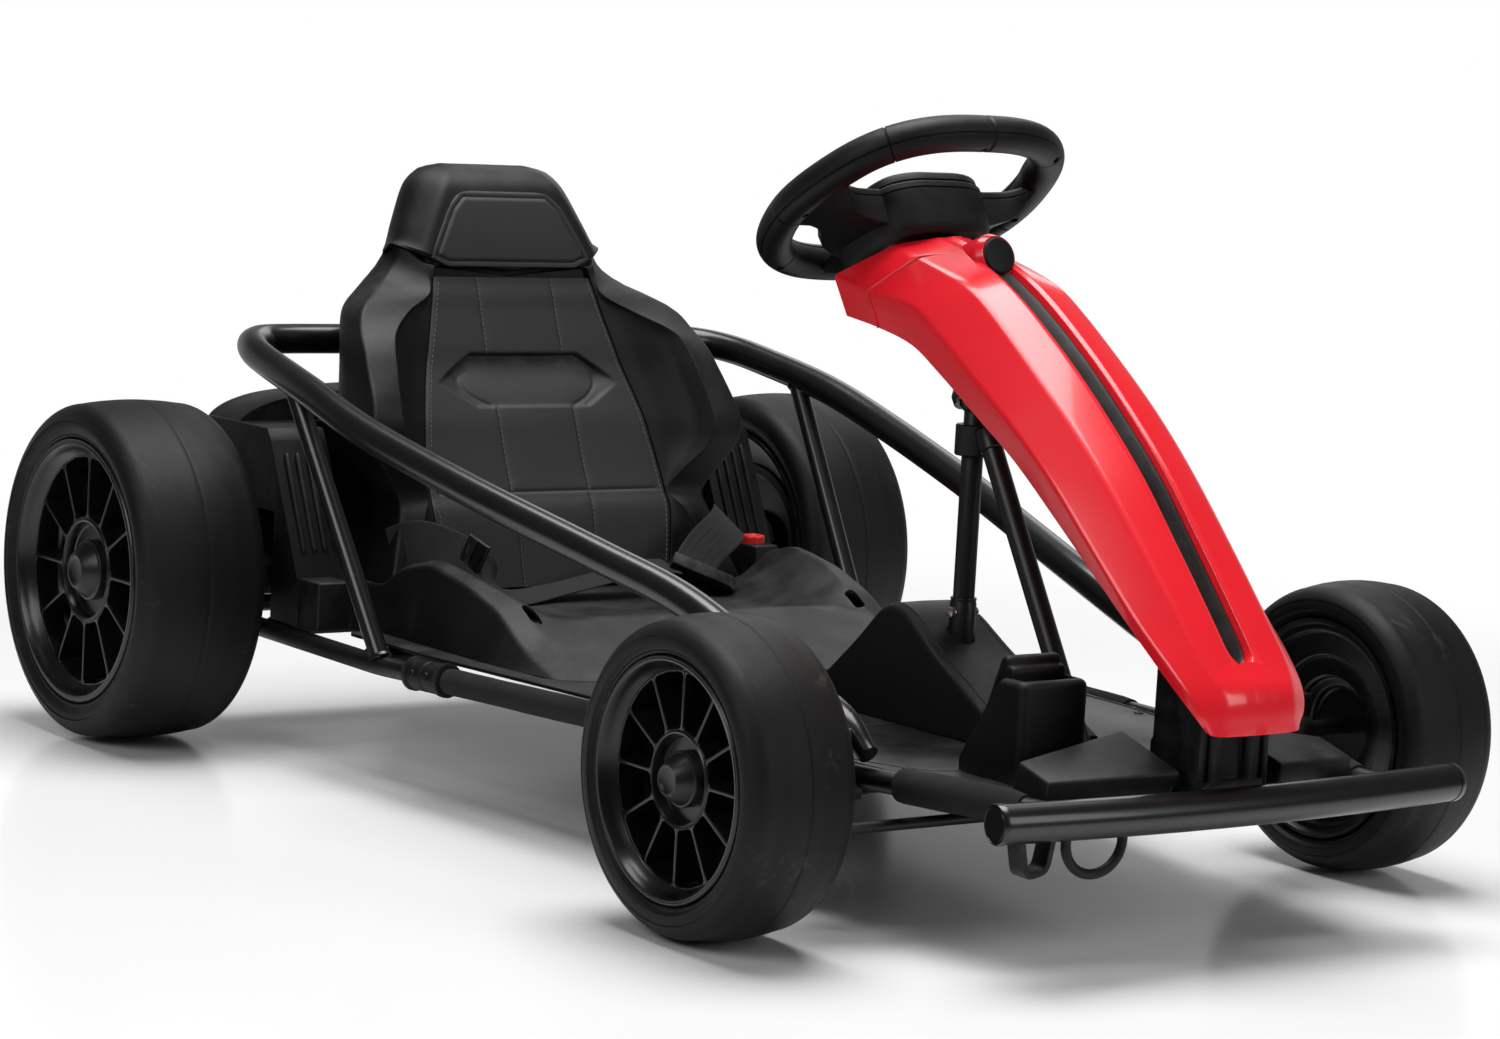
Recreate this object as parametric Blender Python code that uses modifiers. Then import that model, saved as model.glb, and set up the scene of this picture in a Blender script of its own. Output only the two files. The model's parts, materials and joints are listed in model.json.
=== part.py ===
"""Ride-on electric go-kart, modelled piece by piece at its real size.

Metres, +Z up.  The kart faces -Y and the driver's left is +X.  Every piece is laid out from
the front axle: y = 0 is the front axle and z = 0 is the ground.  The empty named kart then
shifts the whole model, so that its footprint is centred on the world origin.
"""

import math

import bmesh
import bpy
from mathutils import Matrix, Vector

# Clearances
GAP = 0.0003
RUNNING_GAP = 0.0005

# Wheels
WHEELBASE = 0.7945
FRONT_TYRE_RADIUS = 0.110
FRONT_TYRE_WIDTH = 0.089
FRONT_HALF_TRACK = 0.2982
FRONT_SIDEWALL = 0.026
REAR_TYRE_RADIUS = 0.140
REAR_TYRE_WIDTH = 0.113
REAR_HALF_TRACK = 0.3311
REAR_SIDEWALL = 0.031
SHOULDER_RADIUS = 0.016
CROWN_RISE = 0.003
RIM_INSET = 0.003
SPOKE_INSET = 0.012
SPOKE_COUNT = 12
SPOKE_WIDTH = 0.0042
POCKET_DEPTH = 0.022
AXLE_RADIUS = 0.006
AXLE_END_INSET = 0.022
GEARBOX_WIDTH = 0.0272
GEARBOX_CLEARANCE = 0.003
AXLE_PLATE = 0.005
RAIL_SETBACK = 0.0094
TYRE_SEGMENTS = 32
RIM_SEGMENTS = 24

# Lower frame
RAIL_RADIUS = 0.008
RAIL_REAR_HEIGHT = 0.095
FLOOR_HEIGHT = 0.109
PAN_THICKNESS = 0.003
PAN_RAIL_INSET = 0.0145
REAR_OVERHANG = 0.0555
BUMPER_RADIUS = 0.0135
BUMPER_HALF_LENGTH = 0.207
BUMPER_FRONT = 0.200
BUMPER_BOW = 0.013
BUMPER_HEIGHT = 0.107
SIDE_SLEEVE_RADIUS = 0.0105
FRONT_SLEEVE_RADIUS = 0.0125
SADDLE_RADIUS = 0.013

# Side hoop and struts
HOOP_RADIUS = 0.0127
HOOP_REAR_HEIGHT = 0.330
STRUT_RADIUS = 0.008

# Steering
KINGPIN_X = 0.225
KINGPIN_RADIUS = 0.004
YOKE_HALF_HEIGHT = 0.030
YOKE_PLATE = 0.004
STEERING_ARM = 0.045
TIE_BAR_RADIUS = 0.004
TIE_BAR_HEIGHT = 0.077
CRANK_ARM = 0.030
CRANK_PIN_RADIUS = 0.0035
COLUMN_Y = 0.113
COLUMN_RADIUS = 0.008
JOINT_HEIGHT = 0.349
JOINT_BALL_RADIUS = 0.012
STEERING_TILT = math.radians(33.0)
SHAFT_LENGTH = 0.167
STAY_HEAD_DROP = 0.035
WHEEL_HALF_WIDTH = 0.097
WHEEL_HALF_HEIGHT = 0.098
WHEEL_RIM_RADIUS = 0.0135
HUB_DEPTH = 0.045

# Seat and bodywork
SEAT_SETBACK = 0.1445
SEAT_PAN_HEIGHT = 0.132
SEAT_PANEL_THICKNESS = 0.006
BASE_WALL = 0.0025
FAIRING_HALF_WIDTH = 0.242
FAIRING_HEIGHT = 0.262
FAIRING_WALL = 0.003
SEAT_NOTCH = 0.190
HUMP_HEIGHT = 0.195
HUMP_WALL = 0.0025
NOSE_WALL = 0.003
GROOVE_HALF_WIDTH = 0.0095
GROOVE_DEPTH = 0.007
STRIPE_THICKNESS = 0.004
NOSE_FOOT_HEIGHT = 0.157
NOSE_RISE = 0.192
POST_HALF_WIDTH = 0.032
PEDAL_HALF_SPREAD = 0.088
PEDAL_WIDTH = 0.060
PEDAL_TOP = 0.193
PEDAL_PROUD = 0.013
PEDAL_FRONT = -0.100
PEDAL_DEPTH = 0.064
PEDAL_WALL = 0.003
PEDAL_BARREL = 0.0055
BUTTON_RADIUS = 0.010
BELT_WIDTH = 0.038
BELT_THICKNESS = 0.002

# Places that follow from the sizes above
AXLE_Y = WHEELBASE
SEAT_Y = AXLE_Y - SEAT_SETBACK
CROSS_TUBE_HEIGHT = FLOOR_HEIGHT - PAN_THICKNESS - GAP - RAIL_RADIUS
REAR_TUBE_Y = AXLE_Y + REAR_OVERHANG
REST_HEIGHT = FLOOR_HEIGHT + GAP
REAR_REST_HEIGHT = CROSS_TUBE_HEIGHT + RAIL_RADIUS + GAP
GEARBOX_OUTER = REAR_HALF_TRACK - REAR_TYRE_WIDTH / 2 - GEARBOX_CLEARANCE
GEARBOX_INNER = GEARBOX_OUTER - GEARBOX_WIDTH
RAIL_REAR_WIDTH = GEARBOX_INNER - RAIL_SETBACK
NOSE_STRETCH = (JOINT_HEIGHT - NOSE_FOOT_HEIGHT) / NOSE_RISE
CENTRE_Y = (AXLE_Y + REAR_TYRE_RADIUS - BUMPER_FRONT - BUMPER_RADIUS) / 2
SIDES = (("right", -1), ("left", 1))

# Finishes: colour, roughness, metallic
FINISHES = {
    "gloss tube": ((0.012, 0.012, 0.013), 0.18, 0.0),
    "satin tube": ((0.020, 0.020, 0.021), 0.42, 0.0),
    "foam": ((0.030, 0.030, 0.031), 0.85, 0.0),
    "tyre": ((0.026, 0.026, 0.027), 0.62, 0.0),
    "rim": ((0.010, 0.010, 0.011), 0.30, 0.0),
    "black plastic": ((0.022, 0.022, 0.023), 0.48, 0.0),
    "red plastic": ((0.720, 0.012, 0.018), 0.14, 0.0),
    "seat panel": ((0.028, 0.028, 0.029), 0.60, 0.0),
    "button": ((0.640, 0.020, 0.016), 0.35, 0.0),
    "webbing": ((0.018, 0.018, 0.019), 0.90, 0.0),
    "steel": ((0.420, 0.420, 0.430), 0.35, 1.0),
    "battery": ((0.120, 0.125, 0.130), 0.55, 0.0),
}


for leftover in list(bpy.data.objects):
    bpy.data.objects.remove(leftover)
PARTS = bpy.data.collections.new("electric_go_kart")
bpy.context.scene.collection.children.link(PARTS)


# Basic solids


def add_object(name, data):
    """Return a new object in the parts collection."""
    obj = bpy.data.objects.new(name, data)
    PARTS.objects.link(obj)
    return obj


def from_bmesh(name, shape):
    """Return an object made from a bmesh, with its faces pointing out."""
    bmesh.ops.recalc_face_normals(shape, faces=shape.faces)
    mesh = bpy.data.meshes.new(name)
    shape.to_mesh(mesh)
    shape.free()
    return add_object(name, mesh)


def applied(obj):
    """Replace an object by a mesh object that holds its evaluated shape."""
    graph = bpy.context.evaluated_depsgraph_get()
    mesh = bpy.data.meshes.new_from_object(obj.evaluated_get(graph))
    result = add_object(obj.name + "_mesh", mesh)
    result.matrix_world = obj.matrix_world
    name = obj.name
    bpy.data.objects.remove(obj)
    result.name = name
    shape = bmesh.new()
    shape.from_mesh(mesh)
    bmesh.ops.remove_doubles(shape, verts=shape.verts, dist=0.00001)
    bmesh.ops.recalc_face_normals(shape, faces=shape.faces)
    shape.to_mesh(mesh)
    shape.free()
    return result


def box(name, low, high, bevel=0.0):
    """Return a box between two corners, with bevelled edges if asked."""
    low, high = Vector(low), Vector(high)
    shape = bmesh.new()
    bmesh.ops.create_cube(shape, size=1.0)
    bmesh.ops.scale(shape, vec=high - low, verts=shape.verts)
    bmesh.ops.translate(shape, vec=(low + high) / 2, verts=shape.verts)
    if bevel:
        bmesh.ops.bevel(shape, geom=shape.edges, offset=bevel, segments=1, affect="EDGES")
    return from_bmesh(name, shape)


def rod(name, start, end, radius, end_radius=None, segments=12):
    """Return a cylinder or cone between two points."""
    start, end = Vector(start), Vector(end)
    shape = bmesh.new()
    bmesh.ops.create_cone(
        shape,
        cap_ends=True,
        segments=segments,
        radius1=radius,
        radius2=radius if end_radius is None else end_radius,
        depth=(end - start).length,
    )
    turn = Vector((0, 0, 1)).rotation_difference(end - start).to_matrix()
    bmesh.ops.rotate(shape, matrix=turn, cent=(0, 0, 0), verts=shape.verts)
    bmesh.ops.translate(shape, vec=(start + end) / 2, verts=shape.verts)
    return from_bmesh(name, shape)


def ball(name, centre, radius):
    """Return a sphere."""
    shape = bmesh.new()
    bmesh.ops.create_uvsphere(shape, u_segments=12, v_segments=8, radius=radius)
    bmesh.ops.translate(shape, vec=centre, verts=shape.verts)
    return from_bmesh(name, shape)


def hull(name, points):
    """Return the convex solid around some points."""
    shape = bmesh.new()
    for point in points:
        shape.verts.new(point)
    bmesh.ops.convex_hull(shape, input=shape.verts)
    loose = [vert for vert in shape.verts if not vert.link_faces]
    bmesh.ops.delete(shape, geom=loose, context="VERTS")
    return from_bmesh(name, shape)


def tube(name, path, radius, sides=8, closed=False, tapers=None):
    """Return a tube swept along a path, from a curve with a round bevel and filled caps."""
    curve = bpy.data.curves.new(name, "CURVE")
    curve.dimensions = "3D"
    curve.bevel_depth = radius
    curve.bevel_resolution = (sides - 4) // 2
    curve.use_fill_caps = not closed
    spline = curve.splines.new("POLY")
    spline.points.add(len(path) - 1)
    for index, place in enumerate(path):
        spline.points[index].co = (*place, 1.0)
        spline.points[index].radius = tapers[index] if tapers else 1.0
    spline.use_cyclic_u = closed
    return applied(add_object(name, curve))


def plate(name, outline, thickness):
    """Return a flat plate with its outline in XY and its middle at z = 0."""
    curve = bpy.data.curves.new(name, "CURVE")
    curve.dimensions = "2D"
    curve.fill_mode = "BOTH"
    curve.extrude = thickness / 2
    spline = curve.splines.new("POLY")
    spline.points.add(len(outline) - 1)
    for index, place in enumerate(outline):
        spline.points[index].co = (*place, 0.0, 1.0)
    spline.use_cyclic_u = True
    return applied(add_object(name, curve))


def prism(name, outline, low_x, high_x):
    """Return a solid with a side outline in YZ, running from one x to another."""
    solid = plate(name, outline, high_x - low_x)
    columns = Matrix(((0, 0, 1), (1, 0, 0), (0, 1, 0))).to_4x4()
    solid.data.transform(Matrix.Translation(((low_x + high_x) / 2, 0, 0)) @ columns)
    return solid


def turned(name, profile, segments=24, closed=False):
    """Return a shape turned about Z from a profile of radius and height."""
    points = [(radius, 0.0, height) for radius, height in profile]
    edges = [(index, index + 1) for index in range(len(points) - 1)]
    if closed:
        edges.append((len(points) - 1, 0))
    mesh = bpy.data.meshes.new(name)
    mesh.from_pydata(points, edges, [])
    obj = add_object(name, mesh)
    screw = obj.modifiers.new("turn", "SCREW")
    screw.steps = segments
    screw.render_steps = segments
    screw.use_merge_vertices = True
    screw.merge_threshold = 0.00001
    return applied(obj)


def skin(name, rows):
    """Return an open sheet of quads over rows of points."""
    width = len(rows[0])
    points = [point for row in rows for point in row]
    faces = [
        (line * width + i, line * width + i + 1, (line + 1) * width + i + 1, (line + 1) * width + i)
        for line in range(len(rows) - 1)
        for i in range(width - 1)
    ]
    mesh = bpy.data.meshes.new(name)
    mesh.from_pydata(points, [], faces)
    return add_object(name, mesh)


def loft(name, rows):
    """Return a closed solid over rows of points that each run round a closed outline."""
    shape = bmesh.new()
    rings = [[shape.verts.new(point) for point in row] for row in rows]
    for lower, upper in zip(rings, rings[1:]):
        for i in range(len(lower)):
            j = (i + 1) % len(lower)
            shape.faces.new((lower[i], lower[j], upper[j], upper[i]))
    shape.faces.new(rings[0])
    shape.faces.new(rings[-1])
    return from_bmesh(name, shape)


# Operations


def shell(obj, thickness, symmetric=False):
    """Give an open sheet a wall on its inner side, after mirroring it if it is a half."""
    if symmetric:
        mirror = obj.modifiers.new("mirror", "MIRROR")
        mirror.use_clip = True
        mirror.merge_threshold = 0.0001
    wall = obj.modifiers.new("wall", "SOLIDIFY")
    wall.thickness = thickness
    wall.offset = -1.0
    return applied(obj)


def combine(obj, others, operation):
    """Join other solids to an object, or cut them out of it, and use them up."""
    for other in others:
        boolean = obj.modifiers.new("combine", "BOOLEAN")
        boolean.operation = operation
        boolean.solver = "EXACT"
        boolean.object = other
        obj = applied(obj)
        bpy.data.objects.remove(other)
    return obj


def join(obj, *others):
    """Fuse other solids into an object."""
    return combine(obj, others, "UNION")


def cut(obj, *others):
    """Cut other solids out of an object."""
    return combine(obj, others, "DIFFERENCE")


def trim_below(obj, height):
    """Cut an object off flat at a height."""
    return cut(obj, box("trim", (-1, -1, height - 0.5), (1, 2, height)))


def mirrored(obj, name):
    """Return a copy of an object reflected in the plane x = 0."""
    mesh = obj.data.copy()
    mesh.transform(Matrix.Scale(-1, 4, (1, 0, 0)))
    mesh.flip_normals()
    return add_object(name, mesh)


def place_on_axis(obj, pivot):
    """Move an object's origin to a point on its joint's axis."""
    obj.data.transform(Matrix.Translation(-Vector(pivot)))
    obj.location = pivot


def finish(obj, kind):
    """Give an object its own material and smooth its round faces."""
    colour, roughness, metallic = FINISHES[kind]
    material = bpy.data.materials.new(obj.name + "_finish")
    material.use_nodes = True
    surface = material.node_tree.nodes["Principled BSDF"]
    surface.inputs["Base Color"].default_value = (*colour, 1.0)
    surface.inputs["Roughness"].default_value = roughness
    surface.inputs["Metallic"].default_value = metallic
    obj.data.materials.clear()
    obj.data.materials.append(material)
    obj.data.shade_smooth()
    obj.data.set_sharp_from_angle(angle=math.radians(35))


def blend(a, b, t):
    """Return the value a share t of the way from a to b."""
    return a + (b - a) * t


def smooth_path(stations, steps):
    """Return points on a smooth curve through all the stations."""
    points = [Vector(station) for station in stations]
    ends = [2 * points[0] - points[1], *points, 2 * points[-1] - points[-2]]
    path = []
    for p0, p1, p2, p3 in zip(ends, ends[1:], ends[2:], ends[3:]):
        for step in range(steps):
            t = step / steps
            drift = (p2 - p0) * t + (2 * p0 - 5 * p1 + 4 * p2 - p3) * t * t
            path.append(p1 + (drift + (3 * p1 - p0 - 3 * p2 + p3) * t ** 3) / 2)
    return path + [points[-1]]


def mirrored_rows(rows):
    """Return rows of half outlines completed by their reflection in x = 0."""
    return [row + [(-x, y, z) for x, y, z in reversed(row) if x > 0.0] for row in rows]


# Lower frame


def bumper_y(x):
    """Return the y of the bumper's centre line at an x."""
    return -BUMPER_FRONT + BUMPER_BOW * (x / BUMPER_HALF_LENGTH) ** 2


# Each station of the left rail: y, half width, height
RAIL_STATIONS = (
    (-0.193, 0.1445, BUMPER_HEIGHT),
    (-0.030, 0.178, 0.104),
    (0.145, 0.200, 0.101),
    (AXLE_Y - 0.2945, 0.236, 0.096),
    (AXLE_Y - 0.2545, 0.240, RAIL_REAR_HEIGHT),
    (REAR_TUBE_Y, RAIL_REAR_WIDTH, RAIL_REAR_HEIGHT),
)


def rail_at(y):
    """Return the half width and height of the lower rail's centre line at a y."""
    for (y0, x0, z0), (y1, x1, z1) in zip(RAIL_STATIONS, RAIL_STATIONS[1:]):
        if y <= y1:
            t = (y - y0) / (y1 - y0)
            return blend(x0, x1, t), blend(z0, z1, t)
    return RAIL_STATIONS[-1][1:]


def rail_path(start, end):
    """Return the left rail's centre line between two places along the kart."""
    inner = [y for y, _, _ in RAIL_STATIONS if start < y < end]
    points = []
    for y in (start, *inner, end):
        x, z = rail_at(y)
        points.append((x, y, z))
    return points


def rail(name, radius):
    """Return a tube of some radius along the whole left rail."""
    return tube(name, rail_path(RAIL_STATIONS[0][0], RAIL_STATIONS[-1][0]), radius, sides=10)


def bumper_bar(name, radius):
    """Return a tube along the front bumper."""
    xs = [BUMPER_HALF_LENGTH * share for share in (-1, -0.75, -0.5, -0.25, 0, 0.25, 0.5, 0.75, 1)]
    return tube(name, [(x, bumper_y(x), BUMPER_HEIGHT) for x in xs], radius, sides=12)


def build_bumper():
    """Build the bowed front bumper with a plug in each end."""
    bar = bumper_bar("bumper", BUMPER_RADIUS)
    slope = 2 * BUMPER_BOW / BUMPER_HALF_LENGTH
    for _, side in SIDES:
        end = Vector((side * BUMPER_HALF_LENGTH, bumper_y(BUMPER_HALF_LENGTH), BUMPER_HEIGHT))
        along = Vector((side, slope, 0)).normalized()
        plug = rod("plug", end - along * 0.004, end + along * 0.0025, BUMPER_RADIUS + 0.0006)
        bar = join(bar, plug)
    finish(bar, "gloss tube")


def front_yoke(name):
    """Return the left C-shaped bracket that holds a front knuckle on its kingpin."""
    middle = FRONT_TYRE_RADIUS
    inner = KINGPIN_X - 0.026
    outer = KINGPIN_X + 0.011
    low, high = middle - YOKE_HALF_HEIGHT, middle + YOKE_HALF_HEIGHT
    bracket = box(name, (inner, -0.020, low), (inner + YOKE_PLATE, 0.020, high))
    rail_x, rail_z = rail_at(0.0)
    return join(
        bracket,
        box("flange", (inner, -0.015, low), (outer, 0.015, low + YOKE_PLATE)),
        box("flange", (inner, -0.015, high - YOKE_PLATE), (outer, 0.015, high)),
        box("link", (rail_x, -0.012, rail_z - 0.015), (inner + 0.002, 0.012, rail_z)),
        rod("kingpin", (KINGPIN_X, 0, low - 0.003), (KINGPIN_X, 0, high + 0.003), KINGPIN_RADIUS),
        rod("head", (KINGPIN_X, 0, high), (KINGPIN_X, 0, high + 0.004), 0.0075, segments=6),
        rod("nut", (KINGPIN_X, 0, low - 0.004), (KINGPIN_X, 0, low), 0.0075, segments=6),
    )


def axle_plate(name):
    """Return the upright plate that carries the rear axle on the left rail."""
    x, z = rail_at(AXLE_Y)
    top = REAR_TYRE_RADIUS + 0.020
    outline = [
        (AXLE_Y - 0.024, z),
        (AXLE_Y + 0.024, z),
        (AXLE_Y + 0.016, top - 0.006),
        (AXLE_Y + 0.009, top),
        (AXLE_Y - 0.009, top),
        (AXLE_Y - 0.016, top - 0.006),
    ]
    upright = prism(name, outline, x - AXLE_PLATE / 2, x + AXLE_PLATE / 2)
    place = (x - 0.01, AXLE_Y, REAR_TYRE_RADIUS)
    hole = rod("hole", place, (x + 0.01, AXLE_Y, REAR_TYRE_RADIUS), AXLE_RADIUS + GAP)
    return cut(upright, hole)


def cross_tube(y):
    """Return a straight tube between the two rails."""
    x = rail_at(y)[0]
    z = CROSS_TUBE_HEIGHT
    return tube("cross", [(-x, y, z), (x, y, z)], RAIL_RADIUS, sides=10)


def build_lower_frame():
    """Build the welded frame: rails, cross tubes, front yokes, axle plates, battery tray."""
    left = join(rail("lower_frame", RAIL_RADIUS), front_yoke("yoke"), axle_plate("upright"))
    right = mirrored(left, "right_half")
    crossings = [cross_tube(y) for y in (-0.162, 0.0, COLUMN_Y + 0.018, SEAT_Y - 0.09, SEAT_Y + 0.075)]
    rear = cross_tube(REAR_TUBE_Y)
    top = CROSS_TUBE_HEIGHT + RAIL_RADIUS
    tray = box("tray", (-0.100, SEAT_Y + 0.075, top - 0.004), (0.100, REAR_TUBE_Y, top - 0.0005))
    frame = join(crossings[0], left, right, *crossings[1:], rear, tray)
    frame = cut(frame, bumper_bar("front end", BUMPER_RADIUS + GAP))
    frame.name = "lower_frame"
    finish(frame, "satin tube")


def rail_sleeve(name, start, end, radius, front_share=1.0):
    """Return a sleeve round the left rail, tapered towards its front end if asked."""
    path = rail_path(start, end)
    first, second = Vector(path[0]), Vector(path[1])
    path.insert(1, first.lerp(second, min(0.9, 0.012 / (second - first).length)))
    tapers = [front_share] + [1.0] * (len(path) - 1)
    outer = tube(name, path, radius, tapers=tapers)
    return cut(outer, rail("bore", RAIL_RADIUS + GAP))


def build_sleeves():
    """Build the foam sleeves and the clamping cuffs on the rails."""
    rear = AXLE_Y - 0.3445
    pieces = (
        ("side_sleeve", 0.145, rear, SIDE_SLEEVE_RADIUS, 0.92, "foam"),
        ("front_sleeve", -0.150, -0.046, FRONT_SLEEVE_RADIUS, 0.80, "foam"),
        ("saddle", rear + GAP, rear + 0.045, SADDLE_RADIUS, 1.0, "black plastic"),
    )
    for name, start, end, radius, share, kind in pieces:
        left = rail_sleeve(name + "_left", start, end, radius, share)
        finish(left, kind)
        finish(mirrored(left, name + "_right"), kind)


def build_floor_pan():
    """Build the flat floor between the rails, with a hole for the column."""
    stations = (-0.168, -0.030, 0.145, AXLE_Y - 0.2945, AXLE_Y - 0.1745)
    half = [(rail_at(y)[0] - PAN_RAIL_INSET, y) for y in stations]
    outline = half + [(-x, y) for x, y in reversed(half)]
    pan = plate("floor_pan", outline, PAN_THICKNESS)
    pan.data.transform(Matrix.Translation((0, 0, FLOOR_HEIGHT - PAN_THICKNESS / 2)))
    low = Vector((0, COLUMN_Y, FLOOR_HEIGHT - 2 * PAN_THICKNESS))
    hole = rod("hole", low, low + Vector((0, 0, 3 * PAN_THICKNESS)), COLUMN_RADIUS + RUNNING_GAP)
    finish(cut(pan, hole), "black plastic")


# Hoop and struts


def hoop_stations():
    """Return the stations of the left half of the hoop, from its front foot to the back."""
    rear = HOOP_REAR_HEIGHT
    return (
        (0.182, -0.022, 0.1195),
        (0.184, 0.010, 0.138),
        (0.188, 0.100, 0.165),
        (0.193, 0.195, 0.196),
        (0.210, AXLE_Y - 0.5135, rear - 0.113),
        (0.238, AXLE_Y - 0.3805, rear - 0.082),
        (0.257, AXLE_Y - 0.2485, rear - 0.051),
        (0.258, AXLE_Y - 0.1595, rear - 0.028),
        (0.251, AXLE_Y - 0.0745, rear - 0.012),
        (0.243, AXLE_Y - 0.0345, rear - 0.005),
        (0.226, AXLE_Y - 0.0055, rear - 0.001),
        (0.195, AXLE_Y + 0.0085, rear),
        (0.100, AXLE_Y + 0.0085, rear),
    )


def hoop_path():
    """Return the centre line of the whole hoop."""
    half = smooth_path(hoop_stations(), 2)
    return half + [Vector((-p.x, p.y, p.z)) for p in reversed(half)]


def hoop_tube(name, radius):
    """Return a tube of some radius along the hoop, narrower at its two feet."""
    path = hoop_path()
    tapers = [1.0] * len(path)
    tapers[0] = tapers[-1] = 0.85
    return tube(name, path, radius, sides=10, tapers=tapers)


def build_hoop():
    """Build the one-piece hoop that runs round the kart, with its feet shaped to the rails."""
    hoop = hoop_tube("side_hoop", HOOP_RADIUS)
    left = rail("left rail", RAIL_RADIUS + GAP)
    right = mirrored(left, "right rail")
    finish(cut(hoop, left, right), "gloss tube")


def build_struts():
    """Build the straight struts between the lower rails and the hoop."""
    foot_y = AXLE_Y - 0.2580
    foot_x, foot_z = rail_at(foot_y)
    top = Vector((0.2545, AXLE_Y - 0.1185, HOOP_REAR_HEIGHT - 0.0195))
    strut = tube("strut_left", [(foot_x, foot_y, foot_z), top], STRUT_RADIUS)
    strut = cut(strut, rail("rail", RAIL_RADIUS + GAP), hoop_tube("hoop", HOOP_RADIUS + GAP))
    finish(strut, "gloss tube")
    finish(mirrored(strut, "strut_right"), "gloss tube")


# Wheels


def tyre_profile(radius, width, rim_radius):
    """Return a tyre's section as a closed profile of radius and place across the tread."""
    half = width / 2
    bore = rim_radius + GAP
    flat = half - SHOULDER_RADIUS
    edge = radius - CROWN_RISE
    side = [(bore, half - 0.004)]
    for angle in (0, 35, 70):
        turn = math.radians(angle)
        out = flat + SHOULDER_RADIUS * math.cos(turn)
        side.append((edge - SHOULDER_RADIUS * (1 - math.sin(turn)), out))
    return side + [(radius, 0.0)] + [(r, -w) for r, w in reversed(side)]


def rim_profile(width, rim_radius):
    """Return a rim's section, from the hub recess round the barrel to the inner dish."""
    lip = width / 2 - RIM_INSET
    face = lip - SPOKE_INSET
    size = rim_radius
    barrel = size * math.cos(math.pi / TYRE_SEGMENTS)
    return [
        (0.0, face - 0.004),
        (0.30 * size, face - 0.004),
        (0.31 * size, face),
        (0.875 * size, face),
        (barrel - 0.0025, lip),
        (barrel, lip),
        (barrel, -lip),
        (barrel - 0.004, -lip),
        (0.80 * size, -lip + 0.024),
        (0.60 * size, -lip + 0.026),
        (0.56 * size, -lip + 0.038),
        (0.0, -lip + 0.038),
    ]


def pocket_outline(size):
    """Return one pocket between two spokes: a round inner end and a flared outer end."""
    slope = math.tan(math.pi / SPOKE_COUNT)
    half_spoke = SPOKE_WIDTH / 2 / math.cos(math.pi / SPOKE_COUNT)

    def edge(radius):
        """Return the pocket's half width at a radius."""
        return radius * slope - half_spoke

    inner, outer = 0.47 * size, 0.76 * size
    side = [(0.415 * size, edge(0.415 * size) * 0.5), (inner, edge(inner)), (outer, edge(outer))]
    side.append((0.835 * size, edge(outer) * 0.55))
    return side + [(r, -w) for r, w in reversed(side)]


def spoke_pockets(width, rim_radius):
    """Return the solid ring of pockets that leaves the spokes standing."""
    face = width / 2 - RIM_INSET - SPOKE_INSET
    shape = bmesh.new()
    for index in range(SPOKE_COUNT):
        turn = Matrix.Rotation(2 * math.pi * (index + 0.5) / SPOKE_COUNT, 3, "Z")
        floor = [turn @ Vector((x, y, face - POCKET_DEPTH)) for x, y in pocket_outline(rim_radius)]
        face_loop = shape.faces.new([shape.verts.new(point) for point in floor])
        raised = bmesh.ops.extrude_face_region(shape, geom=[face_loop])["geom"]
        lifted = [item for item in raised if isinstance(item, bmesh.types.BMVert)]
        bmesh.ops.translate(shape, vec=(0, 0, POCKET_DEPTH + 0.003), verts=lifted)
    return from_bmesh("pockets", shape)


def cap_profile(width, rim_radius):
    """Return the hub cap's section: a cone with a flat, slightly dished front."""
    floor = width / 2 - RIM_INSET - SPOKE_INSET - 0.004 + GAP
    tip = floor + SPOKE_INSET + 0.002
    base = 0.215 * rim_radius
    return [
        (0.0, tip - 0.001),
        (0.45 * base, tip - 0.001),
        (0.50 * base, tip),
        (0.58 * base, tip),
        (0.86 * base, floor + 0.004),
        (base, floor + 0.003),
        (base, floor),
        (0.0, floor),
    ]


def set_upright(obj, side, centre):
    """Turn a piece made about Z onto a wheel's axis, with its outer face pointing out."""
    obj.data.transform(Matrix.Rotation(side * math.pi / 2, 4, "Y"))
    obj.location = centre


def build_wheel(corner, side, centre, radius, width, rim_radius):
    """Build one wheel: tyre, spoked rim and hub cap, with their origins on its axle."""
    tyre = turned("tyre_" + corner, tyre_profile(radius, width, rim_radius), TYRE_SEGMENTS, True)
    rim = turned("rim_" + corner, rim_profile(width, rim_radius), RIM_SEGMENTS)
    bore_end = width / 2 - AXLE_END_INSET + 0.002
    bore = rod("bore", (0, 0, -width), (0, 0, bore_end), AXLE_RADIUS + RUNNING_GAP, segments=12)
    rim = cut(rim, spoke_pockets(width, rim_radius), bore)
    cap = turned("hub_cap_" + corner, cap_profile(width, rim_radius), 16)
    for piece, kind in ((tyre, "tyre"), (rim, "rim"), (cap, "black plastic")):
        set_upright(piece, side, centre)
        finish(piece, kind)


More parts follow.
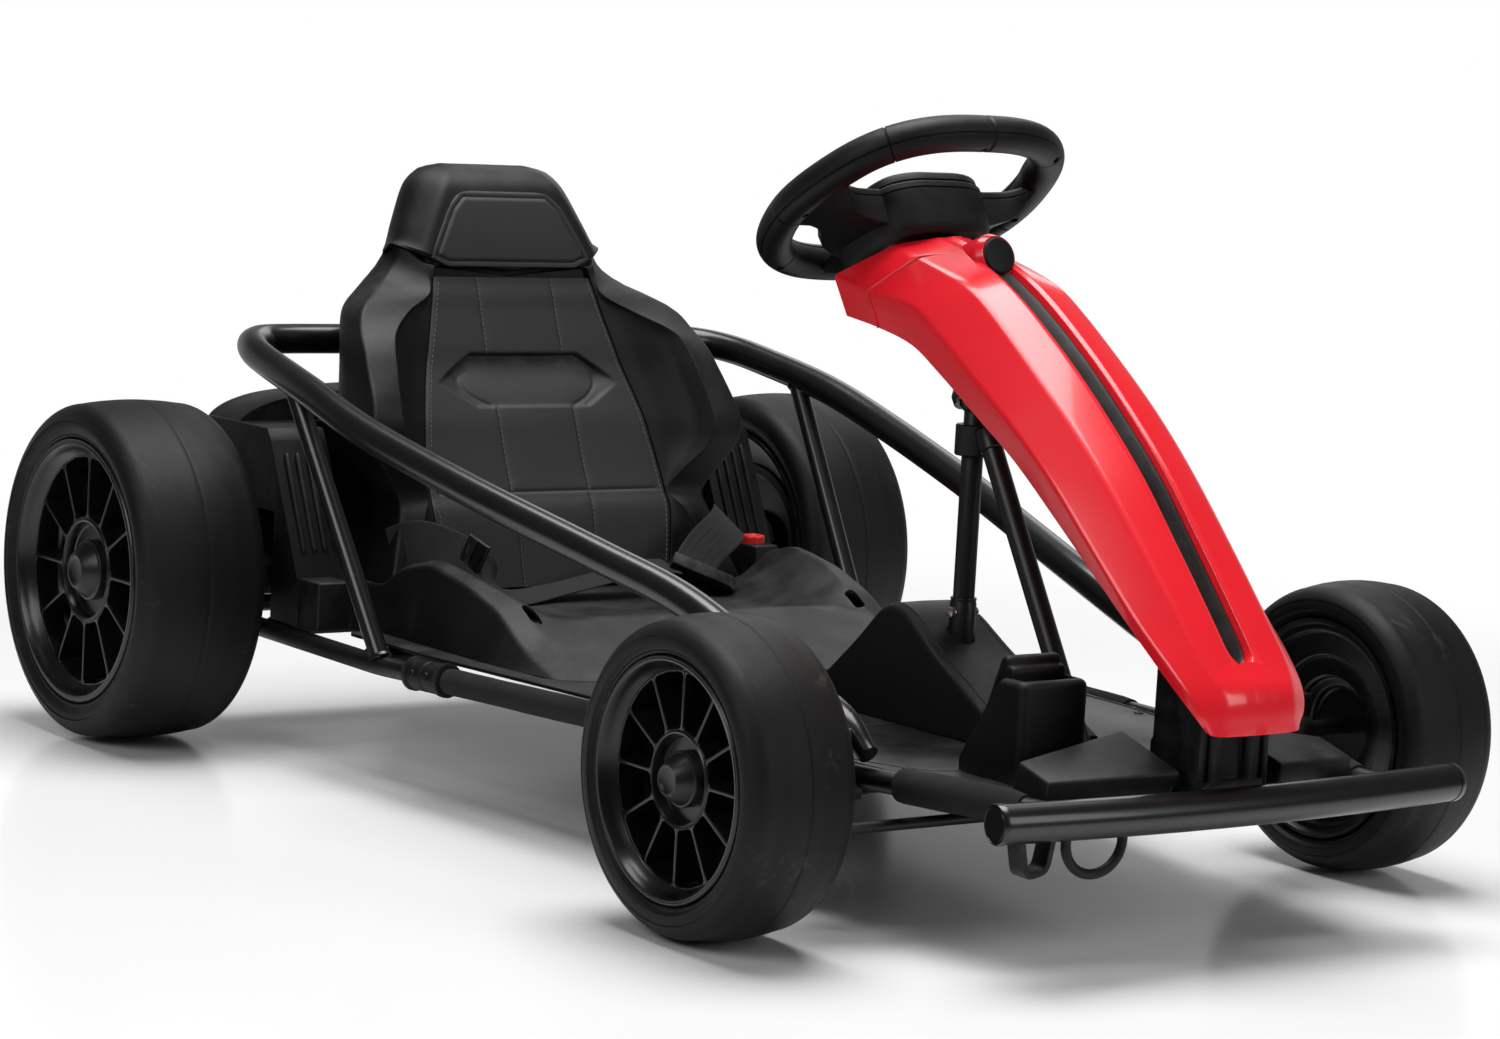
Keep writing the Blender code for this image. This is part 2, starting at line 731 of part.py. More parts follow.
def build_wheels():
    """Build the two front and the two larger rear wheels."""
    for word, side in SIDES:
        front = (side * FRONT_HALF_TRACK, 0.0, FRONT_TYRE_RADIUS)
        rear = (side * REAR_HALF_TRACK, AXLE_Y, REAR_TYRE_RADIUS)
        front_sizes = (FRONT_TYRE_RADIUS, FRONT_TYRE_WIDTH, FRONT_TYRE_RADIUS - FRONT_SIDEWALL)
        rear_sizes = (REAR_TYRE_RADIUS, REAR_TYRE_WIDTH, REAR_TYRE_RADIUS - REAR_SIDEWALL)
        build_wheel("front_" + word, side, front, *front_sizes)
        build_wheel("rear_" + word, side, rear, *rear_sizes)


def build_rear_drive():
    """Build the rear axle, and a gearbox with its motor inside each rear wheel."""
    half = REAR_HALF_TRACK + REAR_TYRE_WIDTH / 2 - AXLE_END_INSET
    z = REAR_TYRE_RADIUS
    finish(rod("rear_axle", (-half, AXLE_Y, z), (half, AXLE_Y, z), AXLE_RADIUS), "steel")
    plate_face = rail_at(AXLE_Y)[0] + AXLE_PLATE / 2
    inner, outer = GEARBOX_INNER, GEARBOX_OUTER
    motor_y = AXLE_Y - 0.052
    casing = []
    for x in (inner, outer):
        for y, radius, count in ((AXLE_Y, 0.042, 16), (motor_y, 0.022, 12)):
            for index in range(count):
                turn = 2 * math.pi * index / count
                casing.append((x, y + radius * math.cos(turn), z + radius * math.sin(turn)))
    gearbox = join(
        hull("gearbox_left", casing),
        rod("boss", (plate_face + GAP, AXLE_Y, z), (inner + 0.002, AXLE_Y, z), 0.013),
        rod("motor", (inner - 0.043, motor_y, z), (inner + 0.002, motor_y, z), 0.018),
    )
    bore = rod("bore", (0, AXLE_Y, z), (half, AXLE_Y, z), AXLE_RADIUS + RUNNING_GAP, segments=12)
    gearbox = cut(gearbox, bore)
    finish(gearbox, "black plastic")
    finish(mirrored(gearbox, "gearbox_right"), "black plastic")


# Steering linkage


def build_knuckles():
    """Build the front knuckles, each turning on its kingpin."""
    z = FRONT_TYRE_RADIUS
    low = z - YOKE_HALF_HEIGHT + YOKE_PLATE + RUNNING_GAP
    high = z + YOKE_HALF_HEIGHT - YOKE_PLATE - RUNNING_GAP
    stub_end = FRONT_HALF_TRACK + FRONT_TYRE_WIDTH / 2 - AXLE_END_INSET
    arm_top = low + 0.007
    arm_y = -STEERING_ARM
    knuckle = join(
        rod("knuckle_left", (KINGPIN_X, 0, low), (KINGPIN_X, 0, high), 0.010),
        rod("stub", (KINGPIN_X, 0, z), (stub_end, 0, z), AXLE_RADIUS),
        rod("shoulder", (KINGPIN_X, 0, z), (KINGPIN_X + 0.024, 0, z), 0.009),
        box("arm", (KINGPIN_X - 0.006, arm_y, low), (KINGPIN_X + 0.006, 0, arm_top)),
        rod("eye", (KINGPIN_X, arm_y, low), (KINGPIN_X, arm_y, arm_top + 0.003), 0.008),
    )
    bore = rod("bore", (KINGPIN_X, 0, 0), (KINGPIN_X, 0, 0.2), KINGPIN_RADIUS + RUNNING_GAP)
    knuckle = cut(knuckle, bore)
    right = mirrored(knuckle, "knuckle_right")
    for piece, side in ((knuckle, 1), (right, -1)):
        place_on_axis(piece, (side * KINGPIN_X, 0, z))
        finish(piece, "satin tube")


def build_tie_bar():
    """Build the bar between the steering arms, with the fork that the column's pin drives."""
    low = FRONT_TYRE_RADIUS - YOKE_HALF_HEIGHT + YOKE_PLATE
    z = TIE_BAR_HEIGHT
    pin_y = COLUMN_Y - CRANK_ARM
    slot = CRANK_PIN_RADIUS + RUNNING_GAP
    y = -STEERING_ARM
    bar = rod("tie_bar", (-KINGPIN_X, y, z), (KINGPIN_X, y, z), TIE_BAR_RADIUS)
    for side in (-1, 1):
        x = side * KINGPIN_X
        eye = rod("eye", (x, y, z - 0.006), (x, y, low), 0.0075)
        bar = join(bar, eye)
    stem = box("stem", (-0.010, y, z - 0.002), (0.010, pin_y + 0.009, z + 0.002))
    fork = box("fork", (-slot, pin_y - slot - 0.001, z - 0.01), (slot, pin_y + 0.02, z + 0.01))
    bar = join(bar, cut(stem, fork))
    place_on_axis(bar, (KINGPIN_X, y, z))
    finish(bar, "satin tube")


def build_column():
    """Build the upright column with its crank at the foot and its ball at the head."""
    y = COLUMN_Y
    foot = TIE_BAR_HEIGHT + 0.006
    pin_y = y - CRANK_ARM
    sleeve_low, sleeve_high = HUMP_HEIGHT - 0.030, HUMP_HEIGHT + 0.008
    bolt_z = HUMP_HEIGHT - 0.003
    column = join(
        rod("steering_column", (0, y, foot), (0, y, JOINT_HEIGHT), COLUMN_RADIUS),
        rod("sleeve", (0, y, sleeve_low), (0, y, sleeve_high), COLUMN_RADIUS + 0.0018),
        rod("bolt", (-0.0135, y, bolt_z), (0.0135, y, bolt_z), 0.0028, segments=8),
        ball("ball", (0, y, JOINT_HEIGHT), JOINT_BALL_RADIUS),
        box("crank", (-0.006, pin_y - 0.006, foot), (0.006, y, foot + 0.004)),
        rod("pin", (0, pin_y, TIE_BAR_HEIGHT - 0.004), (0, pin_y, foot + 0.002), CRANK_PIN_RADIUS),
    )
    place_on_axis(column, (0, y, JOINT_HEIGHT))
    finish(column, "gloss tube")


def steering_frame():
    """Return the steering wheel's frame: its middle, its face towards the driver as +Z."""
    joint = Vector((0, COLUMN_Y, JOINT_HEIGHT))
    turn = Matrix.Rotation(math.pi, 4, "Z") @ Matrix.Rotation(STEERING_TILT, 4, "X")
    middle = joint + turn.to_3x3() @ Vector((0, 0, SHAFT_LENGTH))
    return Matrix.Translation(middle) @ turn


def build_upper_shaft():
    """Build the shaft from the joint's cup up to the steering wheel's hub."""
    ball_z = -SHAFT_LENGTH
    inner = JOINT_BALL_RADIUS + RUNNING_GAP
    outer = inner + 0.004
    cup = [(COLUMN_RADIUS, ball_z + outer + 0.004), (outer, ball_z + 0.008), (outer, ball_z)]
    for angle in (0, 25, 50, 75):
        turn = math.radians(angle)
        cup.append((inner * math.cos(turn), ball_z + inner * math.sin(turn)))
    cup.append((0.0, ball_z + inner))
    top = [(0.0, -HUB_DEPTH - GAP), (COLUMN_RADIUS, -HUB_DEPTH - GAP)]
    shaft = turned("upper_shaft", top + cup, 16)
    shaft.matrix_world = steering_frame()
    finish(shaft, "gloss tube")


def wheel_outline():
    """Return the middle line of the steering wheel's rim, a rounded square."""
    power = 2 / 2.7
    points = []
    for index in range(28):
        turn = 2 * math.pi * index / 28
        c, s = math.cos(turn), math.sin(turn)
        x = math.copysign(abs(c) ** power, c) * WHEEL_HALF_WIDTH
        y = math.copysign(abs(s) ** power, s) * WHEEL_HALF_HEIGHT
        points.append((x, y, 0.0))
    return points


def build_steering_wheel():
    """Build the steering wheel, its hub pad and the collar under its hub."""
    rim = tube("steering_wheel", wheel_outline(), WHEEL_RIM_RADIUS, closed=True)
    hub = box("hub", (-0.046, -0.054, -HUB_DEPTH), (0.046, 0.040, -0.004), bevel=0.006)
    arms = [
        box("arm", (0.040, -0.040, -0.024), (0.092, 0.010, -0.005), bevel=0.004),
        box("arm", (-0.092, -0.040, -0.024), (-0.040, 0.010, -0.005), bevel=0.004),
        box("arm", (-0.026, -0.092, -0.022), (0.026, -0.045, -0.005), bevel=0.004),
    ]
    wheel = join(rim, hub, *arms)
    pad = box("wheel_hub_pad", (-0.040, -0.046, -0.004 + GAP), (0.040, 0.036, 0.004), bevel=0.003)
    collar_low = -HUB_DEPTH - 0.022
    bore = COLUMN_RADIUS + GAP
    section = [
        (bore, -HUB_DEPTH - GAP),
        (0.026, -HUB_DEPTH - GAP),
        (0.024, -HUB_DEPTH - 0.006),
        (0.017, collar_low),
        (bore, collar_low),
    ]
    collar = turned("wheel_collar", section, 20, True)
    for piece in (wheel, pad, collar):
        piece.matrix_world = steering_frame()
        finish(piece, "black plastic")


# Each end of the stay that props the column: x, y, z
STAY_TOP = Vector((0, COLUMN_Y - 0.0230, JOINT_HEIGHT - STAY_HEAD_DROP))
STAY_KNEE = Vector((0, 0.0020, 0.1660))
STAY_FOOT = Vector((0, -0.0300, REST_HEIGHT))


def build_stay():
    """Build the rod in front of the column and the bracket that holds both their heads."""
    along = (STAY_TOP - STAY_KNEE).normalized()
    root = STAY_FOOT - Vector((0, 0.003, 0.005))
    stay = tube("stay_tube", [root, STAY_KNEE, STAY_TOP], COLUMN_RADIUS)
    low = (STAY_FOOT.x - 0.016, STAY_FOOT.y - 0.013, REST_HEIGHT)
    high = (STAY_FOOT.x + 0.016, STAY_FOOT.y + 0.011, REST_HEIGHT + 0.003)
    stay = trim_below(join(stay, box("foot", low, high)), REST_HEIGHT)
    finish(stay, "gloss tube")
    seat = STAY_TOP + along * GAP
    collar_low, collar_high = STAY_TOP.z - 0.006, JOINT_HEIGHT - JOINT_BALL_RADIUS - 0.006
    bracket = join(
        rod("column_bracket", (0, COLUMN_Y, collar_low), (0, COLUMN_Y, collar_high), 0.0135),
        rod("socket", seat, seat + along * 0.016, 0.0095),
    )
    reach = Vector((0, 0, 0.1))
    middle = Vector((0, COLUMN_Y, collar_low))
    bore = rod("bore", middle - reach, middle + reach, COLUMN_RADIUS + RUNNING_GAP)
    finish(cut(bracket, bore), "satin tube")


# Pedals and floor covers


def build_pedals():
    """Build the two pedals and the housings that they lean in."""
    x = PEDAL_HALF_SPREAD
    half = PEDAL_WIDTH / 2
    front, rear = PEDAL_FRONT, PEDAL_FRONT + PEDAL_DEPTH
    top = PEDAL_TOP - PEDAL_PROUD
    wall = PEDAL_WALL
    crest = front + 0.38 * PEDAL_DEPTH
    outline = [
        (front, FLOOR_HEIGHT - 0.002),
        (rear, FLOOR_HEIGHT - 0.002),
        (rear, FLOOR_HEIGHT + 0.010),
        (crest, top),
        (front + wall, top),
        (front, top - wall),
    ]
    cavity = [
        (front + wall, FLOOR_HEIGHT - 0.004),
        (rear + 0.01, FLOOR_HEIGHT - 0.004),
        (rear + 0.01, top + 0.01),
        (front + wall, top + 0.01),
    ]
    housing = prism("pedal_housing_left", outline, x - half, x + half)
    hollow = prism("hollow", cavity, x - half + wall, x + half - wall)
    housing = trim_below(cut(housing, hollow), REST_HEIGHT)
    finish(housing, "black plastic")
    finish(mirrored(housing, "pedal_housing_right"), "black plastic")
    hinge = Vector((0, rear - 0.0025, FLOOR_HEIGHT + PEDAL_BARREL + 0.002))
    lean = Vector((0, crest - rear, top - hinge.z + 0.006)).normalized()
    square = Vector((0, -lean.z, lean.y))
    reach = (PEDAL_TOP - hinge.z) / lean.z
    corners = ((0, -0.0045), (reach, -0.0045), (reach, 0.0025), (0, 0.0025))
    slab = [hinge + square * t + lean * s for s, t in corners]
    inside = half - wall - RUNNING_GAP
    pedal = prism("pedal_left", [(p.y, p.z) for p in slab], x - inside, x + inside)
    ends = [(x + side * inside, hinge.y, hinge.z) for side in (-1, 1)]
    pedal = join(pedal, rod("barrel", *ends, PEDAL_BARREL))
    right = mirrored(pedal, "pedal_right")
    for piece, side in ((pedal, 1), (right, -1)):
        place_on_axis(piece, (side * x, hinge.y, hinge.z))
        finish(piece, "black plastic")


def build_wedge_covers():
    """Build the folded covers on the floor between the pedals and the bumper."""
    base = REST_HEIGHT
    points = [
        (0.139, -0.124, base + 0.0237),
        (0.139, -0.156, base + 0.0147),
        (0.046, -0.183, base + 0.0207),
        (0.045, -0.120, base + 0.0387),
        (0.141, -0.119, base),
        (0.141, -0.157, base),
        (0.050, -0.176, base),
        (0.042, -0.114, base),
    ]
    cover = hull("wedge_cover_left", points)
    finish(cover, "black plastic")
    finish(mirrored(cover, "wedge_cover_right"), "black plastic")


# Each station of the hump's ridge, front to back: y and the depth below its top
HUMP_RIDGE = (
    (0.004, 0.078),
    (0.035, 0.060),
    (0.097, 0.029),
    (0.132, 0.006),
    (0.150, 0.000),
    (0.166, 0.002),
    (0.190, 0.030),
    (0.222, 0.062),
    (0.258, 0.078),
)


def hump_solid(name, inset):
    """Return the hump as a solid, drawn in on every side but its base."""
    base = FLOOR_HEIGHT - 0.001 - 4 * inset
    middle = HUMP_RIDGE[4][0]
    rows = []
    for y, depth in HUMP_RIDGE:
        z = HUMP_HEIGHT - depth - 1.3 * inset
        y += math.copysign(inset, middle - y)
        rise = 1.0 - depth / 0.090
        shoulder = blend(0.045, 0.034, rise) - inset
        drop = 0.006 * rise
        side = 0.046 - inset
        rows.append([
            (0.0, y, z),
            (shoulder - 0.009, y, z),
            (shoulder, y, z - drop),
            (side, y, base),
            (0.0, y, base),
        ])
    return loft(name, mirrored_rows(rows))


def build_steering_cover():
    """Build the humped cover over the foot of the steering column."""
    cover = cut(hump_solid("steering_cover", 0.0), hump_solid("hollow", HUMP_WALL))
    start = Vector((0, COLUMN_Y, FLOOR_HEIGHT + 0.02))
    hole = rod("hole", start, start + Vector((0, 0, 0.1)), COLUMN_RADIUS + 0.0018 + RUNNING_GAP)
    finish(trim_below(cut(cover, hole), REST_HEIGHT), "black plastic")


def build_under_straps():
    """Build the strap and the loop that hang under the bumper."""
    y, top = -0.186, BUMPER_HEIGHT
    outline = [(0.196, top), (0.187, 0.069), (0.166, 0.072), (0.158, top)]
    inner = [(0.189, top + 0.01), (0.183, 0.0735), (0.170, 0.0765), (0.164, top + 0.01)]
    strap = prism("under_strap", [(-x, z) for x, z in outline], -0.0075, 0.0075)
    strap = cut(strap, prism("inside", [(-x, z) for x, z in inner], -0.02, 0.02))
    across = Matrix(((0, 1, 0), (1, 0, 0), (0, 0, 1))).to_4x4()
    strap.data.transform(Matrix.Translation((0, y, 0)) @ across)
    arc = [math.radians(angle) for angle in range(0, 181, 20)]
    ring = [(-0.126 + 0.0245 * math.cos(a), y - 0.004, 0.090 - 0.0215 * math.sin(a)) for a in arc]
    path = [(ring[0][0], ring[0][1], top), *ring, (ring[-1][0], ring[-1][1], top)]
    loop = tube("cable_loop", path, 0.0035, sides=8)
    for piece in (strap, loop):
        finish(cut(piece, bumper_bar("bar", BUMPER_RADIUS + GAP)), "black plastic")


# Nose


# Each station of the nose, back to front: spine, crease beside it, side crease, lower edge.
# The spine is (y, z) in the middle plane and the others are (x, y, z).
NOSE_STATIONS = (
    ((0.146, 0.466), (0.040, 0.168, 0.458), (0.066, 0.206, 0.432), (0.064, 0.190, 0.4035)),
    ((0.112, 0.458), (0.044, 0.136, 0.451), (0.067, 0.164, 0.4235), (0.063, 0.152, 0.398)),
    ((0.082, 0.445), (0.043, 0.082, 0.437), (0.066, 0.115, 0.419), (0.062, 0.114, 0.389)),
    ((0.047, 0.426), (0.043, 0.049, 0.419), (0.065, 0.080, 0.3995), (0.062, 0.081, 0.372)),
    ((0.000, 0.394), (0.044, 0.002, 0.385), (0.065, 0.032, 0.3685), (0.062, 0.030, 0.342)),
    ((-0.040, 0.362), (0.044, -0.039, 0.353), (0.065, -0.006, 0.344), (0.062, -0.010, 0.318)),
    ((-0.087, 0.320), (0.043, -0.080, 0.316), (0.065, -0.051, 0.311), (0.062, -0.056, 0.2845)),
    ((-0.125, 0.278), (0.041, -0.125, 0.271), (0.063, -0.100, 0.266), (0.061, -0.103, 0.248)),
    ((-0.160, 0.238), (0.039, -0.164, 0.230), (0.060, -0.140, 0.229), (0.059, -0.143, 0.216)),
    ((-0.188, 0.205), (0.037, -0.190, 0.201), (0.056, -0.175, 0.200), (0.055, -0.175, 0.189)),
    ((-0.207, 0.184), (0.030, -0.206, 0.182), (0.050, -0.196, 0.179), (0.050, -0.196, 0.170)),
    ((-0.209, 0.157), (0.036, -0.207, 0.157), (0.049, -0.2015, 0.158), (0.051, -0.198, 0.160)),
)
GROOVE_START = (1, 0.75)
GROOVE_END = (8, 0.80)


def nose_point(place):
    """Return a tabled point of the nose, stretched so that its top reaches the joint."""
    x, y, z = place
    return Vector((x, y, NOSE_FOOT_HEIGHT + (z - NOSE_FOOT_HEIGHT) * NOSE_STRETCH))


def nose_spine(place):
    """Return the spine's point at a station number, which may lie between two stations."""
    index = min(int(place), len(NOSE_STATIONS) - 2)
    share = place - index
    (y0, z0), (y1, z1) = NOSE_STATIONS[index][0], NOSE_STATIONS[index + 1][0]
    return nose_point((0, blend(y0, y1, share), blend(z0, z1, share)))


def nose_inward(place):
    """Return the direction square to the spine that points into the nose."""
    along = nose_spine(min(place + 0.5, 10.5)) - nose_spine(max(place - 0.5, 0.0))
    return Vector((0, -along.z, along.y)).normalized()


def nose_row(place, groove):
    """Return the half section of the nose at a station number, with or without its groove."""
    index = min(int(place), len(NOSE_STATIONS) - 2)
    share = place - index
    mid, side, edge = (
        nose_point(NOSE_STATIONS[index][line]).lerp(nose_point(NOSE_STATIONS[index + 1][line]), share)
        for line in (1, 2, 3)
    )
    spine = nose_spine(place)
    floor = spine + nose_inward(place) * (GROOVE_DEPTH if groove else 0.0)
    lip = GROOVE_HALF_WIDTH + 0.0045
    lip_share = lip / mid.x
    shoulder = spine.lerp(mid, lip_share * 0.6)
    return [
        floor,
        Vector((GROOVE_HALF_WIDTH, floor.y, floor.z)),
        Vector((lip, shoulder.y, shoulder.z)),
        mid,
        side,
        edge,
    ]


def nose_places():
    """Return each loft station as a station number and whether the groove runs there."""
    start = GROOVE_START[0] + GROOVE_START[1]
    end = GROOVE_END[0] + GROOVE_END[1]
    places = [(0, False), (1, False), (start, False)]
    places += [(number, True) for number in range(2, 9)]
    return places + [(end, True), (9, False), (10, False), (11, False)]


def build_nose_shell():
    """Build the long front cover with its sunk stripe and the boss at its top."""
    rows = [nose_row(place, groove) for place, groove in nose_places()]
    rows = [list(reversed(row)) for row in rows]
    cover = shell(skin("nose_shell", rows), NOSE_WALL, symmetric=True)
    head = nose_spine(0.2) + nose_inward(0.2) * 0.006
    tail = nose_spine(1.6) + nose_inward(1.6) * 0.001
    cover = join(cover, rod("boss", head, tail, 0.0155))
    finish(cover, "red plastic")


def build_nose_trim():
    """Build the dark stripe in the nose's groove and the oval cap on its boss."""
    floor_lift = GROOVE_DEPTH - GAP
    half = GROOVE_HALF_WIDTH - 2 * GAP
    rows = []
    places = [2.0 + 0.02, *range(3, 9), GROOVE_END[0] + GROOVE_END[1] - 0.02]
    for place in places:
        spine, inward = nose_spine(place), nose_inward(place)
        low = spine + inward * floor_lift
        high = low - inward * STRIPE_THICKNESS
        rows.append([(half, *low.yz), (half, *high.yz), (-half, *high.yz), (-half, *low.yz)])
    finish(loft("nose_stripe", rows), "black plastic")
    tail = nose_spine(1.6) + nose_inward(1.6) * 0.001
    along = (tail - nose_spine(0.2) - nose_inward(0.2) * 0.006).normalized()
    start = tail + along * GAP
    cap = rod("nose_cap", start, start + along * 0.003, 0.0130, 0.0115)
    outward = nose_inward(1.5) * -2 * GAP
    top = [nose_spine(1) + outward, nose_spine(2) + outward]
    corners = []
    for point in top:
        for x in (-0.03, 0.03):
            corners += [point + Vector((x, 0, 0)), point + Vector((x, 0, -0.05))]
    finish(cut(cap, hull("surface", corners)), "black plastic")


def nose_under(y):
    """Return the height just below the groove's wall at a y."""
    depth = GROOVE_DEPTH + NOSE_WALL + 3 * GAP
    places = [6 + step / 8 for step in range(30)]
    line = [nose_spine(place) + nose_inward(place) * depth for place in places]
    for after, before in zip(line, line[1:]):
        if before.y <= y <= after.y:
            return blend(before.z, after.z, (y - before.y) / (after.y - before.y))
    return line[-1].z


def build_nose_post():
    """Build the block that carries the nose's front end on the floor."""
    rear, front = -0.136, -0.184
    ys = [blend(rear, front, share) for share in (0, 0.33, 0.66, 1)]
    outline = [(rear, REST_HEIGHT), *((y, nose_under(y)) for y in ys), (front, REST_HEIGHT)]
    half = POST_HALF_WIDTH
    post = prism("nose_post", outline, -half, half)
    slot_low = REST_HEIGHT + 0.012
    slot_high = REST_HEIGHT + 0.061
    for left, right, depth in ((-0.012, 0.012, 0.006), (-0.027, -0.022, 0.004), (0.022, 0.027, 0.004)):
        slot = box("slot", (left, front - 0.01, slot_low), (right, front + depth, slot_high))
        post = cut(post, slot)
    finish(post, "black plastic")


# Seat


# Each level of the seat, bottom to top: height, then measured back from SEAT_Y the panel's
# face, the panel's half width, the bolster's crest (x, y), its outer edge (x, y), the back.
SEAT_LEVELS = (
    (0.1325, 0.000, 0.112, (0.150, -0.010), (0.178, -0.018), 0.075),
    (0.190, 0.014, 0.119, (0.140, 0.005), (0.162, 0.006), 0.090),
    (0.218, 0.028, 0.119, (0.138, 0.018), (0.155, 0.015), 0.100),
    (0.245, 0.040, 0.115, (0.150, 0.014), (0.178, 0.010), 0.110),
    (0.270, 0.050, 0.111, (0.156, 0.006), (0.187, 0.006), 0.118),
    (0.314, 0.072, 0.101, (0.150, 0.035), (0.178, 0.037), 0.120),
    (0.345, 0.085, 0.091, (0.134, 0.063), (0.169, 0.060), 0.130),
    (0.365, 0.093, 0.086, (0.115, 0.078), (0.155, 0.085), 0.142),
    (0.385, 0.100, 0.080, (0.095, 0.096), (0.125, 0.115), 0.166),
    (0.400, 0.102, 0.076, (0.086, 0.105), (0.103, 0.125), 0.172),
    (0.430, 0.110, 0.066, (0.076, 0.114), (0.092, 0.132), 0.178),
    (0.462, 0.122, 0.050, (0.060, 0.126), (0.078, 0.143), 0.182),
    (0.476, 0.135, 0.042, (0.050, 0.138), (0.064, 0.148), 0.179),
    (0.482, 0.147, 0.034, (0.042, 0.149), (0.052, 0.153), 0.173),
)


def seat_face(height):
    """Return the panel's y and half width at a height."""
    for lower, upper in zip(SEAT_LEVELS, SEAT_LEVELS[1:]):
        if height <= upper[0]:
            t = (height - lower[0]) / (upper[0] - lower[0])
            return SEAT_Y + blend(lower[1], upper[1], t), blend(lower[2], upper[2], t)
    return SEAT_Y + SEAT_LEVELS[-1][1], SEAT_LEVELS[-1][2]


def build_seat_shell():
    """Build the moulded bucket seat, with side bolsters and a raised headrest."""
    rows = []
    for z, face, half, crest, edge, back in SEAT_LEVELS:
        sunk = SEAT_Y + face + SEAT_PANEL_THICKNESS
        rear = SEAT_Y + back
        side_y = blend(SEAT_Y + edge[1], rear, 0.6)
        rows.append([
            (0.0, sunk, z),
            (half, sunk, z),
            (half + 0.001, SEAT_Y + face - 0.001, z),
            (crest[0], SEAT_Y + crest[1], z),
            (edge[0], SEAT_Y + edge[1], z),
            (edge[0] + 0.002, side_y, z),
            (edge[0] * 0.82, rear - 0.006, z),
            (0.0, rear, z),
        ])
    finish(loft("seat_shell", mirrored_rows(rows)), "black plastic")


def seat_pad(name, low, high, proud):
    """Return a pad that fills the seat's sunk panel between two heights."""
    levels = [low, *[level[0] for level in SEAT_LEVELS if low < level[0] < high], high]
    rows = []
    for z in levels:
        face, half = seat_face(z)
        half -= 2 * GAP
        back = face + SEAT_PANEL_THICKNESS - GAP
        soft = half - 0.004
        rows.append([
            (0.0, face - proud, z),
            (soft, face - proud, z),
            (half, face + 0.002, z),
            (half, back, z),
            (0.0, back, z),
        ])
    return loft(name, mirrored_rows(rows))


def build_seat_pads():
    """Build the quilted back panel and the headrest pad above it."""
    split = 0.394
    finish(seat_pad("seat_back_panel", 0.165, split - GAP, 0.0), "seat panel")
    finish(seat_pad("headrest_pad", split, 0.458, 0.003), "seat panel")


# Each section of the seat base, front to back. The y values are measured back from SEAT_Y.
BASE_SECTIONS = (
    ((0, -0.320, 0.105), (0.100, -0.318, 0.105), (0.140, -0.314, 0.105), (0.172, -0.309, 0.105),
     (0.188, -0.298, 0.105), (0.195, -0.285, 0.105)),
    ((0, -0.203, 0.1455), (0.100, -0.203, 0.1455), (0.140, -0.210, 0.142), (0.164, -0.226, 0.133),
     (0.184, -0.232, 0.124), (0.199, -0.230, 0.105)),
    ((0, -0.188, 0.133), (0.100, -0.188, 0.133), (0.135, -0.190, 0.142), (0.160, -0.192, 0.154),
     (0.184, -0.190, 0.149), (0.200, -0.190, 0.105)),
    ((0, -0.145, 0.132), (0.112, -0.145, 0.132), (0.145, -0.145, 0.150), (0.173, -0.145, 0.167),
     (0.187, -0.145, 0.163), (0.201, -0.145, 0.105)),
    ((0, -0.092, 0.132), (0.112, -0.092, 0.132), (0.150, -0.092, 0.155), (0.176, -0.092, 0.176),
     (0.188, -0.092, 0.172), (0.201, -0.092, 0.105)),
    ((0, -0.050, 0.132), (0.120, -0.050, 0.132), (0.155, -0.050, 0.148), (0.178, -0.050, 0.166),
     (0.189, -0.050, 0.163), (0.201, -0.050, 0.105)),
    ((0, -0.029, 0.132), (0.130, -0.029, 0.132), (0.165, -0.029, 0.137), (0.183, -0.029, 0.149),
     (0.190, -0.029, 0.149), (0.201, -0.029, 0.105)),
    ((0, -0.020, 0.132), (0.140, -0.020, 0.132), (0.183, -0.020, 0.132), (0.187, -0.020, 0.145),
     (0.191, -0.020, 0.145), (0.201, -0.020, 0.105)),
    ((0, 0.020, 0.132), (0.140, 0.020, 0.132), (0.183, 0.020, 0.132), (0.187, 0.020, 0.145),
     (0.191, 0.020, 0.145), (0.201, 0.020, 0.105)),
)
BUTTON_X = 0.1965
BUTTON_Y = SEAT_Y - 0.004
BUTTON_SHELF = 0.1655


def build_seat_base():
    """Build the cover under the seat, with its swept sides and the button's shelf."""
    lift = SEAT_PAN_HEIGHT - 0.132
    rows = []
    for section in BASE_SECTIONS:
        rows.append([(x, SEAT_Y + y, z if z < FLOOR_HEIGHT else z + lift) for x, y, z in section])
    base = shell(skin("seat_base", rows), BASE_WALL, symmetric=True)
    low = (BUTTON_X - 0.0125, BUTTON_Y - 0.021, REST_HEIGHT)
    high = (BUTTON_X + 0.0125, BUTTON_Y + 0.019, BUTTON_SHELF)
    base = join(base, box("shelf", low, high, bevel=0.0015))
    floor = BUTTON_SHELF - 0.009
    well_foot = Vector((BUTTON_X, BUTTON_Y, floor))
    well = rod("well", well_foot, well_foot + Vector((0, 0, 0.03)), BUTTON_RADIUS + RUNNING_GAP)
    base = trim_below(cut(base, well), REST_HEIGHT)
    base.name = "seat_base"
    finish(base, "black plastic")


def build_button():
    """Build the round button that slides in its well."""
    low, high = BUTTON_SHELF - 0.005, BUTTON_SHELF + 0.007
    section = [(0.0, high), (BUTTON_RADIUS - 0.0015, high), (BUTTON_RADIUS, high - 0.0015)]
    section += [(BUTTON_RADIUS, low), (0.0, low)]
    button = turned("red_button", section, 16)
    button.data.transform(Matrix.Translation((0, 0, -low)))
    button.location = (BUTTON_X, BUTTON_Y, low)
    finish(button, "button")


# Rear


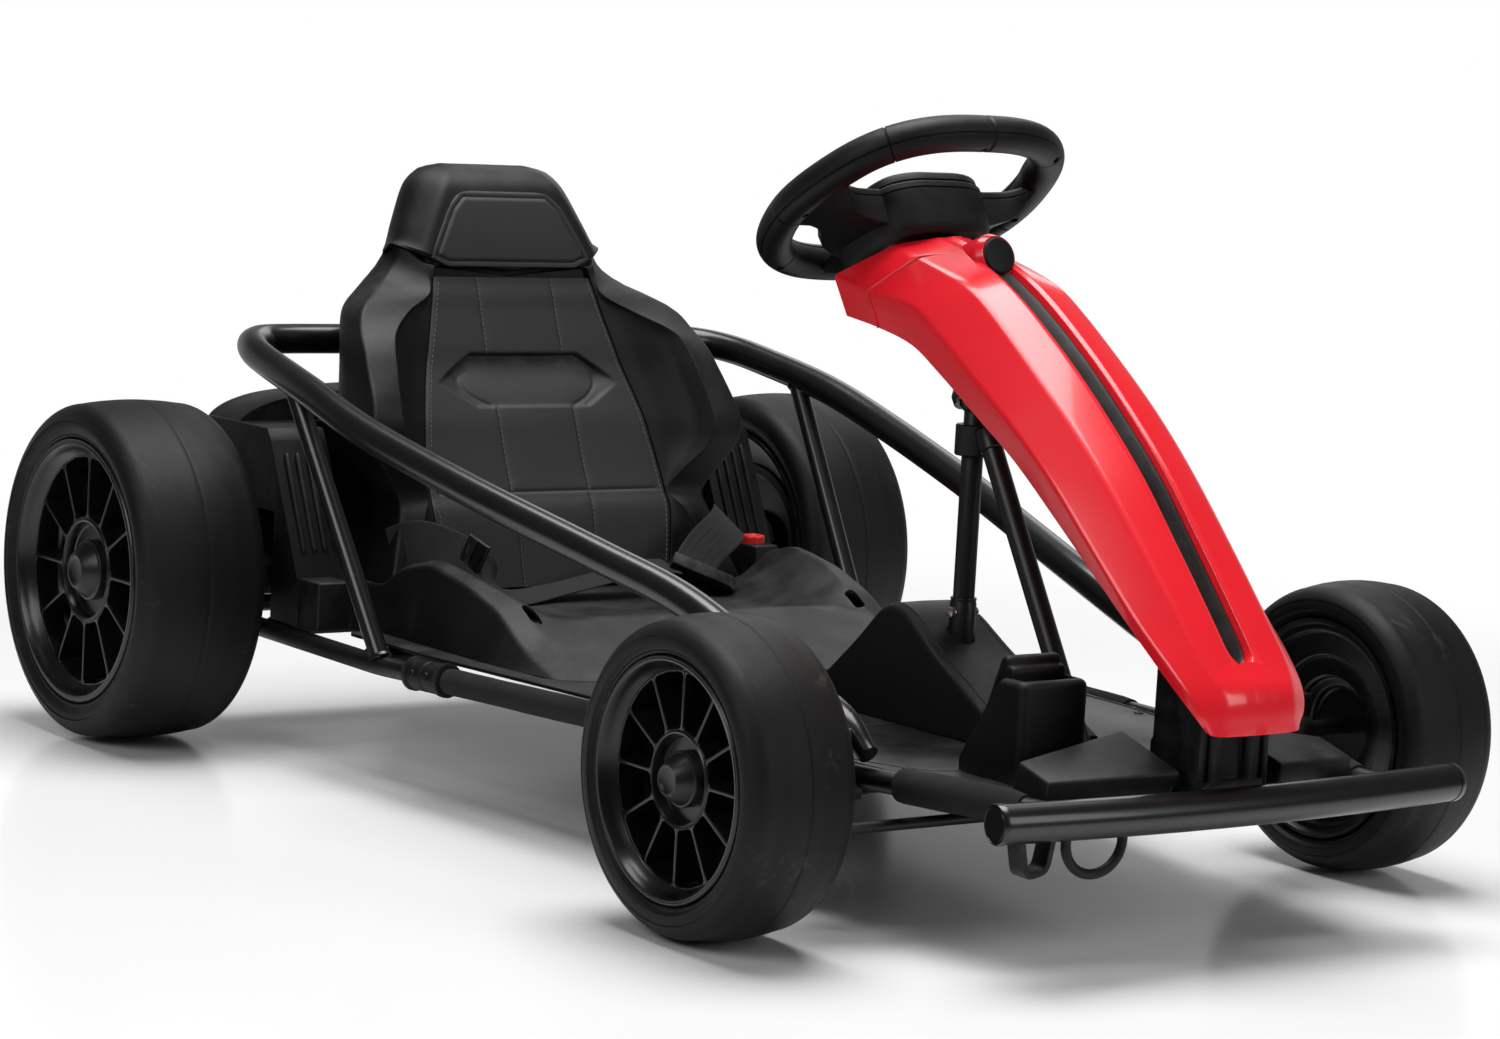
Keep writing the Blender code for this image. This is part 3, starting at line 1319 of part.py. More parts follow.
def fairing_outline(inset, base):
    """Return the rear fairing's side outline, drawn in by a wall's thickness."""
    front, rear = SEAT_Y + 0.022 + inset, REAR_TUBE_Y + FAIRING_WALL / 2 - inset
    top = FAIRING_HEIGHT - inset
    return [
        (front, base),
        (front, 0.140),
        (front + 0.055, top - 0.009),
        (front + 0.062, top),
        (rear - 0.014, top),
        (rear, top - 0.014),
        (rear, base),
    ]


def build_fairing():
    """Build the hollow rear fairing that wraps round the back of the seat."""
    wide, wall = FAIRING_HALF_WIDTH, FAIRING_WALL
    notch = SEAT_NOTCH
    notch_rear = AXLE_Y - 0.0095
    body = prism("rear_fairing", fairing_outline(0.0, REAR_REST_HEIGHT), -wide, wide)
    body = cut(body, box("seat", (-notch, 0, 0), (notch, notch_rear, 0.5)))
    hollow = prism("hollow", fairing_outline(wall, REAR_REST_HEIGHT - 0.01), -wide + wall, wide - wall)
    hollow = cut(hollow, box("seat", (-notch - wall, 0, 0), (notch + wall, notch_rear + wall, 0.5)))
    body = cut(body, hollow)
    slope_low = Vector((0, SEAT_Y + 0.0335, 0.165))
    slope_high = Vector((0, SEAT_Y + 0.0705, 0.243))
    for _, side in SIDES:
        for x in (0.201, 0.211, 0.221, 0.231):
            at = Vector((side * x, 0, 0))
            body = join(body, rod("rib", slope_low + at, slope_high + at, 0.0022, segments=6))
    for _, side in SIDES:
        xs = sorted((side * (BUTTON_X + 0.0135), side * (wide - 0.001)))
        low = (xs[0], SEAT_Y - 0.010, REAR_REST_HEIGHT + 0.001)
        high = (xs[1], SEAT_Y + 0.024, 0.146)
        body = join(body, box("foot", low, high))
        xs = sorted((side * (wide - 0.02), side * (wide + 0.02)))
        low = (xs[0], AXLE_Y - 0.0775, 0.05)
        high = (xs[1], REAR_TUBE_Y - 0.004, REAR_TYRE_RADIUS + 0.055)
        body = cut(body, box("arch", low, high))
    body.name = "rear_fairing"
    finish(body, "black plastic")


def build_battery():
    """Build the battery that stands on the tray behind the axle."""
    low = (-0.085, AXLE_Y + 0.0115, REAR_REST_HEIGHT - 0.0005)
    high = (0.085, AXLE_Y + 0.0475, 0.195)
    finish(box("battery", low, high, bevel=0.002), "battery")


# Belt


def ribbon(name, path, across):
    """Return a flat strap along a path, with its width along the direction across."""
    rows = []
    half = Vector(across).normalized() * (BELT_WIDTH / 2)
    for index, place in enumerate(path):
        before = path[max(index - 1, 0)]
        after = path[min(index + 1, len(path) - 1)]
        along = (Vector(after) - Vector(before)).normalized()
        lift = half.cross(along).normalized() * (BELT_THICKNESS / 2)
        side = along.cross(lift).normalized() * (BELT_WIDTH / 2)
        middle = Vector(place)
        upper, lower = middle + lift, middle - lift
        rows.append([upper + side, upper - side, lower - side, lower + side])
    return loft(name, rows)


def build_belt():
    """Build the lap belt as it lies in the seat: two straps and the buckle between them."""
    y, z = SEAT_Y, SEAT_PAN_HEIGHT
    low = z + BELT_THICKNESS / 2 + GAP
    right = [
        (-0.136, y - 0.010, z + 0.043),
        (-0.128, y - 0.038, z + 0.040),
        (-0.112, y - 0.065, z + 0.022),
        (-0.092, y - 0.076, z + 0.008),
        (-0.060, y - 0.072, low + 0.001),
        (-0.010, y - 0.060, low),
        (0.040, y - 0.055, low),
        (0.081, y - 0.056, low + 0.002),
    ]
    left = [
        (0.130, y + 0.003, z + 0.056),
        (0.122, y - 0.004, z + 0.040),
        (0.109, y - 0.010, z + 0.026),
        (0.098, y - 0.017, z + 0.014),
        (0.098, y - 0.0240, z + 0.0085),
        (0.098, y - 0.0250, z + 0.0080),
    ]
    finish(ribbon("belt_right", right, (0.2, 1, 0)), "webbing")
    finish(ribbon("belt_left", left, (1, 0, 0)), "webbing")
    low_corner, high_corner = (0.085, y - 0.086, z + GAP), (0.111, y - 0.026, z + 0.0123)
    finish(box("belt_buckle", low_corner, high_corner, bevel=0.002), "black plastic")


def build_kart():
    """Build every piece and hang them all on one empty."""
    build_lower_frame()
    build_bumper()
    build_sleeves()
    build_floor_pan()
    build_hoop()
    build_struts()
    build_wheels()
    build_rear_drive()
    build_knuckles()
    build_tie_bar()
    build_column()
    build_upper_shaft()
    build_steering_wheel()
    build_stay()
    build_pedals()
    build_wedge_covers()
    build_steering_cover()
    build_under_straps()
    build_nose_shell()
    build_nose_trim()
    build_nose_post()
    build_seat_shell()
    build_seat_pads()
    build_seat_base()
    build_button()
    build_fairing()
    build_battery()
    build_belt()
    kart = bpy.data.objects.new("kart", None)
    PARTS.objects.link(kart)
    kart.location = (0, -CENTRE_Y, 0)
    for obj in PARTS.objects:
        if obj.type == "MESH":
            obj.parent = kart


build_kart()
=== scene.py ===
"""The looks of a ride-on electric go-kart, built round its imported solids.

Every piece is laid out from the front axle, as the solids are: x is across, with the driver's
left at +x, y runs back from the front axle, and z is the height over the ground. Layout turns
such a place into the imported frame's own coordinates.
"""

import json
import logging
import math
from abc import ABC, abstractmethod
from dataclasses import dataclass
from enum import Enum
from typing import Callable, Iterable, Sequence

import bmesh
import bpy
from mathutils import Matrix, Vector

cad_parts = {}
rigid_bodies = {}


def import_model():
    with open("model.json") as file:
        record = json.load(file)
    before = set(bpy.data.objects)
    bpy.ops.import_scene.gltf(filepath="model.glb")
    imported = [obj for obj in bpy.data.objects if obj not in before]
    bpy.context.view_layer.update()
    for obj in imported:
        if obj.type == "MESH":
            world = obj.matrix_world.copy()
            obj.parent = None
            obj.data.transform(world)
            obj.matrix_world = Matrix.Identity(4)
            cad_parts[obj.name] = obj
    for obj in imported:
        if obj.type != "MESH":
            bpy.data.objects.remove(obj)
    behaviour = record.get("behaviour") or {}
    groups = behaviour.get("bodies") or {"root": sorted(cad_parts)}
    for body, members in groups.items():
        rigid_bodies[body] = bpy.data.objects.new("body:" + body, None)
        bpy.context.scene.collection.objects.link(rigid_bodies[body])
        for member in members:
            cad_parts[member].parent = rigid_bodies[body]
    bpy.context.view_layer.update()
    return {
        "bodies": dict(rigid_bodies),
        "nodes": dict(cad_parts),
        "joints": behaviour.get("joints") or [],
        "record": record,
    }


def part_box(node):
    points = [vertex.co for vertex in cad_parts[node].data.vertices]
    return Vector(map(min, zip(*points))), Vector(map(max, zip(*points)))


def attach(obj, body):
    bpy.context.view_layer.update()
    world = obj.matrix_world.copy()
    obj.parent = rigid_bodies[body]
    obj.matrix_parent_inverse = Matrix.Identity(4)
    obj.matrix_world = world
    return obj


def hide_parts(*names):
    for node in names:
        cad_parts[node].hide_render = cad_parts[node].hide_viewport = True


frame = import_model()

Colour = tuple[float, float, float]
Pair = tuple[float, float]
Place = Sequence[float]
Piece = bpy.types.Object
Socket = bpy.types.NodeSocket
Outputs = bpy.types.NodeOutputs
Layers = tuple[Socket, Socket, Socket]
SIDES: tuple[tuple[str, int], ...] = (("right", -1), ("left", 1))
LOG = logging.getLogger("kart")
# Points nearer than MERGE are one. A rounded corner takes up at most CORNER_SHARE of each side.
MERGE = 0.00001
CORNER_SHARE = 0.45


# Layout


class Layout:
    """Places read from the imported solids."""

    @staticmethod
    def centre(node: str) -> Vector:
        """Return the middle of a solid's box."""
        low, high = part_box(node)
        return (low + high) / 2

    @staticmethod
    def joint(name: str) -> dict:
        """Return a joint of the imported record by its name."""
        return next(joint for joint in frame["joints"] if joint["name"] == name)


# The front axle lies at FRONT_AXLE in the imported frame. The rear axle, the seat and the rear cross
# tube are given from it, and the floor pan's top from the ground.
FRONT_AXLE = Layout.centre("rim_front_left").y
AXLE = Layout.centre("rim_rear_left").y - FRONT_AXLE
SEAT = AXLE - 0.1445
FLOOR = 0.109
ON_FLOOR = FLOOR + 0.0003
REAR_TUBE = AXLE + 0.0555
BUTTON_PLACE = (0.1965, SEAT - 0.004)


def at(place: Place) -> Vector:
    """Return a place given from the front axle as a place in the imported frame."""
    return Vector((place[0], place[1] + FRONT_AXLE, place[2]))


def lerp(a: float, b: float, t: float) -> float:
    """Return the value a share t of the way from a to b."""
    return a + (b - a) * t


def share_between(low: float, high: float, value: float) -> float:
    """Return how far a value lies from low to high, from 0 to 1."""
    return min(1.0, max(0.0, (value - low) / (high - low)))


def smooth_step(low: float, high: float, value: float) -> float:
    """Return 0 below low, 1 above high and a smooth ramp between them."""
    t = share_between(low, high, value)
    return t * t * (3 - 2 * t)


def spline(points: Sequence[Place], steps: int) -> list[Vector]:
    """Return a smooth curve through some points.

    Args:
        points: The points that the curve passes.
        steps: How many pieces each stretch between two points is cut into.

    Returns:
        The points along the curve, with the given ones among them.
    """
    knots = [Vector(point) for point in points]
    ends = [2 * knots[0] - knots[1], *knots, 2 * knots[-1] - knots[-2]]
    path = []
    for p0, p1, p2, p3 in zip(ends, ends[1:], ends[2:], ends[3:]):
        for step in range(steps):
            t = step / steps
            drift = (p2 - p0) * t + (2 * p0 - 5 * p1 + 4 * p2 - p3) * t * t
            path.append(p1 + (drift + (3 * p1 - p0 - 3 * p2 + p3) * t ** 3) / 2)
    return path + [knots[-1]]


def eased(points: Sequence[Place], reach: float | Sequence[float], closed: bool = True, steps: int = 4) -> list[Vector]:
    """Return a line with its corners rounded.

    Args:
        points: The line's corners, in two or three dimensions.
        reach: How far before and after a corner its curve runs, one for all or one for each.
        closed: Whether the line's ends meet.
        steps: How many pieces each rounded corner is cut into.

    Returns:
        The rounded line's points.
    """
    knots = [Vector(point) for point in points]
    count = len(knots)
    reaches = [reach] * count if isinstance(reach, float) else list(reach)
    line = []
    for index, corner in enumerate(knots):
        if not closed and index in (0, count - 1):
            line.append(corner)
            continue
        before, after = knots[index - 1] - corner, knots[(index + 1) % count] - corner
        first = corner + before.normalized() * min(reaches[index], before.length * CORNER_SHARE)
        last = corner + after.normalized() * min(reaches[index], after.length * CORNER_SHARE)
        for step in range(steps + 1):
            t = step / steps
            line.append(first.lerp(corner, t).lerp(corner.lerp(last, t), t))
    return line


def both_halves(half: Sequence[Place]) -> list[Place]:
    """Return a whole outline from its half at positive x, where a point on the middle stands once."""
    return [*half, *((-point[0], *point[1:]) for point in reversed(half) if point[0] > 0.0)]


def oblong(x0: float, y0: float, x1: float, y1: float) -> list[Pair]:
    """Return the four corners of a rectangle."""
    return [(x0, y0), (x1, y0), (x1, y1), (x0, y1)]


def quarter_round(radius: float, steps: int) -> list[Pair]:
    """Return how far a rounded edge stands back from its end and how far it draws in, step by step."""
    turns = [math.pi / 2 * step / steps for step in range(steps + 1)]
    return [(radius * (1 - math.sin(turn)), radius * (1 - math.cos(turn))) for turn in turns]


def flat_points(line: Sequence[Vector]) -> list[Pair]:
    """Return a line's points as pairs of their first two places."""
    return [(point.x, point.y) for point in line]


# Mesh tools


class Element(Enum):
    """The kinds of element that edit mode selects."""

    VERT = "verts"
    EDGE = "edges"
    FACE = "faces"


def make_active(obj: Piece) -> None:
    """Select one object alone and make it active.

    Args:
        obj: The object.
    """
    for other in list(bpy.context.selected_objects):
        other.select_set(False)
    obj.select_set(True)
    bpy.context.view_layer.objects.active = obj


def settle(obj: Piece) -> None:
    """Move an object's place, turn and scale into its mesh."""
    make_active(obj)
    bpy.ops.object.transform_apply(location=True, rotation=True, scale=True)


def apply_modifiers(obj: Piece) -> None:
    """Apply all modifiers of an object in order.

    Args:
        obj: The object.
    """
    make_active(obj)
    for modifier in list(obj.modifiers):
        bpy.ops.object.modifier_apply(modifier=modifier.name)


def add_modifier(obj: Piece, kind: str, **settings: object) -> None:
    """Add a modifier with some settings and apply it at once.

    Args:
        obj: The object.
        kind: The modifier's type.
        **settings: Values for the modifier's settings.
    """
    modifier = obj.modifiers.new(kind.lower(), kind)
    for key, value in settings.items():
        setattr(modifier, key, value)
    apply_modifiers(obj)


def edit(obj: Piece, element: Element, test: Callable[[object], bool]) -> None:
    """Enter edit mode with the elements selected that pass a test.

    Args:
        obj: The object.
        element: Whether points, edges or faces are selected.
        test: Whether an element is selected.
    """
    make_active(obj)
    bpy.ops.object.mode_set(mode="EDIT")
    bpy.ops.mesh.select_mode(type=element.name)
    bpy.ops.mesh.select_all(action="DESELECT")
    shape = bmesh.from_edit_mesh(obj.data)
    for item in getattr(shape, element.value):
        if test(item):
            item.select_set(True)
    bmesh.update_edit_mesh(obj.data)


def end_edit() -> None:
    """Leave edit mode."""
    bpy.ops.object.mode_set(mode="OBJECT")


def face_out(obj: Piece) -> None:
    """Merge an object's doubles and point its faces outwards.

    Args:
        obj: The object.
    """
    edit(obj, Element.VERT, lambda vert: True)
    bpy.ops.mesh.remove_doubles(threshold=MERGE)
    bpy.ops.mesh.normals_make_consistent(inside=False)
    end_edit()


def smooth(obj: Piece, angle: float = 35.0) -> Piece:
    """Shade an object smooth but for edges sharper than an angle in degrees.

    Args:
        obj: The object.
        angle: The sharpest angle that is still shaded smooth.

    Returns:
        The same object.
    """
    make_active(obj)
    bpy.ops.object.shade_smooth_by_angle(angle=math.radians(angle))
    return obj


def named(name: str) -> Piece:
    """Return the active object under a new name.

    Args:
        name: The new name.

    Returns:
        The object.
    """
    obj = bpy.context.active_object
    obj.name = name
    obj.data.name = name
    return obj


def linked(name: str, data: bpy.types.ID) -> Piece:
    """Return a new object that shows some data.

    Args:
        name: The object's name.
        data: The data that it shows.

    Returns:
        The object.
    """
    obj = bpy.data.objects.new(name, data)
    bpy.context.scene.collection.objects.link(obj)
    return obj


def round_edges(obj: Piece, radius: float, segments: int) -> Piece:
    """Round all edges of an object.

    Args:
        obj: The object.
        radius: The edges' radius.
        segments: The faces across each edge.

    Returns:
        The same object, shaded smooth.
    """
    edit(obj, Element.EDGE, lambda edge: True)
    bpy.ops.mesh.bevel(offset=radius, segments=segments, affect="EDGES", clamp_overlap=True)
    end_edit()
    return smooth(obj)


def solid_curve(name: str, curve: bpy.types.Curve) -> Piece:
    """Return a curve's solid as a mesh.

    Args:
        name: The object's name.
        curve: The curve.

    Returns:
        The mesh object.
    """
    make_active(linked(name, curve))
    bpy.ops.object.convert(target="MESH")
    obj = named(name)
    face_out(obj)
    return smooth(obj)


def rounded_box(name: str, low: Place, high: Place, radius: float, segments: int = 3) -> Piece:
    """Model a box with rounded edges.

    Args:
        name: The piece's name.
        low: Its lowest corner, from the front axle.
        high: Its highest corner, from the front axle.
        radius: The radius of its edges.
        segments: How many strips each rounded edge has.

    Returns:
        The piece.
    """
    corner, size = at(low), Vector(high) - Vector(low)
    bpy.ops.mesh.primitive_cube_add(size=1, location=corner + size / 2)
    obj = named(name)
    obj.scale = size
    settle(obj)
    return round_edges(obj, radius, segments)


def side_box(side: int, low: Place, high: Place, radius: float, segments: int = 3) -> Piece:
    """Model a rounded box that is given for the left side, on one side of the kart."""
    x0, x1 = sorted((side * low[0], side * high[0]))
    return rounded_box("side_box", (x0, *low[1:]), (x1, *high[1:]), radius, segments)


def cylinder(name: str, start: Place, end: Place, radius: float, top: float | None = None,
             sides: int = 24, edge: float = 0.0) -> Piece:
    """Model a round bar or cone with eased ends.

    Args:
        name: The piece's name.
        start: The middle of its first end, from the front axle.
        end: The middle of its other end.
        radius: Its radius at the start.
        top: Its radius at the end, or None where it is the same.
        sides: How many sides it has.
        edge: How far its two end rims are bevelled.

    Returns:
        The piece.
    """
    first, last = at(start), at(end)
    bpy.ops.mesh.primitive_cone_add(
        vertices=sides, radius1=radius, radius2=radius if top is None else top,
        depth=(last - first).length, location=(first + last) / 2)
    obj = named(name)
    obj.rotation_mode = "QUATERNION"
    obj.rotation_quaternion = Vector((0, 0, 1)).rotation_difference(last - first)
    settle(obj)
    if edge:
        edit(obj, Element.EDGE, lambda item: any(len(face.verts) > 4 for face in item.link_faces))
        bpy.ops.mesh.bevel(offset=edge, segments=2, affect="EDGES")
        end_edit()
    return smooth(obj)


def tube(name: str, path: Sequence[Place], radius: float, sides: int = 24, closed: bool = False,
         widths: Sequence[float] | None = None) -> Piece:
    """Model a round tube along a path.

    Args:
        name: The piece's name.
        path: Points of its middle line, from the front axle.
        radius: Its radius.
        sides: How many sides it has.
        closed: Whether its ends meet.
        widths: A share of the radius for each point, or None.

    Returns:
        The piece.
    """
    curve = bpy.data.curves.new(name, "CURVE")
    curve.dimensions = "3D"
    curve.bevel_depth = radius
    curve.bevel_resolution = (sides - 4) // 2
    curve.use_fill_caps = not closed
    line = curve.splines.new("POLY")
    line.points.add(len(path) - 1)
    for index, place in enumerate(path):
        line.points[index].co = (*at(place), 1.0)
        line.points[index].radius = widths[index] if widths else 1.0
    line.use_cyclic_u = closed
    return solid_curve(name, curve)


def from_mesh_data(name: str, points: Iterable[Place], edges: Iterable[Sequence[int]],
                   faces: Iterable[Sequence[int]]) -> Piece:
    """Return a new object from points given from the front axle, with edges and faces.

    Args:
        name: The object's name.
        points: The places of its points.
        edges: Pairs of points.
        faces: Loops of points.

    Returns:
        The object.
    """
    mesh = bpy.data.meshes.new(name)
    mesh.from_pydata([at(point) for point in points], edges, faces)
    return linked(name, mesh)


def turned(name: str, profile: Sequence[Pair], centre: Place, outward: Place, steps: int = 64,
           closed: bool = False) -> Piece:
    """Model a turned piece.

    Args:
        name: The piece's name.
        profile: Pairs of radius and distance along the axis.
        centre: Where the distance is 0, from the front axle.
        outward: The axis, towards growing distance.
        steps: How many steps it has round the axis.
        closed: Whether the profile's ends meet.

    Returns:
        The piece.
    """
    count = len(profile)
    edges = [(index, index + 1) for index in range(count - 1)]
    if closed:
        edges.append((count - 1, 0))
    mesh = bpy.data.meshes.new(name)
    mesh.from_pydata([(radius, 0.0, along) for radius, along in profile], edges, [])
    obj = linked(name, mesh)
    add_modifier(obj, "SCREW", steps=steps, render_steps=steps, use_merge_vertices=True, merge_threshold=MERGE)
    turn = Vector((0, 0, 1)).rotation_difference(Vector(outward)).to_matrix().to_4x4()
    obj.matrix_world = Matrix.Translation(at(centre)) @ turn
    settle(obj)
    face_out(obj)
    return smooth(obj)


def grid(name: str, rows: Sequence[Sequence[Place]], ring: bool = False, caps: bool = False) -> Piece:
    """Model a sheet of quads over rows of points, with a UV map in metres across and along.

    Args:
        name: The piece's name.
        rows: Rows with equally many points, from the front axle.
        ring: Whether each row runs round a closed outline.
        caps: Whether the first and the last row are filled.

    Returns:
        The piece.
    """
    width = len(rows[0])
    middle = [Vector(point) for point in rows[len(rows) // 2]]
    across = [0.0]
    for i in range(width):
        across.append(across[-1] + (middle[(i + 1) % width] - middle[i]).length)
    faces: list[list[int]] = []
    spots: list[float] = []
    along = 0.0
    for line in range(len(rows) - 1):
        step = (Vector(rows[line + 1][0]) - Vector(rows[line][0])).length
        for i in range(width if ring else width - 1):
            j = (i + 1) % width
            a, b = line * width, (line + 1) * width
            faces.append([a + i, a + j, b + j, b + i])
            for u, v in ((i, along), (i + 1, along), (i + 1, along + step), (i, along + step)):
                spots += [across[u], v]
        along += step
    if caps:
        for start in (0, (len(rows) - 1) * width):
            faces.append([start + i for i in range(width)])
            spots += [0.0, 0.0] * width
    obj = from_mesh_data(name, [point for row in rows for point in row], [], faces)
    obj.data.uv_layers.new(name="strap").data.foreach_set("uv", spots)
    face_out(obj)
    return smooth(obj)


def sweep(name: str, path: Sequence[Vector], section: Sequence[Pair], up: Vector | Sequence[Vector],
          closed: bool = False) -> Piece:
    """Model a solid whose section runs along a path.

    Args:
        name: The piece's name.
        path: Points of its middle line, from the front axle.
        section: Its closed section, as places across and up.
        up: The direction in which the section's second place is measured, one for all or one each.
        closed: Whether its ends meet.

    Returns:
        The piece.
    """
    count = len(path)
    ups = [up] * count if isinstance(up, Vector) else list(up)
    rows = []
    for index, place in enumerate(path):
        before = path[index - 1] if closed or index else path[0]
        after = path[(index + 1) % count] if closed or index < count - 1 else path[-1]
        along = (after - before).normalized()
        across = along.cross(ups[index]).normalized()
        lift = across.cross(along).normalized()
        rows.append([place + across * a + lift * b for a, b in section])
    if closed:
        rows.append(rows[0])
    return grid(name, rows, ring=True, caps=not closed)


def block(name: str, low: Sequence[Place], high: Sequence[Place], radius: float, segments: int = 3) -> Piece:
    """Model a solid between two loops of points, with all its edges rounded.

    Args:
        name: The piece's name.
        low: The first loop, from the front axle.
        high: The other loop, with as many points.
        radius: The radius of its edges.
        segments: How many strips each rounded edge has.

    Returns:
        The piece.
    """
    count = len(low)
    faces = [list(range(count)), list(range(count, 2 * count))]
    faces += [[i, (i + 1) % count, count + (i + 1) % count, count + i] for i in range(count)]
    obj = from_mesh_data(name, [*low, *high], [], faces)
    face_out(obj)
    return round_edges(obj, radius, segments)


def prism(name: str, outline: Sequence[Pair], low: float, high: float, radius: float,
          segments: int = 3) -> Piece:
    """Model a solid with a side outline in y and z, from one x to another."""
    loops = [[(x, y, z) for y, z in outline] for x in (low, high)]
    return block(name, *loops, radius, segments)


def slab(name: str, outline: Sequence[Pair], low: float, high: float, radius: float,
         segments: int = 3) -> Piece:
    """Model a solid with an outline in x and y, from one height to another."""
    loops = [[(x, y, z) for x, y in outline] for z in (low, high)]
    return block(name, *loops, radius, segments)


def drawn_in(outline: Sequence[Pair], distance: float) -> list[Pair]:
    """Return a closed outline moved inwards by a distance along its own normals.

    Args:
        outline: The outline's points in order.
        distance: How far it moves inwards.

    Returns:
        The new outline, point for point.
    """
    count = len(outline)
    area = sum(outline[i - 1][0] * outline[i][1] - outline[i][0] * outline[i - 1][1] for i in range(count))
    way = 1.0 if area > 0 else -1.0
    points = []
    for index, (x, y) in enumerate(outline):
        before, after = outline[index - 1], outline[(index + 1) % count]
        along = Vector((after[0] - before[0], after[1] - before[1])).normalized() * way * distance
        points.append((x - along.y, y + along.x))
    return points


def stacked(name: str, outline: Sequence[Pair], levels: Sequence[Pair]) -> Piece:
    """Model a solid from one outline in x and y, drawn in by a distance at each of some heights.

    Args:
        name: The piece's name.
        outline: The closed outline, with its corners already rounded.
        levels: Pairs of height and distance drawn in, from one end to the other.

    Returns:
        The piece.
    """
    rows = [[(x, y, height) for x, y in drawn_in(outline, inset)] for height, inset in levels]
    return grid(name, rows, ring=True, caps=True)


def soften(obj: Piece, width: float, segments: int = 3) -> Piece:
    """Merge an object's flat faces and round its sharp edges.

    Args:
        obj: The object.
        width: The rounding's width.
        segments: The faces across each edge.

    Returns:
        The same object.
    """
    edit(obj, Element.FACE, lambda face: True)
    bpy.ops.mesh.dissolve_limited(angle_limit=math.radians(1.0))
    end_edit()
    add_modifier(obj, "BEVEL", width=width, segments=segments, limit_method="ANGLE",
                 angle_limit=math.radians(30.0), use_clamp_overlap=True)
    return smooth(obj)


def flat_shape(name: str, loops: Sequence[Sequence[Pair]], depth: float, edge: float) -> Piece:
    """Model a flat plate with holes and rounded edges, in the XY plane about z = 0.

    Args:
        name: The piece's name.
        loops: The outer outline and then the holes, as points in the plate's plane.
        depth: Its thickness.
        edge: The radius of its edges.

    Returns:
        The piece, still at the world's origin.
    """
    curve = bpy.data.curves.new(name, "CURVE")
    curve.dimensions = "2D"
    curve.fill_mode = "BOTH"
    curve.extrude = depth / 2 - edge
    curve.bevel_depth = edge
    curve.bevel_resolution = 2
    curve.offset = -edge
    for loop in loops:
        line = curve.splines.new("POLY")
        line.points.add(len(loop) - 1)
        for index, (x, y) in enumerate(loop):
            line.points[index].co = (x, y, 0.0, 1.0)
        line.use_cyclic_u = True
    return solid_curve(name, curve)


def moved(obj: Piece, matrix: Matrix) -> Piece:
    """Move an object's mesh by a matrix.

    Args:
        obj: The object.
        matrix: The move.

    Returns:
        The same object.
    """
    obj.matrix_world = matrix
    settle(obj)
    return obj


def joined(name: str, pieces: Sequence[Piece]) -> Piece:
    """Join some objects into one.

    Args:
        name: The new object's name.
        pieces: The objects, which are used up.

    Returns:
        The one object.
    """
    make_active(pieces[0])
    for piece in pieces:
        piece.select_set(True)
    bpy.ops.object.join()
    return named(name)


def cut(obj: Piece, *cutters: Piece) -> Piece:
    """Cut some objects out of another, and use them up.

    Args:
        obj: The object.
        *cutters: The objects that are cut out of it.

    Returns:
        The same object.
    """
    for cutter in cutters:
        add_modifier(obj, "BOOLEAN", operation="DIFFERENCE", solver="EXACT", object=cutter)
        bpy.data.objects.remove(cutter)
    return obj


# Shader nodes


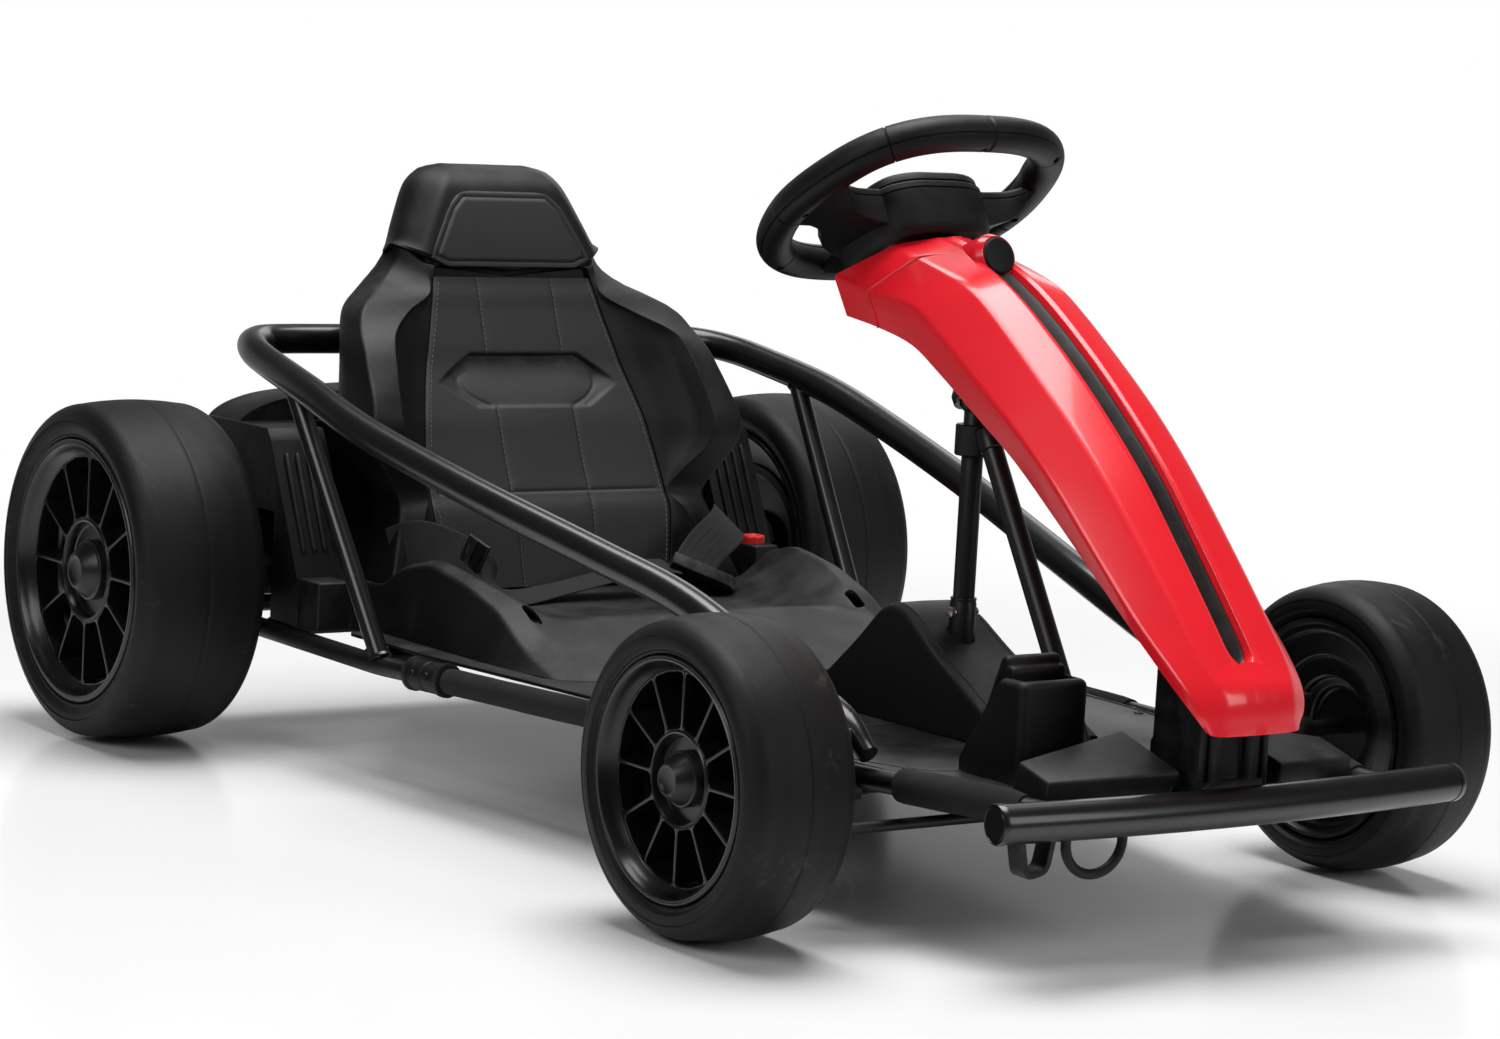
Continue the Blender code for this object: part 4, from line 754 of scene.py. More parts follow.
class NodeSheet:
    """Short calls that add shader nodes to a tree and link them."""

    def __init__(self, tree: bpy.types.NodeTree) -> None:
        """Keep the tree that the nodes go into."""
        self.tree = tree

    def add(self, kind: str, inputs: dict | None = None, **settings: object) -> bpy.types.Node:
        """Add a node.

        Args:
            kind: The node's type without its ShaderNode prefix.
            inputs: Values or sockets for its inputs, by name or index.
            settings: Values for its own settings.

        Returns:
            The node.
        """
        node = self.tree.nodes.new("ShaderNode" + kind)
        for key, value in settings.items():
            setattr(node, key, value)
        for key, value in (inputs or {}).items():
            if isinstance(value, Socket):
                self.tree.links.new(value, node.inputs[key])
            else:
                node.inputs[key].default_value = value
        return node

    def maths(self, operation: str, a: object, b: object = 0.0) -> Socket:
        """Return the result of a sum on two values or sockets."""
        return self.add("Math", {0: a, 1: b}, operation=operation).outputs[0]

    def plus(self, a: object, b: object) -> Socket:
        """Return the sum of two values or sockets."""
        return self.maths("ADD", a, b)

    def times(self, a: object, b: object) -> Socket:
        """Return the product of two values or sockets."""
        return self.maths("MULTIPLY", a, b)

    def swing(self, value: object, reach: float) -> Socket:
        """Return a value from 0 to 1 as one that swings about 0 by a reach each way."""
        return self.times(self.maths("SUBTRACT", value, 0.5), 2 * reach)

    def ramp(self, value: object, low: float, high: float) -> Socket:
        """Return a value mapped smoothly from low and high to 0 and 1."""
        inputs = {"Value": value, "From Min": low, "From Max": high}
        return self.add("MapRange", inputs, interpolation_type="SMOOTHSTEP").outputs[0]

    def mix(self, share: object, a: object, b: object) -> Socket:
        """Return a colour a share of the way from a to b."""
        return self.add("Mix", {0: share, 6: a, 7: b}, data_type="RGBA").outputs[2]

    def noise(self, vector: object, size: float, detail: float = 3.0) -> Socket:
        """Return a noise value from 0 to 1 with patches of a size in metres."""
        inputs = {"Vector": vector, "Scale": 1.0 / size, "Detail": detail, "Roughness": 0.55}
        return self.add("TexNoise", inputs).outputs[0]

    def cloud(self, vector: object, scale: float, detail: float) -> Socket:
        """Return a plain noise value at a scale."""
        return self.add("TexNoise", {"Vector": vector, "Scale": scale, "Detail": detail}).outputs[0]

    def spread(self, size: object) -> Socket:
        """Return the piece's own coordinates, drawn out so that a size in metres is 1."""
        inputs = {0: self.add("TexCoord").outputs["Object"], "Scale": self.maths("DIVIDE", 1.0, size)}
        return self.add("VectorMath", inputs, operation="SCALE").outputs[0]


class Effect(ABC):
    """A surface effect that several materials use, as one shader node group."""

    name: str = ""
    inputs: dict[str, tuple[str, object]] = {}
    outputs: dict[str, str] = {}

    def group(self) -> bpy.types.NodeTree:
        """Return the effect's node group, which is built on its first use.

        Returns:
            The node group.
        """
        found = bpy.data.node_groups.get(self.name)
        if found:
            return found
        tree = bpy.data.node_groups.new(self.name, "ShaderNodeTree")
        for label, (kind, value) in self.inputs.items():
            socket = tree.interface.new_socket(label, in_out="INPUT", socket_type="NodeSocket" + kind)
            socket.default_value = value
        for label, kind in self.outputs.items():
            tree.interface.new_socket(label, in_out="OUTPUT", socket_type="NodeSocket" + kind)
        sheet = NodeSheet(tree)
        given = tree.nodes.new("NodeGroupInput").outputs
        result = tree.nodes.new("NodeGroupOutput")
        for label, socket in self.draw(sheet, given).items():
            tree.links.new(socket, result.inputs[label])
        return tree

    def place(self, sheet: NodeSheet, **values: object) -> Outputs:
        """Add the effect to a material.

        Args:
            sheet: The material's nodes.
            values: Values or sockets for the group's inputs, with _ for a space.

        Returns:
            The group's outputs.
        """
        node = sheet.tree.nodes.new("ShaderNodeGroup")
        node.node_tree = self.group()
        for key, value in values.items():
            socket = node.inputs[key.replace("_", " ")]
            if isinstance(value, Socket):
                sheet.tree.links.new(value, socket)
            else:
                socket.default_value = value
        return node.outputs

    @abstractmethod
    def draw(self, sheet: NodeSheet, given: Outputs) -> dict[str, Socket]:
        """Add the group's nodes and return the sockets of its outputs by name."""


class MouldedGrain(Effect):
    """The fine pebbled grain of moulded plastic."""

    name = "moulded_grain"
    inputs = {"Size": ("Float", 0.001)}
    outputs = {"Height": "Float"}

    def draw(self, sheet: NodeSheet, given: Outputs) -> dict[str, Socket]:
        """Add cells of the grain's size with a finer noise over them.

        Args:
            sheet: The sheet of the group's nodes.
            given: The group's inputs.

        Returns:
            The grain's height.
        """
        spread = sheet.spread(given["Size"])
        cells = sheet.add("TexVoronoi", {"Vector": spread, "Smoothness": 0.7}, feature="SMOOTH_F1")
        fine = sheet.cloud(spread, 2.1, 2.0)
        return {"Height": sheet.plus(cells.outputs["Distance"], sheet.times(fine, 0.45))}


class TonePatches(Effect):
    """Slow changes of a surface's tone and gloss."""

    name = "tone_patches"
    inputs = {"Colour": ("Color", (0.5, 0.5, 0.5, 1)), "Size": ("Float", 0.05), "Shift": ("Float", 0.2)}
    outputs = {"Colour": "Color", "Mask": "Float"}

    def draw(self, sheet: NodeSheet, given: Outputs) -> dict[str, Socket]:
        """Add a noise that lifts and lowers the colour's value.

        Args:
            sheet: The sheet of the group's nodes.
            given: The group's inputs.

        Returns:
            The changed colour and the patches' mask.
        """
        mask = sheet.cloud(sheet.spread(given["Size"]), 1.0, 4.0)
        value = sheet.plus(1.0, sheet.times(sheet.swing(mask, 1.0), given["Shift"]))
        colour = sheet.add("HueSaturation", {"Value": value, "Color": given["Colour"]}).outputs[0]
        return {"Colour": colour, "Mask": mask}


class SettledDust(Effect):
    """A thin film of dust on surfaces that look up."""

    name = "settled_dust"
    inputs = {"Colour": ("Color", (0.5, 0.5, 0.5, 1)), "Dust": ("Color", (0.3, 0.29, 0.28, 1)),
              "Amount": ("Float", 0.1)}
    outputs = {"Colour": "Color", "Mask": "Float"}

    def draw(self, sheet: NodeSheet, given: Outputs) -> dict[str, Socket]:
        """Add a mask from the surface's own upward side, broken up by noise.

        Args:
            sheet: The sheet of the group's nodes.
            given: The group's inputs.

        Returns:
            The dust's mask.
        """
        coordinates = sheet.add("TexCoord").outputs
        up = sheet.add("SeparateXYZ", {0: coordinates["Normal"]}).outputs[2]
        patches = sheet.ramp(sheet.noise(coordinates["Object"], 0.03, 5.0), 0.35, 0.75)
        specks = sheet.ramp(sheet.noise(coordinates["Object"], 0.002, 2.0), 0.62, 0.72)
        cover = sheet.plus(sheet.times(patches, 0.7), specks)
        mask = sheet.times(sheet.times(sheet.ramp(up, 0.2, 1.0), cover), given["Amount"])
        return {"Colour": sheet.mix(mask, given["Colour"], given["Dust"]), "Mask": mask}


class EdgeWear(Effect):
    """Lighter, duller edges where a surface is rubbed."""

    name = "edge_wear"
    inputs = {"Colour": ("Color", (0.5, 0.5, 0.5, 1)), "Worn": ("Color", (0.1, 0.1, 0.1, 1)),
              "Amount": ("Float", 0.3)}
    outputs = {"Colour": "Color", "Mask": "Float"}

    def draw(self, sheet: NodeSheet, given: Outputs) -> dict[str, Socket]:
        """Add a mask from the surface's outward creases, broken up by noise.

        Args:
            sheet: The sheet of the group's nodes.
            given: The group's inputs.

        Returns:
            The worn edges' mask.
        """
        crease = sheet.ramp(sheet.add("NewGeometry").outputs["Pointiness"], 0.52, 0.62)
        place = sheet.add("TexCoord").outputs["Object"]
        rubbed = sheet.ramp(sheet.noise(place, 0.012, 4.0), 0.3, 0.7)
        mask = sheet.times(sheet.times(crease, rubbed), given["Amount"])
        return {"Colour": sheet.mix(mask, given["Colour"], given["Worn"]), "Mask": mask}


class Scuffs(Effect):
    """Short pale rub marks."""

    name = "scuffs"
    inputs = {"Size": ("Float", 0.05), "Amount": ("Float", 0.3)}
    outputs = {"Mask": "Float"}

    def draw(self, sheet: NodeSheet, given: Outputs) -> dict[str, Socket]:
        """Add streaks that show only in a few wide patches.

        Args:
            sheet: The sheet of the group's nodes.
            given: The group's inputs.

        Returns:
            The streaks' mask.
        """
        spread = sheet.spread(given["Size"])
        wide = sheet.ramp(sheet.cloud(spread, 1.0, 3.0), 0.56, 0.74)
        drawn = sheet.add("Mapping", {"Vector": spread, "Scale": (9.0, 2.2, 9.0)}).outputs[0]
        streaks = sheet.ramp(sheet.cloud(drawn, 1.0, 5.0), 0.5, 0.66)
        return {"Mask": sheet.times(sheet.times(wide, streaks), given["Amount"])}


GRAIN, TONE, DUST, WEAR, SCUFFS = MouldedGrain(), TonePatches(), SettledDust(), EdgeWear(), Scuffs()


# Finishes


@dataclass(frozen=True)
class Finish:
    """A surface finish and the material that shows it."""

    name: str
    slot: str
    colour: Colour
    roughness: float
    metallic: float = 0.0
    coat: float = 0.0
    specular: float = 0.5
    grain_size: float = 0.0009
    grain_depth: float = 0.00004
    patch_size: float = 0.06
    patch_shift: float = 0.15
    gloss_shift: float = 0.08
    dust: float = 0.10
    wear: float = 0.35
    # The colour that rubbed edges turn to; the webbing instead paints its raised threads in it as a painted sheen.
    worn: Colour = (0.09, 0.09, 0.09)

    def material(self) -> bpy.types.Material:
        """Return the finish's material, which is made on its first use.

        Returns:
            The material.
        """
        found = bpy.data.materials.get(self.name)
        if found:
            return found
        material = bpy.data.materials.new(self.name)
        material.use_nodes = True
        sheet = NodeSheet(material.node_tree)
        surface = material.node_tree.nodes["Principled BSDF"]
        surface.inputs["Metallic"].default_value = self.metallic
        surface.inputs["Coat Roughness"].default_value = 0.06
        surface.inputs["Specular IOR Level"].default_value = self.specular
        if self.coat:
            surface.inputs["Coat Weight"].default_value = self.coat
        colour, gloss, height = self.layers(sheet)
        material.node_tree.links.new(colour, surface.inputs["Base Color"])
        material.node_tree.links.new(gloss, surface.inputs["Roughness"])
        bump = sheet.add("Bump", {"Height": height, "Distance": self.grain_depth, "Strength": 1.0})
        material.node_tree.links.new(bump.outputs[0], surface.inputs["Normal"])
        return material

    def layers(self, sheet: NodeSheet) -> Layers:
        """Add the finish's texture nodes.

        Args:
            sheet: The material's nodes.

        Returns:
            The sockets of its colour, its roughness and its height.
        """
        tone = TONE.place(sheet, Colour=(*self.colour, 1), Size=self.patch_size, Shift=self.patch_shift)
        worn = WEAR.place(sheet, Colour=tone["Colour"], Worn=(*self.worn, 1), Amount=self.wear)
        dust = DUST.place(sheet, Colour=worn["Colour"], Amount=self.dust)
        gloss = sheet.plus(sheet.swing(tone["Mask"], self.gloss_shift), self.roughness)
        gloss = sheet.plus(gloss, sheet.times(worn["Mask"], 0.3))
        height = GRAIN.place(sheet, Size=self.grain_size)["Height"]
        return dust["Colour"], gloss, height


@dataclass(frozen=True)
class TyreRubber(Finish):
    """Slick tyre rubber with fine rings, rub marks and dusty patches."""

    scuff: Colour = (0.06, 0.054, 0.048)

    def layers(self, sheet: NodeSheet) -> Layers:
        """Add the rubber's nodes over its ring_radius and ring_across attributes.

        Args:
            sheet: The material's nodes.

        Returns:
            The sockets of its colour, its roughness and its height.
        """
        radius = sheet.add("Attribute", attribute_name="ring_radius").outputs["Fac"]
        across = sheet.add("Attribute", attribute_name="ring_across").outputs["Fac"]
        ring = sheet.add("CombineXYZ", {0: radius, 1: across}).outputs[0]
        lines = sheet.noise(ring, 0.0011, 2.0)
        bands = sheet.noise(ring, 0.012, 2.0)
        tone = TONE.place(sheet, Colour=(*self.colour, 1), Size=self.patch_size, Shift=self.patch_shift)
        marks = SCUFFS.place(sheet, Size=0.045, Amount=0.45)["Mask"]
        colour = sheet.mix(marks, tone["Colour"], (*self.scuff, 1))
        worn = WEAR.place(sheet, Colour=colour, Worn=(*self.worn, 1), Amount=self.wear)
        gloss = sheet.plus(self.roughness, sheet.swing(bands, 0.11))
        gloss = sheet.plus(gloss, sheet.swing(tone["Mask"], self.gloss_shift))
        gloss = sheet.plus(gloss, sheet.times(marks, 0.25))
        grain = GRAIN.place(sheet, Size=self.grain_size)["Height"]
        return worn["Colour"], gloss, sheet.plus(grain, sheet.times(lines, 1.6))


@dataclass(frozen=True)
class Webbing(Finish):
    """Woven belt webbing, over a UV map in metres across and along, with a painted sheen on its raised threads."""

    thread: float = 0.0016

    def layers(self, sheet: NodeSheet) -> Layers:
        """Add a herringbone of threads, with a painted sheen on their raised crests.

        Args:
            sheet: The material's nodes.

        Returns:
            The sockets of its colour, its roughness and its height.
        """
        along = sheet.add("SeparateXYZ", {0: sheet.add("UVMap", uv_map="strap").outputs[0]}).outputs
        wave = math.pi / self.thread
        fold = sheet.maths("PINGPONG", along[0], self.thread * 2)
        rows = sheet.maths("SINE", sheet.times(sheet.plus(along[1], fold), wave))
        ribs = sheet.maths("SINE", sheet.times(along[0], wave * 1.6))
        height = sheet.plus(sheet.maths("ABSOLUTE", rows), sheet.times(sheet.maths("ABSOLUTE", ribs), 0.7))
        # Painted sheen: the raised threads, broken up by fine fibres, are painted lighter and glossier than the hollows
        # between them.
        fibres = sheet.noise(sheet.add("TexCoord").outputs["Object"], 0.0006, 2.0)
        lift = sheet.times(sheet.ramp(height, 0.3, 1.6), fibres)
        colour = sheet.mix(lift, (*self.colour, 1), (*self.worn, 1))
        gloss = sheet.maths("SUBTRACT", self.roughness, sheet.times(lift, 0.2))
        return colour, gloss, height


GLOSS_TUBE = Finish("gloss_black_paint", "gloss_tube", (0.004, 0.004, 0.004), 0.29, coat=0.15, grain_size=0.006,
                    grain_depth=0.000008, patch_shift=0.1, gloss_shift=0.03, dust=0.02, wear=0.0)
SATIN_TUBE = Finish("satin_black_paint", "satin_tube", (0.005, 0.005, 0.005), 0.40, grain_size=0.0015,
                    grain_depth=0.00001, dust=0.02, wear=0.05)
FOAM = Finish("sleeve_foam", "foam", (0.012, 0.011, 0.012), 0.85, specular=0.3, grain_size=0.0008, grain_depth=0.00022,
              patch_shift=0.25, wear=0.2)
RUBBER = TyreRubber("tyre_rubber", "tyre", (0.0045, 0.004, 0.004), 0.52, specular=0.22, grain_size=0.0008,
                    grain_depth=0.00005, patch_size=0.05, patch_shift=0.35, gloss_shift=0.12, wear=0.25,
                    worn=(0.10, 0.095, 0.09))
RIM_GLOSS = Finish("rim_gloss_black", "rim", (0.003, 0.003, 0.003), 0.28, coat=0.08, specular=0.4, grain_size=0.003,
                   grain_depth=0.00001, gloss_shift=0.04, dust=0.04, wear=0.2)
PLASTIC = Finish("black_moulded_plastic", "black_plastic", (0.0033, 0.0029, 0.0033), 0.46, specular=0.25,
                 grain_size=0.0008, grain_depth=0.00005, dust=0.10)
SATIN_PLASTIC = Finish("satin_black_plastic", "black_plastic", (0.007, 0.0062, 0.0068), 0.44, specular=0.4,
                       grain_size=0.0012, grain_depth=0.00003, dust=0.14)
SMOOTH_PLASTIC = Finish("smooth_black_plastic", "black_plastic", (0.004, 0.004, 0.004), 0.36, specular=0.4,
                        grain_size=0.0012, grain_depth=0.00002, dust=0.05)
RED = Finish("red_gloss_plastic", "red_plastic", (0.86, 0.012, 0.024), 0.26, coat=0.3, grain_size=0.006,
             grain_depth=0.00002, patch_size=0.15, patch_shift=0.03, gloss_shift=0.02, dust=0.015, wear=0.12,
             worn=(0.85, 0.10, 0.09))
SEAT_SKIN = Finish("seat_soft_grain", "seat_panel", (0.009, 0.0083, 0.009), 0.56, grain_size=0.0011,
                   grain_depth=0.00008, dust=0.06)
THREAD = Finish("seat_thread", "seat_panel", (0.085, 0.082, 0.086), 0.60, grain_size=0.0005,
                grain_depth=0.00006, dust=0.02)
BUTTON_RED = Finish("button_red_plastic", "button_red", (0.64, 0.02, 0.016), 0.32, grain_size=0.002,
                    grain_depth=0.00002, dust=0.04, wear=0.2, worn=(0.8, 0.2, 0.18))
# The webbing's lighter thread colour is a painted sheen on the raised threads of its weave.
WEBBING = Webbing("belt_webbing", "webbing", (0.0075, 0.0075, 0.0080), 0.80, specular=0.25,
                  grain_depth=0.0006, worn=(0.06, 0.06, 0.06), dust=0.03)
STEEL = Finish("bright_steel", "axle_steel", (0.55, 0.55, 0.56), 0.28, metallic=1.0, grain_size=0.002,
               grain_depth=0.00002, dust=0.05, wear=0.1, worn=(0.7, 0.7, 0.7))
CASE = Finish("battery_case", "battery_case", (0.12, 0.125, 0.13), 0.5, grain_depth=0.00005)


def dress(obj: Piece, finish: Finish, body: str, *nodes: str) -> Piece:
    """Give a piece its finish and its place in the kart.

    Args:
        obj: The finished piece.
        finish: Its surface finish.
        body: The moving body that it rides on.
        nodes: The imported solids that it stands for.

    Returns:
        The piece.
    """
    obj.data.materials.clear()
    obj.data.materials.append(finish.material())
    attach(obj, body)
    if nodes:
        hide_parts(*nodes)
    LOG.info("%s: %s on %s, %d faces", obj.name, finish.name, body, len(obj.data.polygons))
    return obj


class SubAssembly(ABC):
    """A group of pieces that are modelled together."""

    @abstractmethod
    def build(self) -> None:
        """Model and dress the pieces."""


# Wheels


# The rim's side towards the frame: (share of the rim's radius, depth from the lip). The front one steps in
# like shallow dishes. The rear one is a deep pot, because a gearbox stands in it.
SHALLOW_SIDE = (
    (0.940, 0.0020), (0.932, 0.0034), (0.890, 0.0040), (0.875, 0.0050), (0.863, 0.0086), (0.845, 0.0097),
    (0.665, 0.0104), (0.645, 0.0116), (0.632, 0.0146), (0.612, 0.0156), (0.472, 0.0161), (0.453, 0.0174),
    (0.440, 0.0216), (0.420, 0.0230), (0.378, 0.0234), (0.360, 0.0247), (0.347, 0.0288), (0.330, 0.0300), (0.0, 0.0300))
DEEP_SIDE = (
    (0.935, 0.004), (0.90, 0.020), (0.80, 0.024), (0.70, 0.0245), (0.69, 0.0225), (0.62, 0.0225), (0.60, 0.026),
    (0.56, 0.036), (0.30, 0.037), (0.28, 0.030), (0.16, 0.030), (0.0, 0.030))


@dataclass
class Wheel(SubAssembly):
    """One wheel: slick tyre, spoked rim and hub cap."""

    corner: str
    side: int
    centre: Vector
    radius: float
    width: float
    sidewall: float
    shoulder: float = 0.016
    crown: float = 0.003
    rim_inset: float = 0.003
    spoke_inset: float = 0.012
    spokes: int = 12
    spoke_width: float = 0.0026
    pocket_depth: float = 0.022

    @property
    def body(self) -> str:
        """Return the moving body that the wheel's pieces ride on."""
        return "wheel_" + self.corner

    @property
    def rim(self) -> float:
        """Return the rim's radius."""
        return self.radius - self.sidewall

    @property
    def lip(self) -> float:
        """Return how far the rim's lip stands from the wheel's middle plane."""
        return self.width / 2 - self.rim_inset

    @property
    def face(self) -> float:
        """Return how far the spokes' front stands from the wheel's middle plane."""
        return self.lip - self.spoke_inset

    def turn_piece(self, part: str, profile: Sequence[Pair], steps: int, closed: bool = False) -> Piece:
        """Turn a profile about the wheel's axis, with distance growing outwards."""
        name = f"{part}_{self.corner}"
        return turned(name, profile, self.centre, (self.side, 0, 0), steps, closed)

    def tyre_side(self) -> list[Pair]:
        """Return one half of the tyre's profile, from its bead to the edge of its seam.

        Returns:
            Pairs of a radius and a reach along the axle.
        """
        half = self.width / 2
        bead = self.rim + 0.0004
        ring = 0.88 * self.radius
        step = 0.0006
        line = [(bead, half - 0.014), (bead, half - 0.0060), (bead + 0.0004, half - 0.0046)]
        line += [(bead + 0.0016, half - 0.0038), (bead + 0.0030, half - 0.0040), (bead + 0.0036, half - 0.0036)]
        flat = half - self.shoulder
        edge = self.radius - self.crown
        stepped = False
        for tenth in range(-2, 19):
            angle = math.radians(tenth * 5)
            r = edge - self.shoulder * (1 - math.sin(angle))
            out = flat + self.shoulder * math.cos(angle)
            if r < bead + 0.0045:
                continue
            if r < ring:
                line.append((r, out - step))
            elif not stepped:
                line += [(ring - 0.0003, line[-1][1] - 0.0003), (ring + 0.0001, out + 0.0002)]
                stepped = True
            if r > ring + 0.0006:
                line.append((r, out))
        for share in (0.25, 0.5, 0.75, 0.9, 0.97):
            line.append((edge + self.crown * (1 - (1 - share) ** 2), flat * (1 - share)))
        return line + [(self.radius - 0.00025, 0.0005), (self.radius - 0.00001, 0.0002)]

    def build_tyre(self) -> None:
        """Model the tyre with its bead, stepped side, round shoulders and seam."""
        half = self.tyre_side()
        profile = half + [(r, -w) for r, w in reversed(half)]
        tyre = self.turn_piece("tyre", profile, 112, closed=True)
        middle = at(self.centre)
        radii, across = [], []
        for vert in tyre.data.vertices:
            off = vert.co - middle
            radii.append(math.hypot(off.y, off.z))
            across.append(off.x)
        for label, values in (("ring_radius", radii), ("ring_across", across)):
            tyre.data.attributes.new(label, "FLOAT", "POINT").data.foreach_set("value", values)
        dress(tyre, RUBBER, self.body, "tyre_" + self.corner)

    def pocket(self, index: int) -> list[Pair]:
        """Return the outline of one pocket between two spokes.

        Args:
            index: The pocket's number, from 0 to 11.

        Returns:
            The outline's points.
        """
        slope = math.pi / self.spokes
        half = self.spoke_width / 2
        inner, outer = 0.405 * self.rim, 0.862 * self.rim

        def corner(radius: float, side: int) -> Pair:
            """Return where a spoke's side meets a circle."""
            angle = slope - math.asin(half / radius)
            return radius * math.cos(angle), side * radius * math.sin(angle)

        ends = [corner(inner, 1), corner(outer, 1), (outer, 0.0), corner(outer, -1), corner(inner, -1), (inner, 0.0)]
        rounded = eased(ends, 0.05 * self.rim, steps=5)
        turn = 2 * slope * (index + 0.5)
        c, s = math.cos(turn), math.sin(turn)
        return [(p.x * c - p.y * s, p.x * s + p.y * c) for p in rounded]

    def circle(self, radius: float, count: int) -> list[Pair]:
        """Return points round a circle."""
        return [(radius * math.cos(2 * math.pi * i / count), radius * math.sin(2 * math.pi * i / count))
                for i in range(count)]

    def build_rim(self) -> None:
        """Model the rim: dished band, spoke plate with its pockets, hub cup and barrel."""
        rim, lip, face = self.rim, self.lip, self.face
        back = face - self.pocket_depth
        band = [
            (0.0, back), (0.84 * rim, back), (0.868 * rim, back + 0.004), (0.868 * rim, face - 0.0004),
            (0.876 * rim, face + 0.0006), (0.900 * rim, face + 0.0030), (0.925 * rim, face + 0.0070),
            (0.940 * rim, lip - 0.0012), (0.950 * rim, lip - 0.0002), (0.965 * rim, lip), (0.972 * rim, lip - 0.0005),
            (0.985 * rim, lip - 0.0005), (rim - 0.0012, lip - 0.0003), (rim - 0.0004, lip - 0.0012),
            (rim - 0.0004, -lip + 0.0012), (rim - 0.0012, -lip), (0.955 * rim, -lip),
        ]
        inner_side = SHALLOW_SIDE if self.corner.startswith("front") else DEEP_SIDE
        band += [(share * rim, -lip + depth) for share, depth in inner_side]
        barrel = self.turn_piece("barrel", band, 96)
        cup_floor = face - 0.0075
        cup = [
            (0.400 * rim, back), (0.400 * rim, face - 0.0010), (0.392 * rim, face + 0.0004),
            (0.378 * rim, face + 0.0012), (0.365 * rim, face + 0.0008), (0.355 * rim, face - 0.0010),
            (0.345 * rim, cup_floor + 0.001), (0.335 * rim, cup_floor), (0.0, cup_floor),
        ]
        hub = self.turn_piece("hub", cup, 72)
        loops = [self.circle(0.872 * rim, 96), self.circle(0.39 * rim, 72)]
        loops += [self.pocket(index) for index in range(self.spokes)]
        depth = self.pocket_depth - 0.001
        spokes = flat_shape("spokes", loops, depth, 0.0006)
        turn = Matrix.Rotation(self.side * math.pi / 2, 4, "Y")
        middle = Matrix.Translation(at(self.centre)) @ turn @ Matrix.Translation((0, 0, face - depth / 2))
        moved(spokes, middle)
        whole = joined("rim_" + self.corner, [barrel, hub, spokes])
        whole.name = "rim_face_" + self.corner
        dress(whole, RIM_GLOSS, self.body, "rim_" + self.corner)

    def build_cap(self) -> None:
        """Model the hub cap: a cone with a lip round its dished front."""
        base = 0.222 * self.rim
        floor = self.face - 0.0075
        tip = self.face - 0.004 + self.spoke_inset + 0.002
        profile = [
            (0.0, tip - 0.0018), (0.36 * base, tip - 0.0018), (0.42 * base, tip - 0.0014), (0.47 * base, tip - 0.0002),
            (0.50 * base, tip), (0.56 * base, tip), (0.60 * base, tip - 0.0006), (0.90 * base, self.face + 0.0010),
            (0.94 * base, self.face - 0.0002), (base, self.face - 0.0006), (1.03 * base, self.face - 0.0014),
            (1.03 * base, floor), (0.0, floor),
        ]
        cap = self.turn_piece("cap", profile, 48)
        dress(cap, SMOOTH_PLASTIC, self.body, "hub_cap_" + self.corner)

    def build(self) -> None:
        """Model and dress the tyre, rim and cap."""
        self.build_tyre()
        self.build_rim()
        self.build_cap()


def all_wheels() -> list[Wheel]:
    """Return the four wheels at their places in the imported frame.

    Returns:
        Both front wheels and both rear wheels.
    """
    wheels = []
    for end, sidewall in (("front", 0.026), ("rear", 0.031)):
        for word, side in SIDES:
            corner = f"{end}_{word}"
            low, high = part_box("tyre_" + corner)
            centre = (low + high) / 2 - Vector((0, FRONT_AXLE, 0))
            wheels.append(Wheel(corner, side, centre, (high.z - low.z) / 2, high.x - low.x, sidewall))
    return wheels


# Lower frame


KINGPIN = 0.225
HUB_HEIGHT = 0.110
RAIL: tuple[Place, ...] = (
    (-0.193, 0.1445, 0.107), (-0.030, 0.178, 0.104), (0.145, 0.200, 0.101), (AXLE - 0.2945, 0.236, 0.096),
    (AXLE - 0.2545, 0.240, 0.095), (REAR_TUBE, 0.235, 0.095),
)


def rail_at(y: float) -> Pair:
    """Return the half width and the height of the rail's middle line at a place along the kart.

    Args:
        y: The place along the kart, from the front axle.

    Returns:
        The half width and the height.
    """
    for (y0, x0, z0), (y1, x1, z1) in zip(RAIL, RAIL[1:]):
        if y <= y1:
            share = (y - y0) / (y1 - y0)
            return lerp(x0, x1, share), lerp(z0, z1, share)
    return RAIL[-1][1], RAIL[-1][2]


def on_rail(y: float, side: int) -> Vector:
    """Return the place of a rail's middle line at a place along the kart."""
    x, z = rail_at(y)
    return Vector((side * x, y, z))


def rail_path(start: float, end: float, side: int) -> list[Vector]:
    """Return a rail's middle line between two places along the kart."""
    line = [start, *(y for y, _, _ in RAIL if start + 0.02 < y < end - 0.02), end]
    return eased([on_rail(y, side) for y in line], 0.018, closed=False)


